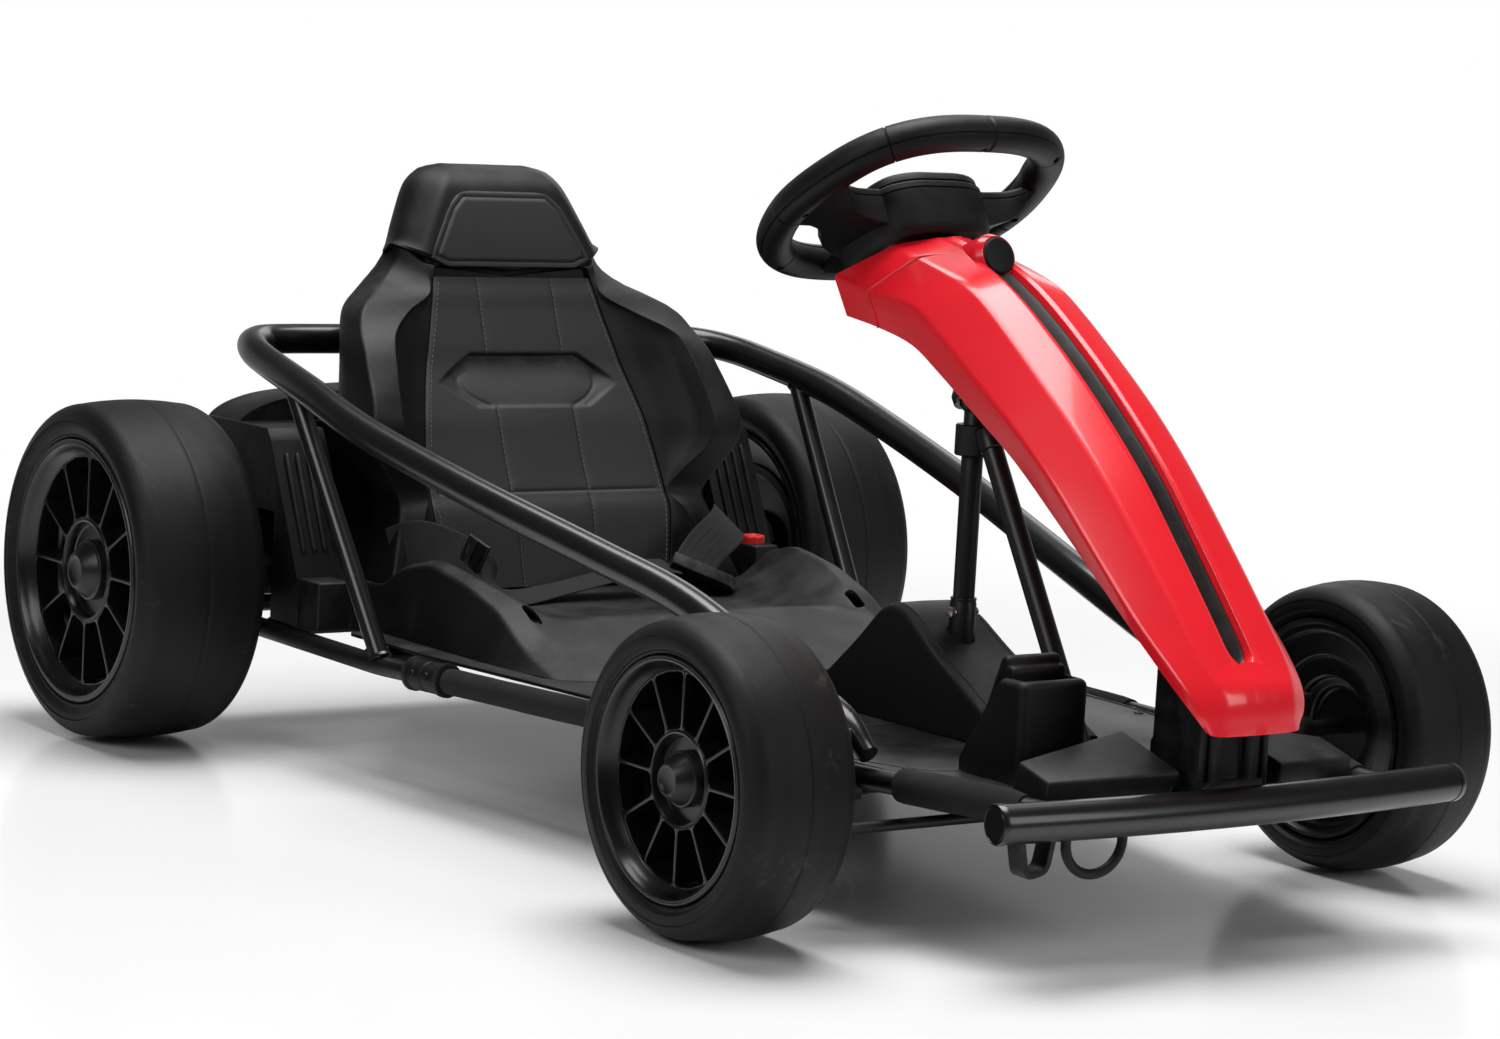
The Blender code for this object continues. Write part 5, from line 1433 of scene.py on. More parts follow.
@dataclass
class LowerFrame(SubAssembly):
    """The welded frame: rails, cross tubes, front yokes, axle plates and battery tray."""

    radius: float = 0.008
    cross_height: float = 0.0977
    crossings: tuple[float, ...] = (-0.162, 0.0, 0.131, SEAT - 0.09, SEAT + 0.075, REAR_TUBE)
    yoke_half: float = 0.030

    def yoke(self, side: int) -> list[Piece]:
        """Return the pieces of one front yoke with its kingpin.

        Args:
            side: 1 for the left side and -1 for the right.

        Returns:
            The yoke's pieces.
        """
        inner, outer = KINGPIN - 0.026, KINGPIN + 0.011
        low, high = HUB_HEIGHT - self.yoke_half, HUB_HEIGHT + self.yoke_half
        rail_x, rail_z = rail_at(0.0)
        boxes = (
            ((inner, -0.020, low), (inner + 0.004, 0.020, high)),
            ((inner, -0.015, low), (outer, 0.015, low + 0.004)),
            ((inner, -0.015, high - 0.004), (outer, 0.015, high)),
            ((rail_x, -0.012, rail_z - 0.015), (inner + 0.002, 0.012, rail_z)),
        )
        pieces = [side_box(side, low_corner, high_corner, 0.0012, 2) for low_corner, high_corner in boxes]
        pin = side * KINGPIN
        pieces.append(cylinder("kingpin", (pin, 0, low - 0.0028), (pin, 0, high + 0.0028), 0.004))
        for start, end in ((high, high + 0.004), (low - 0.004, low)):
            pieces.append(cylinder("nut", (pin, 0, start), (pin, 0, end), 0.0075, sides=6, edge=0.0006))
        return pieces

    def axle_plate(self, side: int) -> Piece:
        """Return the upright plate that carries the rear axle.

        Args:
            side: 1 for the left side and -1 for the right.

        Returns:
            The plate.
        """
        x, z = rail_at(AXLE)
        outline = [(AXLE - 0.024, z), (AXLE + 0.024, z), (AXLE + 0.016, 0.152), (AXLE + 0.009, 0.160),
                   (AXLE - 0.009, 0.160), (AXLE - 0.016, 0.152)]
        return prism("plate", outline, side * x - 0.0025, side * x + 0.0025, 0.0008)

    def build(self) -> None:
        """Model the frame as one welded piece."""
        pieces = [tube("rail", rail_path(RAIL[0][0], RAIL[-1][0], side), self.radius) for _, side in SIDES]
        for y in self.crossings:
            x = rail_at(y)[0]
            pieces.append(tube("cross", [(-x, y, self.cross_height), (x, y, self.cross_height)], self.radius))
            for side in (-1, 1):
                reach = side * (x - self.radius)
                bead = [(reach - side * 0.003, y, self.cross_height), (reach + side * 0.001, y, self.cross_height)]
                pieces.append(tube("weld", bead, self.radius + 0.0012, widths=(0.94, 1.06)))
        for _, side in SIDES:
            pieces += self.yoke(side)
            pieces.append(self.axle_plate(side))
        top = self.cross_height + self.radius
        pieces.append(rounded_box("tray", (-0.100, SEAT + 0.075, top - 0.004), (0.100, REAR_TUBE, top - 0.0005),
                                  0.0012, 2))
        dress(joined("frame_tubes", pieces), SATIN_TUBE, "chassis", "lower_frame")


@dataclass
class Bumper(SubAssembly):
    """The bowed bar across the front, with a plug in each end."""

    half: float = 0.207
    front: float = -0.200
    bow: float = 0.013
    height: float = 0.107
    radius: float = 0.0135

    def place(self, x: float) -> Vector:
        """Return the bar's middle line at an x."""
        return Vector((x, self.front + self.bow * (x / self.half) ** 2, self.height))

    def build(self) -> None:
        """Model the bar and its plugs."""
        path = [self.place(self.half * step / 24) for step in range(-24, 25)]
        pieces = [tube("bar", path, self.radius, sides=40)]
        slope = 2 * self.bow / self.half
        for side in (-1, 1):
            profile = [(0.0, 0.0022), (0.0112, 0.0022), (0.0117, 0.0016), (0.0121, 0.0024), (0.0132, 0.0022),
                       (0.0139, 0.0012), (0.0139, -0.0030), (0.0, -0.0030)]
            pieces.append(turned("plug", profile, self.place(side * self.half), (side, slope, 0), 40))
        dress(joined("bumper_bar", pieces), GLOSS_TUBE, "chassis", "bumper")


@dataclass
class Sleeves(SubAssembly):
    """The foam sleeves on the rails and the cuffs that clamp their ends."""

    cuff_start: float = AXLE - 0.3442
    cuff_end: float = AXLE - 0.2995

    def foam(self, name: str, start: float, end: float, radius: float, front: float, side: int) -> Piece:
        """Return one foam sleeve whose ends draw in.

        Args:
            name: The piece's name.
            start: Where it starts along the kart.
            end: Where it ends.
            radius: Its radius.
            front: The share of the radius at its front end.
            side: 1 for the left side and -1 for the right.

        Returns:
            The piece.
        """
        count = 44
        line = [lerp(start, end, step / count) for step in range(count + 1)]
        places = [on_rail(y, side) for y in line]
        widths = []
        for y in line:
            ends = min(1.0, lerp(front, 1.0, (y - start) / 0.014), lerp(0.93, 1.0, (end - y) / 0.004))
            widths.append(ends + 0.010 * math.sin(y * 61) + 0.006 * math.sin(y * 143 + 1))
        return tube(name, places, radius, 32, widths=widths)

    def cuff(self, side: int) -> Piece:
        """Return one clamping cuff with its lips and screws.

        Args:
            side: 1 for the left side and -1 for the right.

        Returns:
            The cuff.
        """
        places, widths = [], []
        steps = ((0.0, 0.90), (0.02, 1.06), (0.10, 1.06), (0.12, 0.96), (0.47, 0.96), (0.49, 0.90), (0.51, 0.90),
                 (0.53, 0.96), (0.88, 0.96), (0.90, 1.06), (0.98, 1.06), (1.0, 0.90))
        for share, width in steps:
            places.append(on_rail(lerp(self.cuff_start, self.cuff_end, share), side))
            widths.append(width)
        pieces = [tube("cuff", places, 0.0128, 32, widths=widths)]
        for share in (0.30, 0.70):
            y = lerp(self.cuff_start, self.cuff_end, share)
            x, z = rail_at(y)
            pieces.append(cylinder("screw", (side * (x + 0.010), y, z + 0.002), (side * (x + 0.0135), y, z + 0.0026),
                                   0.0032, sides=20, edge=0.0006))
        return joined("cuff", pieces)

    def build(self) -> None:
        """Model the sleeves and cuffs of both sides."""
        for word, side in SIDES:
            long = self.foam("side_foam_" + word, 0.145, AXLE - 0.3447, 0.0103, 0.92, side)
            dress(long, FOAM, "chassis", "side_sleeve_" + word)
            short = self.foam("front_foam_" + word, -0.150, -0.046, 0.0123, 0.80, side)
            dress(short, FOAM, "chassis", "front_sleeve_" + word)
            cuff = self.cuff(side)
            cuff.name = "rail_cuff_" + word
            dress(cuff, PLASTIC, "chassis", "saddle_" + word)


@dataclass
class FloorPan(SubAssembly):
    """The flat floor between the rails, with a raised bead near its edge."""

    inset: float = 0.0145
    thickness: float = 0.003

    def outline(self, inset: float) -> list[Pair]:
        """Return the floor's outline drawn in from the rails."""
        stations = (-0.168, -0.030, 0.145, AXLE - 0.2945, AXLE - 0.1745)
        return flat_points(eased(both_halves([(rail_at(y)[0] - inset, y) for y in stations]), 0.008))

    def build(self) -> None:
        """Model the pan with its column hole, its bead and its screws."""
        pan = flat_shape("pan", [self.outline(self.inset)], self.thickness, 0.0008)
        moved(pan, Matrix.Translation(at((0, 0, FLOOR - self.thickness / 2))))
        pan = cut(pan, cylinder("hole", (0, 0.113, 0.10), (0, 0.113, 0.12), 0.0088, sides=48))
        pieces = [pan]
        bead = [(-0.135, -0.040), (0.135, -0.040), (0.165, 0.020), (0.182, 0.135), (0.186, 0.300), (-0.186, 0.300),
                (-0.182, 0.135), (-0.165, 0.020)]
        line = [Vector((x, y, FLOOR - 0.0004)) for x, y in eased(bead, 0.03, steps=8)]
        pieces.append(tube("bead", line, 0.0013, 12, closed=True))
        for x, y in ((0.150, -0.020), (0.168, 0.100), (0.175, 0.250)):
            for side in (-1, 1):
                place = (side * x, y, FLOOR - 0.001)
                profile = [(0.0, 0.0016), (0.0010, 0.0016), (0.0014, 0.0024), (0.0032, 0.0022), (0.0042, 0.0006),
                           (0.0, 0.0)]
                pieces.append(turned("screw", profile, place, (0, 0, 1), 20))
        dress(joined("floor_plate", pieces), SATIN_PLASTIC, "chassis", "floor_pan")


# Hoop and struts


@dataclass
class Hoop(SubAssembly):
    """The one-piece hoop round the seat and the struts that carry it."""

    radius: float = 0.0127
    strut_radius: float = 0.008
    half: tuple[Place, ...] = (
        (0.182, -0.017, 0.1205), (0.184, 0.013, 0.139), (0.188, 0.100, 0.165), (0.193, 0.195, 0.196),
        (0.210, AXLE - 0.5135, 0.217), (0.238, AXLE - 0.3805, 0.248), (0.257, AXLE - 0.2485, 0.279),
        (0.258, AXLE - 0.1595, 0.302), (0.251, AXLE - 0.0745, 0.318), (0.243, AXLE - 0.0345, 0.325),
        (0.226, AXLE - 0.0055, 0.329), (0.195, AXLE + 0.0085, 0.330), (0.100, AXLE + 0.0085, 0.330),
    )

    def build(self) -> None:
        """Model the hoop, its feet and the two struts."""
        half = spline(self.half, 6)
        path = half + [Vector((-p.x, p.y, p.z)) for p in reversed(half)]
        widths = [1.0] * len(path)
        for index, share in enumerate((0.58, 0.60, 0.63, 0.68, 0.76, 0.86, 0.94)):
            widths[index] = widths[-1 - index] = share
        dress(tube("hoop_tube", path, self.radius, 40, widths=widths), GLOSS_TUBE, "chassis", "side_hoop")
        for word, side in SIDES:
            low = on_rail(AXLE - 0.2580, side)
            high = Vector((side * 0.2545, AXLE - 0.1185, 0.3105))
            along = (high - low).normalized()
            low, high = low + along * 0.006, high - along * 0.009
            pieces = [tube("strut", [low, high], self.strut_radius, 32)]
            for start, way in ((low, 1), (high, -1)):
                bead = [start + along * way * 0.0010, start + along * way * 0.0035]
                pieces.append(tube("weld", bead, self.strut_radius + 0.0012, 32, widths=(1.06, 0.94)))
            dress(joined("strut_tube_" + word, pieces), GLOSS_TUBE, "chassis", "strut_" + word)


# Steering


COLUMN_Y = 0.113
JOINT_HEIGHT = 0.349


@dataclass
class Linkage(SubAssembly):
    """The steering column, the knuckles and the tie bar that joins them."""

    arm: float = 0.045
    crank: float = 0.030
    bar_height: float = 0.077

    def build_column(self) -> None:
        """Model the column with its sleeve, bolts, ball, crank and pin."""
        y, foot = COLUMN_Y, self.bar_height + 0.006
        pin_y = y - self.crank
        sleeve = [(0.0079, 0.0), (0.0096, 0.0), (0.0098, 0.001), (0.0098, 0.034), (0.0094, 0.0350), (0.0094, 0.0365),
                  (0.0098, 0.0370), (0.0096, 0.038), (0.0079, 0.038)]
        pieces = [
            cylinder("column", (0, y, foot), (0, y, JOINT_HEIGHT), 0.008, sides=40, edge=0.0005),
            turned("sleeve", sleeve, (0, y, 0.165), (0, 0, 1), 40, closed=True),
            rounded_box("crank", (-0.006, pin_y - 0.006, foot), (0.006, y, foot + 0.004), 0.0014),
            cylinder("pin", (0, pin_y, 0.073), (0, pin_y, foot + 0.002), 0.0035, edge=0.0004),
        ]
        place = at((0, y, JOINT_HEIGHT))
        bpy.ops.mesh.primitive_uv_sphere_add(segments=32, ring_count=20, radius=0.012, location=place)
        pieces.append(named("ball"))
        settle(pieces[-1])
        dress(joined("column_tube", [smooth(piece) for piece in pieces]), SATIN_TUBE, "column", "steering_column")
        for side in (-1, 1):
            head = [(0.0, 0.0028), (0.0012, 0.0028), (0.0014, 0.0034), (0.0034, 0.0030), (0.0044, 0.0012),
                    (0.0046, 0.0), (0.0, 0.0)]
            bolt = turned("bolt", head, (side * 0.0096, y, 0.192), (side, 0, 0), 28)
            bolt.name = "column_bolt_" + ("left" if side > 0 else "right")
            dress(bolt, STEEL, "column")

    def build_knuckle(self, word: str, side: int) -> None:
        """Model one front knuckle with its stub axle and steering arm.

        Args:
            word: The side's name.
            side: 1 for the left side and -1 for the right.
        """
        pin, z = side * KINGPIN, HUB_HEIGHT
        low, high = z - 0.0255, z + 0.0255
        top = low + 0.007
        stub = side * (Layout.centre("rim_front_left").x + 0.0225)
        barrel = [(0.0045, low), (0.0094, low), (0.0100, low + 0.0006), (0.0100, high - 0.0006), (0.0094, high),
                  (0.0045, high)]
        eye = [(0.0046, low), (0.0074, low), (0.0080, low + 0.0006), (0.0080, top + 0.0024), (0.0074, top + 0.003),
               (0.0046, top + 0.003)]
        pieces = [
            turned("barrel", barrel, (pin, 0, 0), (0, 0, 1), 36, closed=True),
            turned("eye", eye, (pin, -self.arm, 0), (0, 0, 1), 32, closed=True),
            cylinder("stub", (pin + side * 0.008, 0, z), (stub, 0, z), 0.006, edge=0.0008, sides=32),
            cylinder("shoulder", (pin + side * 0.006, 0, z), (pin + side * 0.024, 0, z), 0.009, edge=0.0012, sides=32),
            rounded_box("arm", (pin - 0.006, -self.arm + 0.004, low), (pin + 0.006, -0.006, top), 0.0012),
        ]
        dress(joined("knuckle_body_" + word, pieces), SATIN_TUBE, "knuckle_" + word, "knuckle_" + word)

    def build_tie_bar(self) -> None:
        """Model the bar between the steering arms, its eyes and the column's fork."""
        low, z, y = 0.084, self.bar_height, -self.arm
        pin_y = COLUMN_Y - self.crank
        pieces = [cylinder("bar", (-KINGPIN, y, z), (KINGPIN, y, z), 0.004, sides=28)]
        for side in (-1, 1):
            profile = [(0.0, z - 0.006), (0.0069, z - 0.006), (0.0075, z - 0.0054), (0.0075, low - 0.0006),
                       (0.0069, low), (0.0, low)]
            pieces.append(turned("eye", profile, (side * KINGPIN, y, 0), (0, 0, 1), 32))
            pieces.append(cylinder("nut", (side * KINGPIN, y, z - 0.0095), (side * KINGPIN, y, z - 0.006),
                                   0.005, sides=6, edge=0.0005))
        stem = rounded_box("stem", (-0.010, y, z - 0.002), (0.010, pin_y + 0.009, z + 0.002), 0.0009)
        fork = rounded_box("fork", (-0.004, pin_y - 0.005, z - 0.01), (0.004, pin_y + 0.02, z + 0.01), 0.001)
        pieces.append(cut(stem, fork))
        dress(joined("tie_rod", pieces), SATIN_TUBE, "tie_bar", "tie_bar")

    def build_stay(self) -> None:
        """Model the rod in front of the column and the bracket that joins their heads."""
        top, knee, foot = Vector((0, 0.090, 0.314)), Vector((0, 0.002, 0.166)), Vector((0, -0.030, ON_FLOOR))
        along = (top - knee).normalized()
        bent = eased([foot + Vector((0, -0.001, 0.001)), knee, top], 0.014, closed=False)
        pieces = [tube("stay", bent, 0.008, 36),
                  rounded_box("foot", (-0.016, -0.043, foot.z), (0.016, -0.019, foot.z + 0.003), 0.0010)]
        dress(joined("stay_rod", pieces), SATIN_TUBE, "chassis", "stay_tube")
        clamp_low, clamp_high = 0.308, 0.331
        ring = [(0.0085, clamp_low), (0.0125, clamp_low), (0.0135, clamp_low + 0.001), (0.0135, clamp_high - 0.001),
                (0.0125, clamp_high), (0.0085, clamp_high)]
        start = top + along * 0.0003
        socket = [(0.0, 0.0), (0.0088, 0.0), (0.0095, 0.0008), (0.0095, 0.0150), (0.0088, 0.0160), (0.0, 0.0160)]
        pieces = [turned("clamp", ring, (0, COLUMN_Y, 0), (0, 0, 1), 40, closed=True),
                  turned("socket", socket, start, along, 36)]
        dress(joined("column_clamp", pieces), SATIN_TUBE, "chassis", "column_bracket")

    def build(self) -> None:
        """Model the whole linkage."""
        self.build_column()
        for word, side in SIDES:
            self.build_knuckle(word, side)
        self.build_tie_bar()
        self.build_stay()


# Steering wheel


@dataclass
class SteeringWheel(SubAssembly):
    """The wheel, its hub block and lid, and the shaft under it.

    Its pieces are laid out in the wheel's own plane: x across, y up and z towards the driver.
    """

    half_width: float = 0.097
    half_height: float = 0.0976
    radius: float = 0.0135
    tilt: float = math.radians(33.0)
    shaft: float = 0.167
    depth: float = 0.045
    front: float = -0.0045
    seam_height: float = -0.0110
    seams: Pair = (153.0, 333.0)
    joints: tuple[float, ...] = (47.0, 90.0, 133.0, 186.0, 231.0, 309.0, 354.0)
    screws: tuple[Pair, ...] = ((0.099, -0.004), (0.004, 0.0965), (-0.074, 0.0840), (-0.099, -0.004), (0.070, -0.084))

    @property
    def matrix(self) -> Matrix:
        """Return the move from the front axle's places to the wheel's plane.

        Returns:
            The move.
        """
        turn = Matrix.Rotation(math.pi, 4, "Z") @ Matrix.Rotation(self.tilt, 4, "X")
        middle = Vector((0, COLUMN_Y, JOINT_HEIGHT)) + turn.to_3x3() @ Vector((0, 0, self.shaft))
        return Matrix.Translation(at(middle)) @ turn @ Matrix.Translation(-at((0, 0, 0)))

    def outline(self, turns: Sequence[float]) -> list[Vector]:
        """Return the rim's middle line, a rounded square with fuller grips.

        Args:
            turns: The angles of its points in degrees.

        Returns:
            The line's points.
        """
        power = 2 / 2.7
        points = []
        for turn in turns:
            c, s = math.cos(math.radians(turn)), math.sin(math.radians(turn))
            y = math.copysign(abs(s) ** power, s) * self.half_height
            grip = 0.005 * math.exp(-((y + 0.004) / 0.034) ** 2)
            x = math.copysign(abs(c) ** power * (self.half_width + grip), c)
            points.append(Vector((x, y, 0.0)))
        return points

    def rim_section(self) -> list[Pair]:
        """Return the rim's section, round with a fine groove on each side where its shells meet.

        Returns:
            The section's points.
        """
        angles = [(angle, 0.0) for angle in range(0, 360, 9)]
        section = [(angle, dip) for angle, dip in angles if min(abs(angle - seam) for seam in self.seams) > 5]
        for seam in self.seams:
            section += [(seam - 4.5, 0.0), (seam - 1.2, 0.0011), (seam + 1.2, 0.0011), (seam + 4.5, 0.0)]
        points = []
        for angle, dip in sorted(section):
            turn = math.radians(angle)
            points.append(((self.radius - dip) * math.cos(turn), (self.radius - dip) * math.sin(turn)))
        return points

    def build_rim(self) -> Piece:
        """Return the rim with its shell seams, its cross seams and its screw wells.

        Returns:
            The rim.
        """
        places = [(turn, 1.0) for turn in self.spread_turns()]
        for joint in self.joints:
            steps = ((-0.38, 1.0), (-0.12, 0.925), (0.12, 0.925), (0.38, 1.0))
            places += [(joint + step, share) for step, share in steps]
        places.sort()
        path = self.outline([turn for turn, _ in places])
        section = self.rim_section()
        rows = []
        for index, place in enumerate(path):
            along = (path[(index + 1) % len(path)] - path[index - 1]).normalized()
            across = along.cross(Vector((0, 0, 1))).normalized()
            thumb = 1.0 + 0.16 * math.exp(-((place.y - 0.046) / 0.012) ** 2)
            share = places[index][1]
            row = []
            for a, b in section:
                wide = a * share * (thumb if a < 0 else 1.0)
                row.append(place + across * wide + Vector((0, 0, b * share)))
            rows.append(row)
        rim = grid("rim", rows + [rows[0]], ring=True)
        wells = [cylinder("well", (x, y, -0.0200), (x, y, -0.0085), 0.0027, sides=20) for x, y in self.screws]
        return smooth(cut(rim, *wells))

    def spread_turns(self) -> list[float]:
        """Return the rim's plain angles, clear of its cross seams."""
        turns = [index * 2.5 for index in range(144)]
        return [turn for turn in turns if min(abs((turn - joint + 180) % 360 - 180) for joint in self.joints) > 0.6]

    def wing(self, side: int) -> Piece:
        """Return the wing from the hub to the rim on one side, with the shells' seam along its top.

        Args:
            side: 1 for the left side and -1 for the right.

        Returns:
            The wing.
        """
        stations = (
            (0.034, 0.0235, -0.054, -0.036, -0.024), (0.046, 0.0238, -0.052, -0.034, -0.022),
            (0.058, 0.0240, -0.046, -0.031, -0.019), (0.068, 0.0248, -0.031, -0.029, -0.015),
            (0.076, 0.0272, -0.0262, -0.026, -0.013), (0.083, 0.0325, -0.0245, -0.019, -0.012),
            (0.089, 0.0400, -0.0262, -0.013, -0.011), (0.096, 0.0480, -0.0300, -0.008, -0.008),
        )
        seam, front = self.seam_height, self.front
        rows = []
        for x, top, low, top_back, low_back in stations:
            line = seam if top_back < seam - 0.003 else (front + top_back) / 2
            corners = [(top, front), (top, line + 0.0008), (top - 0.0009, line + 0.0003), (top - 0.0009, line - 0.0003),
                       (top, line - 0.0008), (top - 0.002, top_back), (low + 0.002, low_back), (low, front)]
            reaches = (0.0025, 0.0002, 0.0001, 0.0001, 0.0002, 0.0020, 0.0030, 0.0030)
            rows.append([(side * x, p.x, p.y) for p in eased(corners, reaches)])
        return grid("wing", rows, ring=True, caps=True)

    def foot(self) -> Piece:
        """Return the spoke from the hub down to the rim.

        Returns:
            The spoke.
        """
        rows = []
        for y, half, back in ((-0.046, 0.038, -0.030), (-0.062, 0.030, -0.026), (-0.078, 0.026, -0.020),
                              (-0.094, 0.026, -0.011)):
            corners = [(-half, self.front), (half, self.front), (half - 0.002, back), (-half + 0.002, back)]
            rows.append([(p.x, y, p.y) for p in eased(corners, 0.003)])
        return grid("foot", rows, ring=True, caps=True)

    def plate(self, half: Sequence[Pair]) -> list[Pair]:
        """Return a plate's rounded outline from its half."""
        return flat_points(eased(both_halves(half), 0.012, steps=6))

    def build_block(self) -> list[Piece]:
        """Return the hub block, its wings and its foot.

        Returns:
            The pieces.
        """
        seam, front = self.seam_height, self.front
        hub = self.plate([(0.024, 0.0395), (0.044, 0.0310), (0.052, 0.0120), (0.050, -0.040), (0.036, -0.056)])
        levels = ((front, 0.003), (front - 0.0006, 0.0012), (front - 0.002, 0.0001), (seam + 0.0008, 0.0),
                  (seam + 0.0003, 0.0009), (seam - 0.0003, 0.0009), (seam - 0.0008, 0.0), (-0.036, 0.0015),
                  (1.5 * seam - 0.0255, 0.0040), (-self.depth, 0.0075))
        return [stacked("block", hub, levels), self.wing(-1), self.wing(1), self.foot()]

    def build(self) -> None:
        """Model the wheel, its lid, its collar and its shaft."""
        wheel = joined("steering_rim", [self.build_rim(), *self.build_block()])
        dress(moved(wheel, self.matrix), PLASTIC, "steering_wheel", "steering_wheel")
        lid = self.plate([(0.023, 0.0385), (0.042, 0.0305), (0.050, 0.0125), (0.048, -0.038), (0.034, -0.054)])
        low = self.front + 0.0006
        levels = ((low, 0.0006), (low + 0.0003, 0.0), (0.0004, 0.0002), (0.0022, 0.0012), (0.0034, 0.0032),
                  (0.0040, 0.0065), (0.0042, 0.0120))
        dress(moved(stacked("hub_lid", lid, levels), self.matrix), PLASTIC, "steering_wheel", "wheel_hub_pad")
        low = -self.depth - 0.022
        collar = [(0.0085, -self.depth), (0.0250, -self.depth), (0.0262, -self.depth - 0.001),
                  (0.0250, -self.depth - 0.006), (0.0180, low + 0.001), (0.0170, low), (0.0085, low)]
        ring = turned("hub_collar", collar, (0, 0, 0), (0, 0, 1), 56, closed=True)
        dress(moved(ring, self.matrix), PLASTIC, "steering_wheel", "wheel_collar")
        ball = -self.shaft
        cup = [(0.0, -self.depth), (0.008, -self.depth), (0.008, ball + 0.0205), (0.0105, ball + 0.0180),
               (0.0160, ball + 0.008), (0.0165, ball + 0.007), (0.0165, ball + 0.001), (0.0160, ball), (0.0126, ball)]
        for angle in range(10, 90, 10):
            turn = math.radians(angle)
            cup.append((0.0125 * math.cos(turn), ball + 0.0125 * math.sin(turn)))
        cup.append((0.0, ball + 0.0125))
        shaft = turned("shaft_cup", cup, (0, 0, 0), (0, 0, 1), 48)
        dress(moved(shaft, self.matrix), GLOSS_TUBE, "steering_wheel", "upper_shaft")


# Nose


NOSE: tuple[tuple[Pair, Place, Place, Place], ...] = (
    ((0.146, 0.466), (0.040, 0.168, 0.458), (0.066, 0.206, 0.432), (0.064, 0.190, 0.4035)),
    ((0.112, 0.458), (0.044, 0.136, 0.451), (0.067, 0.164, 0.4235), (0.063, 0.152, 0.398)),
    ((0.082, 0.445), (0.043, 0.082, 0.437), (0.066, 0.115, 0.419), (0.062, 0.114, 0.389)),
    ((0.047, 0.426), (0.043, 0.049, 0.419), (0.065, 0.080, 0.3995), (0.062, 0.081, 0.372)),
    ((0.000, 0.394), (0.044, 0.002, 0.385), (0.065, 0.032, 0.3685), (0.062, 0.030, 0.342)),
    ((-0.040, 0.362), (0.044, -0.039, 0.353), (0.065, -0.006, 0.344), (0.062, -0.010, 0.318)),
    ((-0.087, 0.320), (0.043, -0.080, 0.316), (0.065, -0.051, 0.311), (0.062, -0.056, 0.2845)),
    ((-0.125, 0.278), (0.041, -0.125, 0.271), (0.063, -0.100, 0.266), (0.061, -0.103, 0.248)),
    ((-0.160, 0.238), (0.039, -0.164, 0.230), (0.060, -0.140, 0.229), (0.059, -0.143, 0.216)),
    ((-0.188, 0.205), (0.037, -0.190, 0.201), (0.056, -0.175, 0.200), (0.055, -0.175, 0.189)),
    ((-0.207, 0.184), (0.030, -0.206, 0.182), (0.050, -0.196, 0.179), (0.050, -0.196, 0.170)),
    ((-0.209, 0.157), (0.032, -0.207, 0.157), (0.040, -0.2035, 0.1575), (0.0415, -0.199, 0.1595)),
)


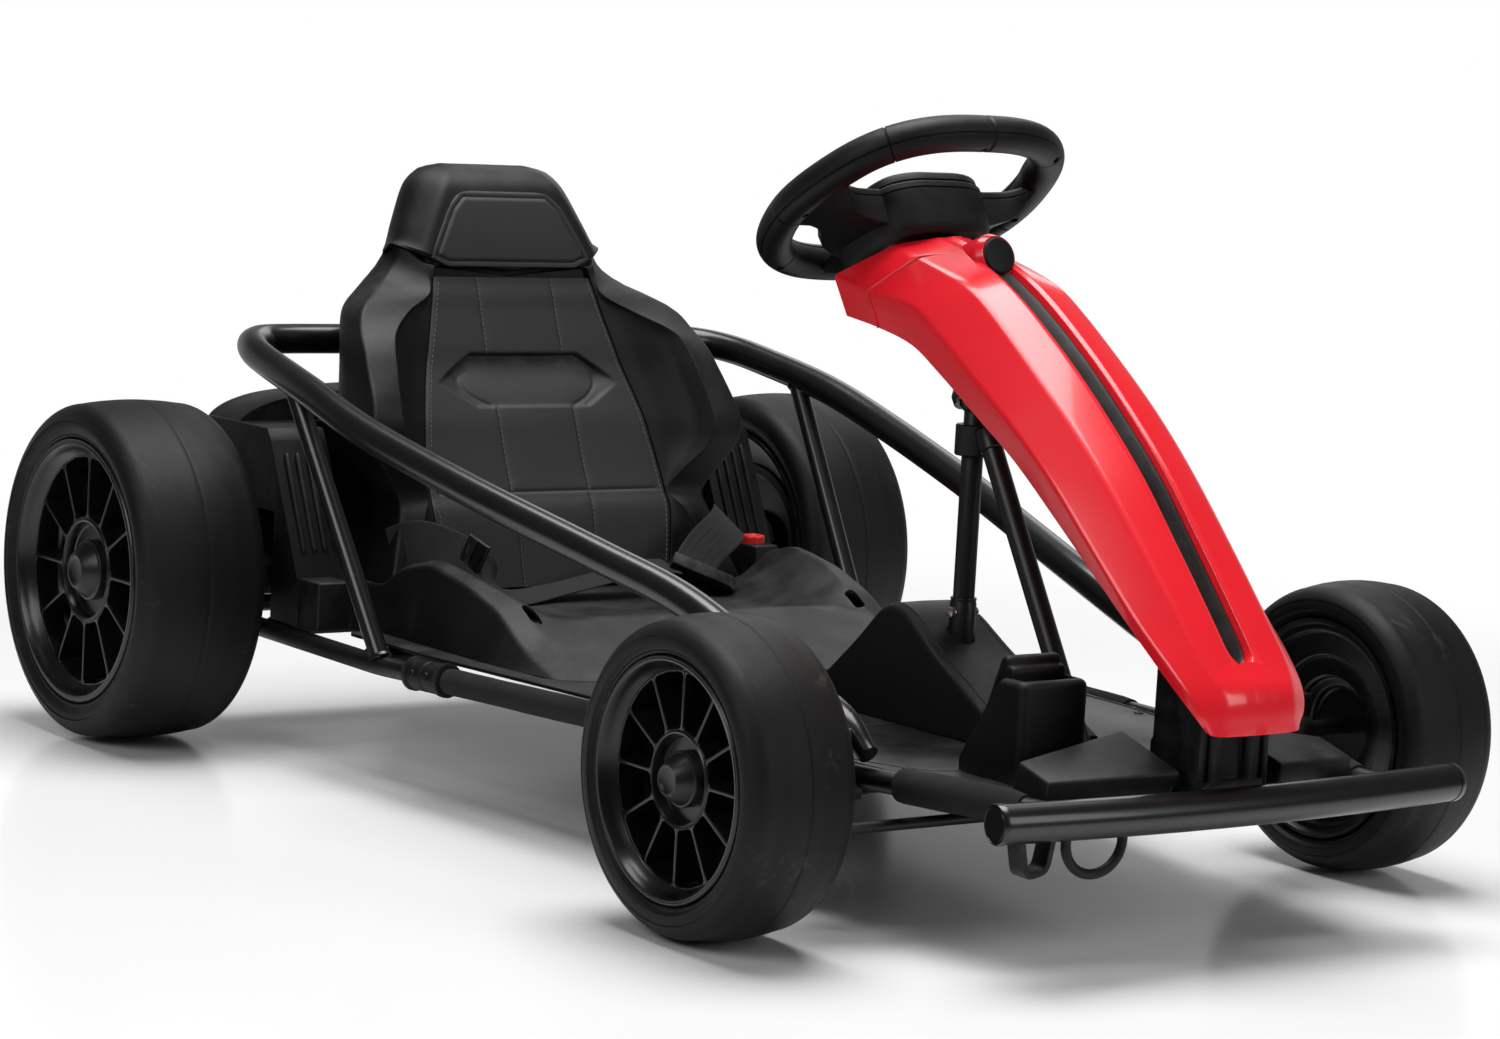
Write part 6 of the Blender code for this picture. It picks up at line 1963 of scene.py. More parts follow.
@dataclass
class Nose(SubAssembly):
    """The long front cover with its sunk stripe, boss, cap and the post under it."""

    wall: float = 0.003
    groove_half: float = 0.0095
    groove_depth: float = 0.0085
    groove_start: float = 1.58
    groove_end: float = 9.05
    steps: int = 8

    def __post_init__(self) -> None:
        """Draw smooth lines through the stations' points."""
        spine = [(0.0, y, z) for (y, z), _, _, _ in NOSE]
        self.lines = [spline(spine, self.steps)]
        for column in (1, 2, 3):
            self.lines.append(spline([row[column] for row in NOSE], self.steps))

    def along(self, line: int, place: float) -> Vector:
        """Return a line's point at a station number, which may lie between two stations.

        Args:
            line: The line's number.
            place: The station number.

        Returns:
            The point.
        """
        value = min(max(place, 0.0), len(NOSE) - 1.0) * self.steps
        index = min(int(value), len(self.lines[line]) - 2)
        return self.lines[line][index].lerp(self.lines[line][index + 1], value - index)

    def inward(self, place: float) -> Vector:
        """Return the direction square to the spine that points into the nose."""
        along = self.along(0, min(place + 0.4, 10.6)) - self.along(0, max(place - 0.4, 0.0))
        return Vector((0, -along.z, along.y)).normalized()

    def groove(self, place: float) -> Pair:
        """Return the groove's half width and depth at a station number.

        Args:
            place: The station number.

        Returns:
            The half width and the depth.
        """
        start, end = self.groove_start, self.groove_end
        if not start < place < end:
            return 0.004, 0.0
        tip = min(1.0, (end - place) / 0.42)
        head = min(1.0, (place - start) / 0.03)
        round_end = math.sqrt(max(0.0, 1 - (1 - tip) ** 2))
        return max(0.004, self.groove_half * round_end), self.groove_depth * min(1.0, head, round_end * 1.6)

    def section(self, place: float) -> list[Vector]:
        """Return half of the nose's section at a station number, from its edge to its middle.

        Args:
            place: The station number.

        Returns:
            The section's points.
        """
        spine, mid, side, edge = (self.along(line, place) for line in range(4))
        inward = self.inward(place)
        half, depth = self.groove(place)
        reach = self.groove_half + 0.0052
        crown = 0.0012
        top = spine.lerp(mid, reach / mid.x * 0.6) - inward * crown * 0.3
        top.x = reach
        lip = top + inward * (0.0016 if depth else 0.0)
        lip.x = lerp(half, reach, 0.22)
        floor = spine + inward * depth
        wall = Vector((half, floor.y, floor.z))
        corners = [edge, side, mid, top, lip, wall, floor]
        line = eased(corners, (0.0, 0.0035, 0.0045, 0.0016, 0.0008, 0.0006, 0.0), closed=False)
        return [edge, edge.lerp(side, 0.5), *line[1:]]

    def boss_line(self) -> tuple[Vector, Vector, float]:
        """Return the boss's first place, its direction and its length.

        Returns:
            The place, the direction and the length.
        """
        length, rise = 0.042, math.radians(19)
        way = Vector((0.0, -math.cos(rise), math.sin(rise)))
        return self.along(0, 1.46) - self.inward(1.46) * 0.0030 - way * length, way, length

    def build_shell(self) -> None:
        """Model the cover with its groove, its boss, its panel line and its lower strip."""
        places = [step / self.steps for step in range((len(NOSE) - 1) * self.steps + 1)]
        places += [self.groove_start + offset for offset in (-0.01, 0.005, 0.03, 0.08)]
        offsets = (0.42, 0.36, 0.30, 0.24, 0.18, 0.12, 0.08, 0.05, 0.025, 0.008, -0.01)
        places += [self.groove_end - offset for offset in offsets]
        cover = grid("cover", [both_halves(self.section(place)) for place in sorted(set(places))])
        add_modifier(cover, "SOLIDIFY", thickness=self.wall, offset=-1.0)
        face_out(cover)
        smooth(cover, 40)
        head, way, length = self.boss_line()
        boss = [(0.0, 0.0), (0.0150, 0.0), (0.0165, 0.0015), (0.0180, length - 0.0075), (0.0178, length - 0.0060),
                (0.0172, length - 0.0050), (0.0153, length - 0.0006), (0.0149, length), (0.0143, length),
                (0.0141, length - 0.0006), (0.0, length - 0.0006)]
        pieces = [cover, turned("boss", boss, head, way, 64)]
        for side in (-1, 1):
            spine, mid, edge, low = (self.along(line, 1.0) for line in range(4))
            line = eased([low, edge, mid, spine.lerp(mid, 0.4)], 0.0035, closed=False, steps=5)
            pieces.append(tube("panel_line", [Vector((side * p.x, p.y, p.z)) for p in line], 0.0014, 12))
        dress(joined("nose_cover", pieces), RED, "chassis", "nose_shell")

    def build_trim(self) -> None:
        """Model the dark strip in the groove and the cap on the boss."""
        half = self.groove_half - 0.0006
        count = 90
        rows = []
        first, last = self.groove_start + 0.14, self.groove_end - 0.06
        for step in range(count + 1):
            place = lerp(first, last, step / count)
            tip = min(1.0, (last - place) / 0.40)
            wide = max(0.0008, half * math.sqrt(max(0.0, 1 - (1 - tip) ** 2)))
            inward = self.inward(place)
            low = self.along(0, place) + inward * (self.groove_depth - 0.0003)
            row = []
            for x, lift in ((1.0, 0.0), (1.0, 0.0010), (0.96, 0.0016), (0.86, 0.0018), (0.72, 0.0012), (0.62, 0.0010)):
                point = low - inward * lift
                row.append((x * wide, point.y, point.z))
            rows.append(both_halves(row))
        dress(grid("groove_strip", rows, ring=True, caps=True), PLASTIC, "chassis", "nose_stripe")
        head, way, length = self.boss_line()
        cap = [(0.0, 0.0018), (0.0118, 0.0018), (0.0131, 0.0014), (0.0138, 0.0006), (0.0140, -0.0003), (0.0, -0.0003)]
        dress(turned("boss_cap", cap, head + way * length, way, 56), PLASTIC, "chassis", "nose_cap")

    def under(self, y: float) -> float:
        """Return the height just below the groove's wall at a place along the kart.

        Args:
            y: The place along the kart, from the front axle.

        Returns:
            The height.
        """
        depth = self.groove_depth + self.wall + 0.0009
        line = [self.along(0, step / 16) + self.inward(step / 16) * depth for step in range(90, 170)]
        for after, before in zip(line, line[1:]):
            if before.y <= y <= after.y:
                return lerp(before.z, after.z, (y - before.y) / (after.y - before.y))
        return line[-1].z

    def build_post(self) -> None:
        """Model the slotted block that carries the nose's front end."""
        rear, front, base = -0.136, -0.184, ON_FLOOR
        line = [lerp(rear, front, t) for t in (0, 0.33, 0.66, 1)]
        outline = [(rear, base)] + [(y, self.under(y)) for y in line]
        outline.append((front, base))
        post = prism("post", outline, -0.032, 0.032, 0.0016, 2)
        slots = [rounded_box("slot", (-0.012, front - 0.01, base + 0.012), (0.012, front + 0.006, 0.180), 0.0015)]
        for x in (-0.027, 0.022):
            ends = (x, front - 0.01, base + 0.012), (x + 0.005, front + 0.004, 0.175)
            slots.append(rounded_box("slot", *ends, 0.0012))
        dress(cut(post, *slots), PLASTIC, "chassis", "nose_post")

    def build(self) -> None:
        """Model the whole nose."""
        self.build_shell()
        self.build_trim()
        self.build_post()


# Floor covers, pedals and the button


@dataclass
class FloorCovers(SubAssembly):
    """The hump over the column's foot and the folded covers behind the bumper."""

    top: float = 0.195
    ridge: tuple[Pair, ...] = (
        (0.004, 0.078), (0.035, 0.060), (0.097, 0.029), (0.132, 0.006), (0.150, 0.000), (0.166, 0.002),
        (0.190, 0.030), (0.222, 0.062), (0.258, 0.078),
    )

    def build_hump(self) -> None:
        """Model the humped cover with its column hole and its seam."""
        line = eased([(0.0, y, self.top - depth) for y, depth in self.ridge], 0.010, closed=False, steps=5)
        rows = []
        for _, y, z in line:
            rise = 1.0 - (self.top - z) / 0.090
            shoulder = lerp(0.045, 0.034, rise)
            drop = 0.006 * rise
            corners = [(0.0, z), (shoulder - 0.0085, z - 0.0004), (shoulder - 0.0078, z - 0.0014),
                       (shoulder - 0.0070, z - 0.0005), (shoulder, z - drop * 0.6),
                       (0.046, FLOOR - 0.001), (0.0, FLOOR - 0.001)]
            half = eased(corners, (0.0, 0.0003, 0.0003, 0.0003, 0.0050, 0.003, 0.0), closed=False, steps=5)
            rows.append(both_halves([(p.x, y, p.y) for p in half]))
        hump = grid("hump", rows, ring=True, caps=True)
        hump = cut(hump, cylinder("hole", (0, COLUMN_Y, FLOOR + 0.02), (0, COLUMN_Y, 0.25), 0.0103, sides=48))
        hump = cut(hump, rounded_box("foot", (-0.1, -0.05, 0.0), (0.1, 0.35, ON_FLOOR), 0.001))
        dress(smooth(hump), PLASTIC, "chassis", "steering_cover")

    def build_wedges(self) -> None:
        """Model the two folded covers."""
        base = ON_FLOOR
        top = [(0.139, -0.124, base + 0.0237), (0.139, -0.156, base + 0.0147), (0.046, -0.183, base + 0.0207),
               (0.045, -0.120, base + 0.0387)]
        low = [(0.141, -0.119, base), (0.141, -0.157, base), (0.050, -0.176, base), (0.042, -0.114, base)]
        for word, side in SIDES:
            loops = [[(side * x, y, z) for x, y, z in loop] for loop in (top, low)]
            dress(block("wedge_" + word, *loops, 0.0022), PLASTIC, "chassis", "wedge_cover_" + word)

    def build(self) -> None:
        """Model the hump and the wedges."""
        self.build_hump()
        self.build_wedges()


@dataclass
class Pedals(SubAssembly):
    """The two pedals and the housings that they lean in."""

    spread: float = 0.088
    width: float = 0.060
    front: float = -0.100
    depth: float = 0.064
    top: float = 0.180
    wall: float = 0.0055
    lip: float = 0.0065
    round_off: float = 0.0052
    edge: float = 0.0035

    def build_housing(self, word: str, side: int) -> None:
        """Model one pedal's housing.

        Args:
            word: The side's name.
            side: 1 for the left side and -1 for the right.
        """
        x, half = side * self.spread, self.width / 2
        rear, crest = self.front + self.depth, self.front + 0.38 * self.depth
        base, corner = ON_FLOOR, 0.0085
        levels = [(base, 0.0), (FLOOR + 0.010, 0.0)]
        levels += [(self.top - drop, inset) for drop, inset in quarter_round(self.round_off, 5)]
        rows = []
        for z, inset in levels:
            back = lerp(rear, crest, share_between(FLOOR + 0.010, self.top, z))
            front, wide = self.front + inset, half - inset
            outline = [(x - wide, back), (x - wide, front), (x + wide, front), (x + wide, back)]
            reaches = (0.0003, corner - inset, corner - inset, 0.0003)
            rows.append([(p.x, p.y, z) for p in eased(outline, reaches, steps=6)])
        body = grid("housing", rows, ring=True, caps=True)
        wide, front, back = half - self.wall, self.front + self.lip, 0.1
        hollow = [(x - wide, back), (x - wide, front), (x + wide, front), (x + wide, back)]
        body = cut(body, slab("hollow", hollow, 0.05, 0.25, 0.0003))
        dress(smooth(body, 30), PLASTIC, "chassis", "pedal_housing_" + word)

    def build_pedal(self, word: str, side: int) -> None:
        """Model one pedal: a stepped plate with rounded sides over its barrel.

        Args:
            word: The side's name.
            side: 1 for the left side and -1 for the right.
        """
        x, inside = side * self.spread, self.width / 2 - self.wall - 0.0006
        y, z = self.front + self.depth - 0.0025, FLOOR + 0.0075
        corners = [(y + 0.0030, 0.1120), (-0.0662, 0.1925), (-0.0700, 0.1948), (-0.0750, 0.1930), (-0.0757, 0.1882),
                   (-0.0800, 0.1874), (-0.0818, 0.1846), (-0.0818, 0.1500), (y - 0.0040, 0.1110)]
        reaches = (0.002, 0.004, 0.002, 0.002, 0.0008, 0.002, 0.002, 0.004, 0.002)
        profile = flat_points(eased(corners, reaches))
        rows = []
        for end in (-1, 1):
            for inset, drop in quarter_round(self.edge, 6)[::-end]:
                rows.append([(x + end * (inside - drop), a, b) for a, b in drawn_in(profile, inset)])
        rows.sort(key=lambda row: row[0][0])
        pieces = [smooth(grid("slab", rows, ring=True, caps=True)),
                  cylinder("barrel", (x - inside, y, z), (x + inside, y, z), 0.0055, sides=32, edge=0.0008)]
        dress(joined("pedal_plate_" + word, pieces), PLASTIC, "pedal_" + word, "pedal_" + word)

    def build(self) -> None:
        """Model both pedals and housings."""
        for word, side in SIDES:
            self.build_housing(word, side)
            self.build_pedal(word, side)


@dataclass
class UnderStraps(SubAssembly):
    """The strap and the loop that hang under the bumper."""

    y: float = -0.186
    top: float = 0.107

    def build(self) -> None:
        """Model the strap and the loop."""
        middle = [(-0.192, self.top), (-0.185, 0.0712), (-0.168, 0.0742), (-0.161, self.top)]
        line = eased([Vector((x, self.y, z)) for x, z in middle], 0.006, closed=False)
        section = flat_points(eased(oblong(-0.0022, -0.0075, 0.0022, 0.0075), 0.0008, steps=2))
        strap = sweep("strap", line, section, Vector((0, 1, 0)))
        turns = [math.radians(angle) for angle in range(0, 181, 9)]
        ring = [(-0.126 + 0.0245 * math.cos(turn), self.y - 0.004, 0.090 - 0.0215 * math.sin(turn)) for turn in turns]
        path = [(ring[0][0], ring[0][1], self.top), *ring, (ring[-1][0], ring[-1][1], self.top)]
        loop = tube("loop", path, 0.0035, 20)
        bumper = Bumper()
        for piece, name, node in ((strap, "hanging_strap", "under_strap"), (loop, "hanging_loop", "cable_loop")):
            bar = tube("bar", [bumper.place(0.207 * step / 12) for step in range(-12, 13)], bumper.radius + 0.0002, 32)
            piece = smooth(cut(piece, bar))
            piece.name = name
            dress(piece, PLASTIC, "chassis", node)


@dataclass
class Button(SubAssembly):
    """The round red button on the seat base's shelf."""

    centre: Pair = BUTTON_PLACE
    radius: float = 0.010
    low: float = 0.1605
    high: float = 0.1725

    def build(self) -> None:
        """Model the button with its grooves."""
        r, top = self.radius, self.high
        profile = [(0.0, top - 0.0004), (0.0040, top - 0.0003), (0.0046, top - 0.0008), (0.0052, top - 0.0002),
                   (r - 0.0018, top), (r - 0.0006, top - 0.0005), (r - 0.0001, top - 0.0014),
                   (r - 0.0001, top - 0.0034), (r - 0.0006, top - 0.0037), (r - 0.0001, top - 0.0040),
                   (r - 0.0001, self.low), (0.0, self.low)]
        button = turned("press_button", profile, (*self.centre, 0.0), (0, 0, 1), 56)
        dress(button, BUTTON_RED, "button", "red_button")


# Seat


SEAT_LEVELS: tuple[tuple[float, ...], ...] = (
    (0.1325, 0.000, 0.112, 0.150, -0.010, 0.178, -0.018, 0.075),
    (0.190, 0.014, 0.119, 0.1340, 0.0060, 0.158, 0.006, 0.090),
    (0.210, 0.0235, 0.1185, 0.1215, 0.0225, 0.154, 0.0150, 0.097),
    (0.228, 0.0325, 0.1175, 0.1310, 0.0185, 0.1655, 0.0130, 0.103),
    (0.250, 0.0420, 0.1145, 0.1500, 0.0085, 0.1810, 0.0070, 0.111),
    (0.270, 0.050, 0.111, 0.1565, 0.006, 0.1855, 0.006, 0.118),
    (0.290, 0.060, 0.1060, 0.1555, 0.0155, 0.1822, 0.0150, 0.119),
    (0.314, 0.072, 0.0990, 0.1515, 0.0295, 0.1783, 0.0330, 0.121),
    (0.332, 0.0785, 0.0938, 0.1475, 0.0415, 0.1745, 0.0475, 0.125),
    (0.3465, 0.084, 0.0898, 0.1395, 0.0545, 0.1690, 0.0640, 0.132),
    (0.361, 0.0895, 0.0860, 0.1135, 0.0785, 0.1600, 0.0770, 0.142),
    (0.373, 0.0935, 0.0830, 0.0890, 0.0890, 0.1425, 0.0930, 0.152),
    (0.385, 0.0985, 0.0800, 0.0840, 0.0965, 0.1200, 0.1150, 0.165),
    (0.400, 0.102, 0.076, 0.086, 0.105, 0.103, 0.125, 0.172),
    (0.430, 0.110, 0.066, 0.076, 0.114, 0.092, 0.132, 0.178),
    (0.462, 0.122, 0.050, 0.060, 0.126, 0.078, 0.143, 0.182),
    (0.476, 0.135, 0.042, 0.050, 0.138, 0.064, 0.148, 0.179),
    (0.482, 0.147, 0.034, 0.042, 0.149, 0.052, 0.153, 0.173),
)


@dataclass
class Seat(SubAssembly):
    """The moulded bucket seat, its quilted back panel and its headrest pad.

    Each level of the seat holds its height and then, measured back from SEAT, the panel's face,
    the panel's half width, the bolster's crest (x, y), its outer edge (x, y) and the back.
    """

    sunk: float = 0.006
    split: float = 0.3945
    panel_low: float = 0.1345
    panel_high: float = 0.3880

    def __post_init__(self) -> None:
        """Draw the levels finely."""
        self.levels = spline([Vector(level) for level in SEAT_LEVELS], 8)

    def level(self, height: float) -> Vector:
        """Return the level at a height, between two of the fine ones.

        Args:
            height: The height.

        Returns:
            The level's measures.
        """
        for lower, upper in zip(self.levels, self.levels[1:]):
            if height <= upper[0]:
                return lower.lerp(upper, (height - lower[0]) / max(upper[0] - lower[0], 0.00001))
        return self.levels[-1]

    def face(self, height: float) -> Pair:
        """Return the panel's y and half width at a height."""
        level = self.level(height)
        return SEAT + level[1], level[2]

    def ring(self, corners: Sequence[Pair], reaches: Sequence[float]) -> list[Pair]:
        """Return a whole section, with rounded corners, from its half with x growing from 0."""
        return both_halves(flat_points(eased(corners, reaches, closed=False, steps=5)))

    def bucket_ring(self, level: Vector) -> list[Place]:
        """Return the bucket's section at a level, with its sunk middle and its dished bolsters.

        Args:
            level: The level's measures.

        Returns:
            The ring's points.
        """
        z, face, half, crest_x, crest_y, edge_x, edge_y, back = level
        sunk = face + self.sunk
        side_y = lerp(edge_y, back, 0.6)
        inner, crest = Vector((half + 0.0008, face - 0.0004)), Vector((crest_x, crest_y))
        dip = 0.26 * max(0.0, face - crest_y)
        near, far = inner.lerp(crest, 0.35) + Vector((0.0, dip * 0.9)), inner.lerp(crest, 0.78) + Vector((0.0, dip))
        corners = [(0.0, sunk), (half, sunk), inner, near, far, crest, (edge_x, edge_y), (edge_x + 0.002, side_y),
                   (edge_x * 0.82, back - 0.006), (0.0, back)]
        reaches = (0.0, 0.0003, 0.0008, 0.0150, 0.0080, 0.0014, 0.0036, 0.0200, 0.0250, 0.0)
        return [(x, SEAT + y, z) for x, y in self.ring(corners, reaches)]

    def lift(self, x: float, y: float, share: float) -> float:
        """Return how far the split between bucket and cap rises at a place beside the pad."""
        side = 0.47 * max(0.0, abs(x) - 0.063)
        return lerp(side, 0.0085, smooth_step(0.130, 0.150, y - SEAT)) * share

    def raised(self, height: float, share: float, inset: float = 0.0) -> list[Place]:
        """Return a bucket section that rises beside the pad, drawn in by a distance.

        Args:
            height: The section's height.
            share: How far the bolsters still stand out, from 0 to 1.
            inset: How far the section is drawn in.

        Returns:
            The ring's points.
        """
        rings: dict[int, list[Place]] = {}
        row = []
        for index, (x, y, _) in enumerate(self.bucket_ring(self.level(height))):
            z = height + self.lift(x, y, share)
            key = round(z * 2000)
            if key not in rings:
                rings[key] = self.bucket_ring(self.level(key / 2000))
            x, y, _ = rings[key][index]
            draw = 1 - inset / max(math.hypot(x, y - SEAT - 0.130), 0.02)
            row.append((x * draw, SEAT + 0.130 + (y - SEAT - 0.130) * draw, z))
        return row

    def build_shell(self) -> None:
        """Model the bucket, its neck and the cap that overhangs the neck."""
        rows = [self.bucket_ring(level) for level in self.levels if level[0] < 0.362]
        for step in range(10):
            share = step / 9
            rows.append(self.raised(lerp(0.364, self.panel_high + 0.0005, share), share * share))
        top = self.panel_high + 0.0005
        steps = ((0.0006, 0.0008), (0.0008, 0.0060), (0.0085, 0.0070))
        rows += [self.raised(top + lift, 1.0, inset) for lift, inset in steps]
        bucket = smooth(grid("bucket", rows, ring=True, caps=True), 24)
        dress(joined("bucket_shell", [bucket, self.cap()]), PLASTIC, "chassis", "seat_shell")

    def cap(self) -> Piece:
        """Return the headrest's cap, whose lower edge rises at its sides.

        Returns:
            The cap.
        """
        top = self.levels[-1][0]
        rows = []
        for step in range(37):
            share = step / 36
            height = lerp(self.split, top, share)
            _, face, _, crest_x, _, edge_x, edge_y, back = self.level(height)
            front = face + 0.0005
            inset = 0.0022 * (1 - min(1.0, step / 2)) + 0.010 * max(0.0, (share - 0.94) / 0.06) ** 2
            corners = [(0.0, front + inset), (crest_x - inset, front + inset), (edge_x - inset, edge_y),
                       (edge_x - inset, lerp(edge_y, back, 0.5)), (edge_x * 0.84 - inset, back - 0.004 - inset),
                       (0.0, back - inset)]
            row = []
            for x, y in self.ring(corners, (0.0, 0.0060, 0.0120, 0.0150, 0.0200, 0.0)):
                row.append((x, SEAT + y, height + self.lift(x, SEAT + y, (1 - share) ** 3)))
            rows.append(row)
        return smooth(grid("cap", rows, ring=True, caps=True), 45)

    def seams(self) -> list[list[Pair]]:
        """Return the back panel's stitched seams as lines of x and z.

        Returns:
            The seams' lines.
        """
        low = 0.212
        lines = [[(-0.110, low), (0.110, low)]]
        for x in (-0.037, 0.040):
            lines += [[(x * 0.97, self.panel_high), (x, 0.326)], [(x, 0.280), (x * 1.02, low)],
                      [(x * 1.02, low), (x * 0.96, 0.136)]]
        return lines

    def loops(self) -> list[list[Pair]]:
        """Return the two curved seams inside the lumbar recess.

        Returns:
            The seams' lines.
        """
        lines = []
        for side in (-1, 1):
            knots = [(0.046, 0.318), (0.064, 0.309), (0.069, 0.300), (0.058, 0.289), (0.042, 0.2815)]
            lines.append(flat_points(spline([(side * x, z, 0.0) for x, z in knots], 4)))
        return lines

    def reach(self, place: Vector, start: Vector, end: Vector) -> float:
        """Return the distance from a place to a line between two places.

        Args:
            place: The place.
            start: The line's start.
            end: The line's end.

        Returns:
            The distance.
        """
        run = end - start
        share = min(1.0, max(0.0, (place - start).dot(run) / run.length_squared))
        return (place - start - run * share).length

    def quilt(self, x: float, z: float, half: float, lines: Sequence[Sequence[Pair]]) -> float:
        """Return how far the back panel stands out at a place.

        Args:
            x: The place across.
            z: The place's height.
            half: The panel's half width there.
            lines: The panel's seams.

        Returns:
            The distance in metres.
        """
        place = Vector((x, z))
        near = min(self.reach(place, a, b) for line in lines for a, b in zip(line, line[1:]))
        rim = 0.0012 * (1 - smooth_step(0.0, 0.0022, half - abs(x)))
        puff = 0.0009 * (1 - math.exp(-near / 0.008)) - 0.0010 * math.exp(-(near / 0.0011) ** 2)
        point = max(0.0, 1.0 - abs(x) / 0.094)
        spread = smooth_step(0.0, 0.42, point)
        low, high = 0.3010 - 0.0210 * min(1.0, point / 0.40), 0.3010 + 0.0250 * min(1.0, point / 0.42)
        depth = 0.0056 * smooth_step(low - 0.004, high, z) + 0.0016
        lift = smooth_step(0.0, 0.0026, z - low)
        drop = smooth_step(0.0, 0.0050, high - z)
        return puff - rim - depth * lift * drop * min(1.0, spread * 1.6)

    def panel_point(self, x: float, z: float, lift: float = 0.0) -> Vector:
        """Return a place on the back panel's face, raised by a distance."""
        face, half = self.face(z)
        return Vector((x, face - self.quilt(x, z, half - 0.0005, self.lines) - lift, z))

    def build_panel(self) -> None:
        """Model the quilted back panel with its seams and its sunk lumbar field."""
        self.lines = [[Vector(place) for place in line] for line in self.seams() + self.loops()]
        rows = []
        for step in range(211):
            z = lerp(self.panel_low, self.panel_high - 0.0003, step / 210)
            face, half = self.face(z)
            half -= 0.0005
            back = face + self.sunk - 0.0004
            row = [tuple(self.panel_point(half * cell / 84, z)) for cell in range(-84, 85)]
            rows.append(row + [(half, back, z), (-half, back, z)])
        dress(grid("back_panel", rows, ring=True, caps=True), SEAT_SKIN, "chassis", "seat_back_panel")

    def build_stitches(self) -> None:
        """Lay a short thread over every stitch of the back panel's long seams."""
        runs = [line for line in self.lines[1:7]]
        for side in (-1, 1):
            heights = (0.138, 0.17, 0.20, 0.24, 0.28, 0.32, 0.35, 0.384)
            runs.append([(side * (self.face(z)[1] - 0.0045), z) for z in heights])
        pieces = []
        for run in runs:
            for (x0, z0), (x1, z1) in zip(run, run[1:]):
                count = max(1, round(math.hypot(x1 - x0, z1 - z0) / 0.0042))
                for stitch in range(count):
                    shares = [(stitch + part) / count for part in (0.12, 0.3, 0.7, 0.88)]
                    lifts = (-0.0004, 0.0003, 0.0003, -0.0004)
                    path = [self.panel_point(lerp(x0, x1, s), lerp(z0, z1, s), lift) for s, lift in zip(shares, lifts)]
                    pieces.append(tube("stitch", path, 0.00045, 6))
        dress(joined("back_stitches", pieces), THREAD, "chassis")

    def build_headrest(self) -> None:
        """Model the headrest pad: a plate with rounded corners on the cap's face."""
        low, high, levels, cells = 0.3965, 0.4605, 64, 60
        outline = [(-0.0645, low), (0.0645, low), (0.0815, 0.4040), (0.0570, 0.4480), (0.0440, high),
                   (-0.0440, high), (-0.0570, 0.4480), (-0.0815, 0.4040)]
        rounded = eased(outline, (0.003, 0.003, 0.004, 0.010, 0.012, 0.012, 0.010, 0.004), steps=6)
        side = sorted((p.y, p.x) for p in rounded if p.x > 0.0)
        rows = []
        for step in range(levels + 1):
            z = lerp(low, high, step / levels)
            half = next(lerp(x0, x1, (z - z0) / max(z1 - z0, 0.000001))
                        for (z0, x0), (z1, x1) in zip(side, side[1:]) if z <= z1 + 0.000001)
            row = []
            for cell in range(-cells, cells + 1):
                x = half * cell / cells
                edge = min(self.reach(Vector((x, z)), Vector(a), Vector(b))
                           for a, b in zip(outline, outline[1:] + outline[:1]))
                lift = 0.0012 * smooth_step(-0.0001, 0.0010, edge) + 0.0008 * smooth_step(0.0050, 0.0080, edge)
                lift -= 0.0009 * math.exp(-((edge - 0.0050) / 0.0010) ** 2)
                row.append((x, self.face(z)[0] - lift, z))
            rows.append(row + [(half, self.face(z)[0] + 0.004, z), (-half, self.face(z)[0] + 0.004, z)])
        dress(grid("head_pad", rows, ring=True, caps=True), SEAT_SKIN, "chassis", "headrest_pad")

    def build(self) -> None:
        """Model the whole seat."""
        self.build_shell()
        self.build_panel()
        self.build_stitches()
        self.build_headrest()


BASE_SECTIONS: tuple[tuple[Place, ...], ...] = (
    ((0, -0.320, 0.105), (0.100, -0.318, 0.105), (0.140, -0.314, 0.105), (0.172, -0.309, 0.105),
     (0.188, -0.298, 0.105), (0.195, -0.285, 0.105)),
    ((0, -0.203, 0.1455), (0.100, -0.203, 0.1455), (0.140, -0.210, 0.142), (0.164, -0.226, 0.133),
     (0.184, -0.232, 0.124), (0.199, -0.230, 0.105)),
    ((0, -0.188, 0.133), (0.100, -0.188, 0.133), (0.135, -0.190, 0.142), (0.160, -0.192, 0.154),
     (0.184, -0.190, 0.149), (0.200, -0.190, 0.105)),
    ((0, -0.145, 0.132), (0.112, -0.145, 0.132), (0.145, -0.145, 0.150), (0.173, -0.145, 0.167),
     (0.187, -0.145, 0.163), (0.201, -0.145, 0.105)),
    ((0, -0.092, 0.132), (0.112, -0.092, 0.132), (0.150, -0.092, 0.155), (0.176, -0.092, 0.176),
     (0.188, -0.092, 0.172), (0.201, -0.092, 0.105)),
    ((0, -0.050, 0.132), (0.120, -0.050, 0.132), (0.155, -0.050, 0.148), (0.178, -0.050, 0.166),
     (0.189, -0.050, 0.163), (0.201, -0.050, 0.105)),
    ((0, -0.029, 0.132), (0.130, -0.029, 0.132), (0.165, -0.029, 0.137), (0.183, -0.029, 0.149),
     (0.190, -0.029, 0.149), (0.201, -0.029, 0.105)),
    ((0, -0.020, 0.132), (0.140, -0.020, 0.132), (0.183, -0.020, 0.132), (0.187, -0.020, 0.145),
     (0.191, -0.020, 0.145), (0.201, -0.020, 0.105)),
    ((0, 0.020, 0.132), (0.140, 0.020, 0.132), (0.183, 0.020, 0.132), (0.187, 0.020, 0.145),
     (0.191, 0.020, 0.145), (0.201, 0.020, 0.105)),
)


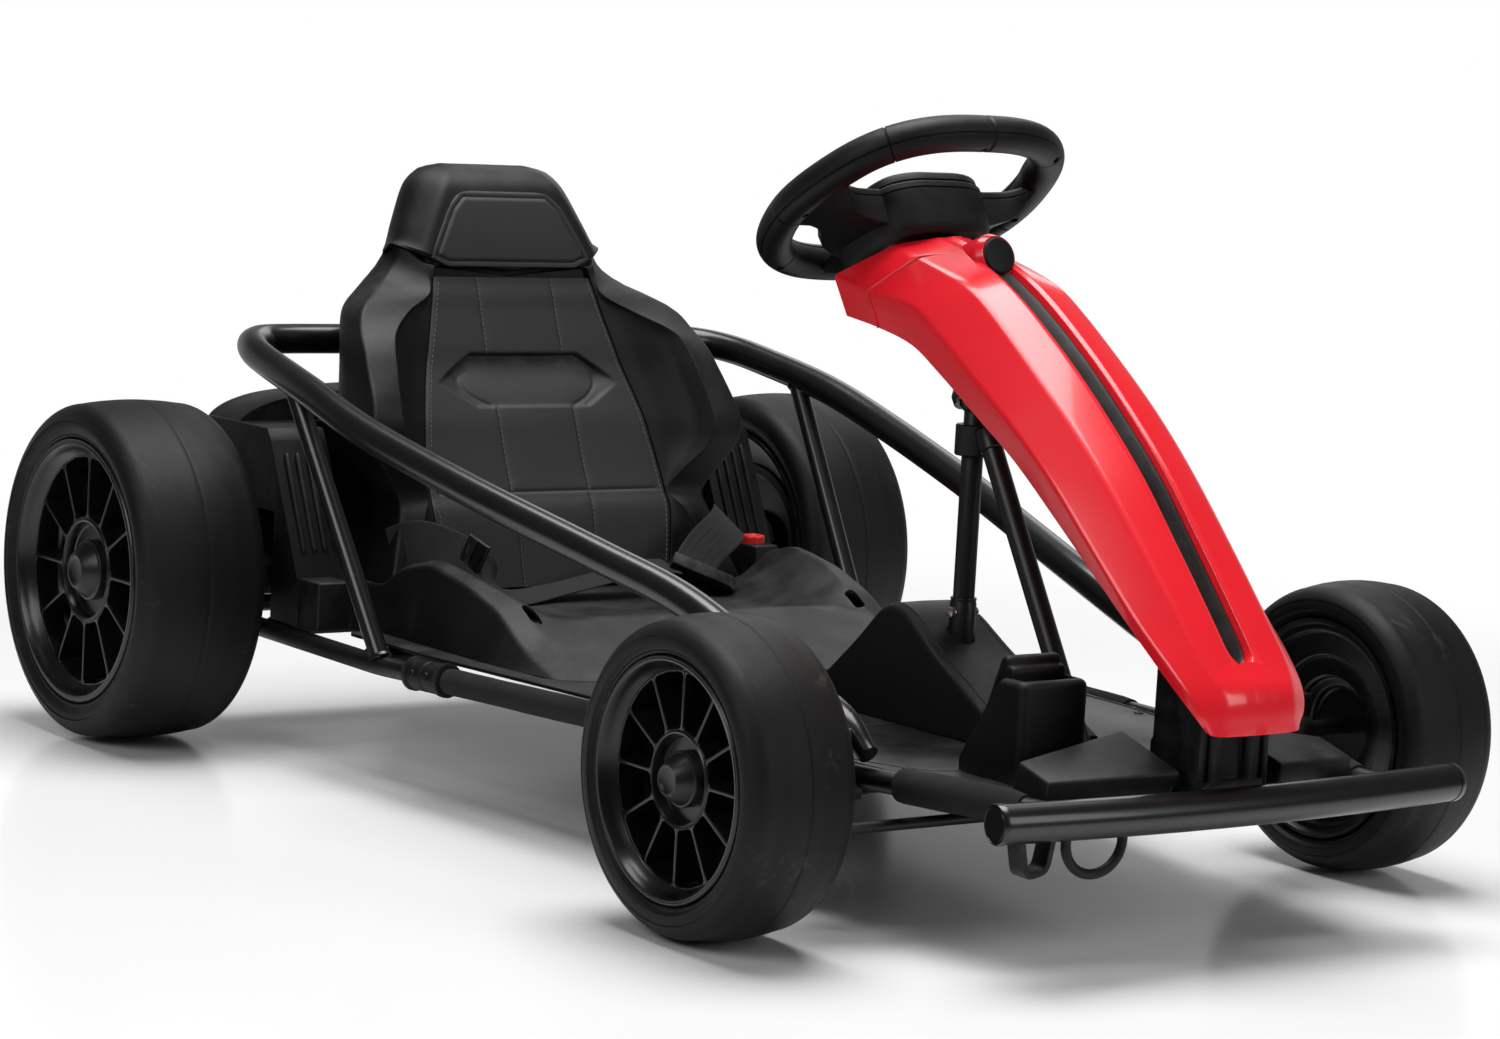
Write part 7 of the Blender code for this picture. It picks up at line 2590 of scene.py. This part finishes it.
@dataclass
class SeatBase(SubAssembly):
    """The moulded cover under the seat, with its swept sides and the button's shelf."""

    wall: float = 0.0025
    button: Pair = BUTTON_PLACE
    shelf: float = 0.1655

    def build(self) -> None:
        """Model the cover, its slots and its shelf."""
        lines = []
        for column in range(6):
            stations = [(row[column][0], SEAT + row[column][1], row[column][2]) for row in BASE_SECTIONS]
            lines.append(eased(stations, 0.012, closed=False, steps=5))
        rows = []
        for places in zip(*lines):
            half = eased(places, (0.0, 0.006, 0.004, 0.004, 0.004, 0.0), closed=False, steps=5)
            half = [half[0].lerp(half[1], 0.5)] + half[1:]
            row = [(-p.x, p.y, p.z) for p in reversed(half)] + [(0.0, half[0].y, half[0].z)]
            rows.append(row + [tuple(p) for p in half])
        cover = grid("cover", rows)
        add_modifier(cover, "SOLIDIFY", thickness=self.wall, offset=-1.0)
        face_out(cover)
        cover = cut(cover, rounded_box("floor", (-0.3, 0.2, 0.0), (0.3, 0.8, ON_FLOOR), 0.0001, 1))
        for side in (-1, 1):
            x, y = side * 0.159, SEAT - 0.202
            slot = eased(oblong(x - 0.0055, y - 0.0100, x + 0.0055, y + 0.0100), 0.0053, steps=6)
            cover = cut(cover, slab("slot", flat_points(slot), 0.120, 0.190, 0.0001))
        smooth(cover, 30)
        x, y = self.button
        ends = (x - 0.0125, y - 0.021, ON_FLOOR), (x + 0.0125, y + 0.019, self.shelf)
        shelf = rounded_box("shelf", *ends, 0.0022)
        shelf = cut(shelf, cylinder("well", (x, y, self.shelf - 0.009), (x, y, 0.2), 0.0105, sides=56))
        dress(joined("base_cover", [cover, shelf]), PLASTIC, "chassis", "seat_base")


@dataclass
class RearFairing(SubAssembly):
    """The ribbed cover that wraps round the back of the seat."""

    half: float = 0.242
    top: float = 0.262
    wall: float = 0.003
    notch: float = 0.190
    rear_tube: float = REAR_TUBE
    base: float = 0.106

    def outline(self, inset: float, base: float) -> list[Pair]:
        """Return the side outline, drawn in by a wall's thickness.

        Args:
            inset: How far it is drawn in.
            base: The outline's lowest height.

        Returns:
            The outline's points.
        """
        front, rear, top = SEAT + 0.022 + inset, self.rear_tube + self.wall / 2 - inset, self.top - inset
        return [(front, base), (front, 0.140), (front + 0.055, top - 0.009), (front + 0.062, top),
                (rear - 0.014, top), (rear, top - 0.014), (rear, base)]

    def cube(self, low: Place, high: Place) -> Piece:
        """Return a plain box that cuts."""
        return rounded_box("cutter", low, high, 0.00005, 1)

    def build_arch(self) -> Piece:
        """Return the rounded hump along the fairing's rear wall.

        Returns:
            The hump.
        """
        half = [(0.240, 0.235), (0.240, 0.2600), (0.224, 0.2720), (0.196, 0.2810), (0.120, 0.2890), (0.0, 0.2900)]
        reaches = (0.002, 0.012, 0.016, 0.020, 0.040, 0.030, 0.040, 0.020, 0.016, 0.012, 0.002)
        rounded = flat_points(eased(both_halves(half), reaches, steps=5))
        front, rear = AXLE - 0.0020, self.rear_tube + self.wall / 2 - 0.0002
        rows = [[(x, rear - drop, z) for x, z in drawn_in(rounded, inset)] for drop, inset in quarter_round(0.006, 5)]
        rows = rows[::-1] + [[(x, front, z) for x, z in rounded]]
        return smooth(grid("arch", rows, ring=True, caps=True))

    def build(self) -> None:
        """Model the fairing with its ribs and feet."""
        wide, wall, notch = self.half, self.wall, self.notch
        notch_rear = AXLE - 0.0095
        body = prism("body", self.outline(0.0, self.base), -wide, wide, 0.00005, 1)
        body = cut(body, self.cube((-notch, 0, 0), (notch, notch_rear, 0.5)))
        hollow = prism("hollow", self.outline(wall, self.base - 0.01), -wide + wall, wide - wall, 0.00005, 1)
        hollow = cut(hollow, self.cube((-notch - wall, 0, 0), (notch + wall, notch_rear + wall, 0.5)))
        body = cut(body, hollow)
        for _, side in SIDES:
            bay = (wide - 0.02, AXLE - 0.0775, 0.05), (wide + 0.02, self.rear_tube - 0.004, 0.195)
            body = cut(body, side_box(side, *bay, 0.00005, 1))
        face_out(body)
        pieces = [soften(body, 0.0014), self.build_arch()]
        low, high = Vector((0, SEAT + 0.0335, 0.165)), Vector((0, SEAT + 0.0705, 0.243))
        line = [low.lerp(high, t) for t in (0.0, 0.012, 0.04, 0.96, 0.988, 1.0)]
        for _, side in SIDES:
            for x in (0.201, 0.211, 0.221, 0.231):
                off = Vector((side * x, 0, 0))
                pieces.append(tube("rib", [p + off for p in line], 0.0022, 16, widths=(0.3, 0.75, 1.0, 1.0, 0.75, 0.3)))
            foot = (0.2100, SEAT - 0.010, self.base + 0.001), (wide - 0.001, SEAT + 0.024, 0.146)
            pieces.append(side_box(side, *foot, 0.0016))
        dress(joined("rear_cover", pieces), PLASTIC, "chassis", "rear_fairing")


# Belt


@dataclass
class LapBelt(SubAssembly):
    """The lap belt as it lies in the seat: two straps, the buckle and the slider."""

    width: float = 0.038
    thickness: float = 0.0018

    def strap(self, name: str, path: Sequence[Place], across: Sequence[Place]) -> Piece:
        """Return a strap along a path.

        Args:
            name: The piece's name.
            path: Points of its middle line.
            across: The direction of its width at each of the points.

        Returns:
            The piece.
        """
        line, wide = spline(path, 8), spline(across, 8)
        ups = []
        for index in range(len(line)):
            along = line[min(index + 1, len(line) - 1)] - line[max(index - 1, 0)]
            ups.append(wide[index].cross(along).normalized())
        half, thick = self.width / 2, self.thickness / 2
        edge = [(-half, 0.0), (-half + 0.0004, -thick * 0.8), (-half + 0.0012, -thick)]
        top = [(lerp(-half + 0.0012, half - 0.0012, step / 16), -thick) for step in range(1, 17)]
        low = edge + top + [(half - 0.0004, -thick * 0.8)]
        section = low + [(-a, -b) for a, b in low]
        return sweep(name, line, section, ups)

    def build(self) -> None:
        """Model the belt's pieces."""
        y = SEAT
        right = [(-0.163, y + 0.010, 0.168), (-0.150, y - 0.008, 0.176), (-0.135, y - 0.030, 0.172),
                 (-0.124, y - 0.054, 0.162), (-0.110, y - 0.070, 0.147), (-0.085, y - 0.064, 0.1375),
                 (-0.040, y - 0.052, 0.1395), (0.008, y - 0.050, 0.1475), (0.046, y - 0.049, 0.156),
                 (0.078, y - 0.050, 0.1545)]
        turns = [(0.1, 0.1, 1.0), (0.1, 0.1, 1.0), (0.15, 0.3, 0.95), (0.2, 0.5, 0.85), (0.2, 0.9, 0.4),
                 (0.1, 1.0, 0.15), (0.0, 1.0, 0.05), (0.0, 1.0, 0.05), (0.0, 1.0, 0.10), (0.0, 1.0, 0.2)]
        left = [(0.160, y - 0.016, 0.188), (0.152, y - 0.027, 0.187), (0.140, y - 0.035, 0.181),
                (0.122, y - 0.040, 0.170), (0.108, y - 0.045, 0.158), (0.100, y - 0.050, 0.151)]
        dress(self.strap("strap_right", right, turns), WEBBING, "chassis", "belt_right")
        dress(self.strap("strap_left", left, [(0.022, -0.015, -0.025)] * len(left)), WEBBING, "chassis", "belt_left")
        self.build_buckle()

    def clasp(self, name: str, loops: Sequence[Sequence[Pair]], depth: float, frame: Matrix) -> Piece:
        """Return a flat plate with holes and round edges, set in a frame."""
        return moved(flat_shape(name, loops, depth, 0.0014), frame)

    def build_buckle(self) -> None:
        """Model the buckle with its press tab, and the slider on the right strap."""
        place = placed((0.100, SEAT - 0.063, 0.1465), (0.043, -0.026, -0.019), (0.35, 0.55, 0.75))
        body = [(-0.029, -0.0125), (0.024, -0.0125), (0.029, -0.009), (0.029, 0.009), (0.024, 0.0125), (-0.029, 0.0125)]
        well, tab = oblong(-0.018, -0.0080, 0.008, 0.0080), oblong(-0.0174, -0.0074, 0.0074, 0.0074)
        pieces = [self.clasp("body", [body, well], 0.0120, place), self.clasp("tab", [tab], 0.0095, place)]
        for reach in (0.0125, 0.0165, 0.0205):
            pieces.append(self.clasp("rib", [oblong(reach, -0.0095, reach + 0.0016, 0.0095)], 0.0136, place))
        dress(joined("buckle", pieces), PLASTIC, "chassis", "belt_buckle")
        place = placed((-0.1245, SEAT - 0.0515, 0.1635), (0.009, -0.024, -0.011), (0.90, 0.40, -0.05))
        loops = [oblong(-0.0115, -0.0225, 0.0115, 0.0225)]
        loops += [oblong(low, -0.0195, low + 0.0070, 0.0195) for low in (-0.0090, 0.0020)]
        dress(self.clasp("belt_slider", loops, 0.0042, place), PLASTIC, "chassis", "belt_right")


def placed(middle: Place, along: Place, up: Place) -> Matrix:
    """Return the frame at a place whose x runs along one direction and whose z leans to another.

    Args:
        middle: The frame's place.
        along: The direction of x.
        up: The direction that z leans to.

    Returns:
        The frame.
    """
    first = Vector(along).normalized()
    second = Vector(up).cross(first).normalized()
    third = first.cross(second)
    turn = Matrix((first, second, third)).transposed().to_4x4()
    return Matrix.Translation(at(middle)) @ turn


def all_pieces() -> list[SubAssembly]:
    """Return every sub-assembly in the order in which they are built."""
    return [*all_wheels(), LowerFrame(), Bumper(), Sleeves(), FloorPan(), Hoop(), Linkage(), SteeringWheel(), Nose(),
            FloorCovers(), Pedals(), UnderStraps(), Button(), Seat(), SeatBase(), RearFairing(), LapBelt()]


# Stage


@dataclass(frozen=True)
class Stage:
    """The floor, the lamps and the camera."""

    camera_place: Place = (-1.7847, -2.0561, 0.5923)
    yaw: float = 0.6315
    pitch: float = -0.1208
    roll: float = 0.0546
    lens: float = 92.42
    floor_radius: float = 3.0
    floor_tone: float = 0.90
    fade: Pair = (0.75, 1.7)

    def build_camera(self) -> None:
        """Place the camera at the photograph's angle."""
        data = bpy.data.cameras.new("camera")
        data.lens = self.lens
        data.sensor_width = 36.0
        camera = linked("camera", data)
        ahead = Vector((math.sin(self.yaw) * math.cos(self.pitch), math.cos(self.yaw) * math.cos(self.pitch),
                        math.sin(self.pitch)))
        right = Vector((math.cos(self.yaw), -math.sin(self.yaw), 0.0))
        up = right.cross(ahead)
        c, s = math.cos(self.roll), math.sin(self.roll)
        right, up = right * c + up * s, up * c - right * s
        turn = Matrix((right, up, -ahead)).transposed().to_4x4()
        camera.matrix_world = Matrix.Translation(at(self.camera_place)) @ turn
        bpy.context.scene.camera = camera

    def build_floor(self) -> None:
        """Lay a pale floor that fades into the backdrop."""
        bpy.ops.mesh.primitive_circle_add(vertices=96, radius=self.floor_radius, fill_type="NGON",
                                          location=(0, 0, -0.0004))
        floor = named("floor")
        settle(floor)
        material = bpy.data.materials.new("pale_floor")
        material.use_nodes = True
        sheet = NodeSheet(material.node_tree)
        surface = material.node_tree.nodes["Principled BSDF"]
        surface.inputs["Base Color"].default_value = (self.floor_tone, self.floor_tone, self.floor_tone * 1.01, 1)
        surface.inputs["Roughness"].default_value = 0.16
        surface.inputs["Specular IOR Level"].default_value = 0.25
        place = sheet.add("TexCoord").outputs["Object"]
        reach = sheet.add("VectorMath", {0: place}, operation="LENGTH").outputs["Value"]
        fade = sheet.ramp(reach, *self.fade)
        clear = sheet.add("BsdfTransparent").outputs[0]
        blend = sheet.add("MixShader", {0: fade, 1: surface.outputs[0], 2: clear}).outputs[0]
        output = material.node_tree.nodes["Material Output"]
        material.node_tree.links.new(blend, output.inputs["Surface"])
        floor.data.materials.append(material)

    def build_lamp(self, name: str, place: Place, aim: Place, size: Pair, power: float) -> None:
        """Add a soft box.

        Args:
            name: The lamp's name.
            place: Where it stands, from the front axle.
            aim: Where it points.
            size: Its width and height in metres.
            power: Its power in watts.
        """
        data = bpy.data.lights.new(name, "AREA")
        data.shape = "RECTANGLE"
        data.size, data.size_y = size
        data.energy = power
        lamp = linked(name, data)
        lamp.location = at(place)
        lamp.rotation_mode = "QUATERNION"
        lamp.rotation_quaternion = (at(aim) - at(place)).to_track_quat("-Z", "Y")

    def build_world(self) -> None:
        """Make the pale backdrop, which gives little light of its own."""
        world = bpy.data.worlds.new("studio")
        bpy.context.scene.world = world
        world.use_nodes = True
        sheet = NodeSheet(world.node_tree)
        path = sheet.add("LightPath").outputs
        seen = sheet.maths("MAXIMUM", path["Is Camera Ray"], path["Is Transmission Ray"])
        way = sheet.add("TexCoord").outputs["Generated"]
        up = sheet.add("SeparateXYZ", {0: way}).outputs[2]
        ahead = (math.sin(self.yaw), math.cos(self.yaw), 0.0)
        front = sheet.add("VectorMath", {0: way, 1: ahead}, operation="DOT_PRODUCT").outputs["Value"]
        wall = sheet.times(sheet.ramp(front, 0.1, 0.8), sheet.ramp(up, 0.6, 0.1))
        gloss = sheet.times(path["Is Glossy Ray"], sheet.times(wall, 0.5))
        strength = sheet.maths("MAXIMUM", sheet.maths("MAXIMUM", seen, gloss), 0.08)
        node = world.node_tree.nodes["Background"]
        node.inputs["Color"].default_value = (1.0, 1.0, 1.0, 1)
        world.node_tree.links.new(strength, node.inputs["Strength"])

    def build(self) -> None:
        """Build the whole stage."""
        bpy.context.scene.view_settings.view_transform = "Standard"
        self.build_camera()
        self.build_floor()
        self.build_world()
        middle = (0.0, 0.3, 0.2)
        self.build_lamp("key", (-2.6, -0.4, 1.9), middle, (1.4, 1.4), 26)
        self.build_lamp("top", (0.2, 0.6, 3.0), middle, (2.2, 2.2), 124)
        self.build_lamp("front", (1.2, -3.0, 1.6), middle, (1.4, 1.8), 28)
        self.build_lamp("back", (2.2, 2.6, 1.8), middle, (1.4, 1.2), 9)


def keep_rest() -> None:
    """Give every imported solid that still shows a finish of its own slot."""
    finishes = {finish.slot: finish for finish in (GLOSS_TUBE, SATIN_TUBE, FOAM, RIM_GLOSS, PLASTIC, RED, SEAT_SKIN,
                                                   BUTTON_RED, STEEL, CASE)}
    slots = {row["node"]: row["material_slot"] for row in frame["record"]["subparts"]}
    for name, node in frame["nodes"].items():
        if node.hide_render:
            continue
        finish = finishes.get(slots[name], PLASTIC)
        node.data.materials.clear()
        node.data.materials.append(finish.material())
        LOG.info("%s kept: %s", name, finish.name)


def main() -> None:
    """Build every piece and the stage."""
    logging.basicConfig(level=logging.INFO, format="%(message)s")
    for piece in all_pieces():
        piece.build()
    keep_rest()
    Stage().build()


if __name__ == "__main__":
    main()
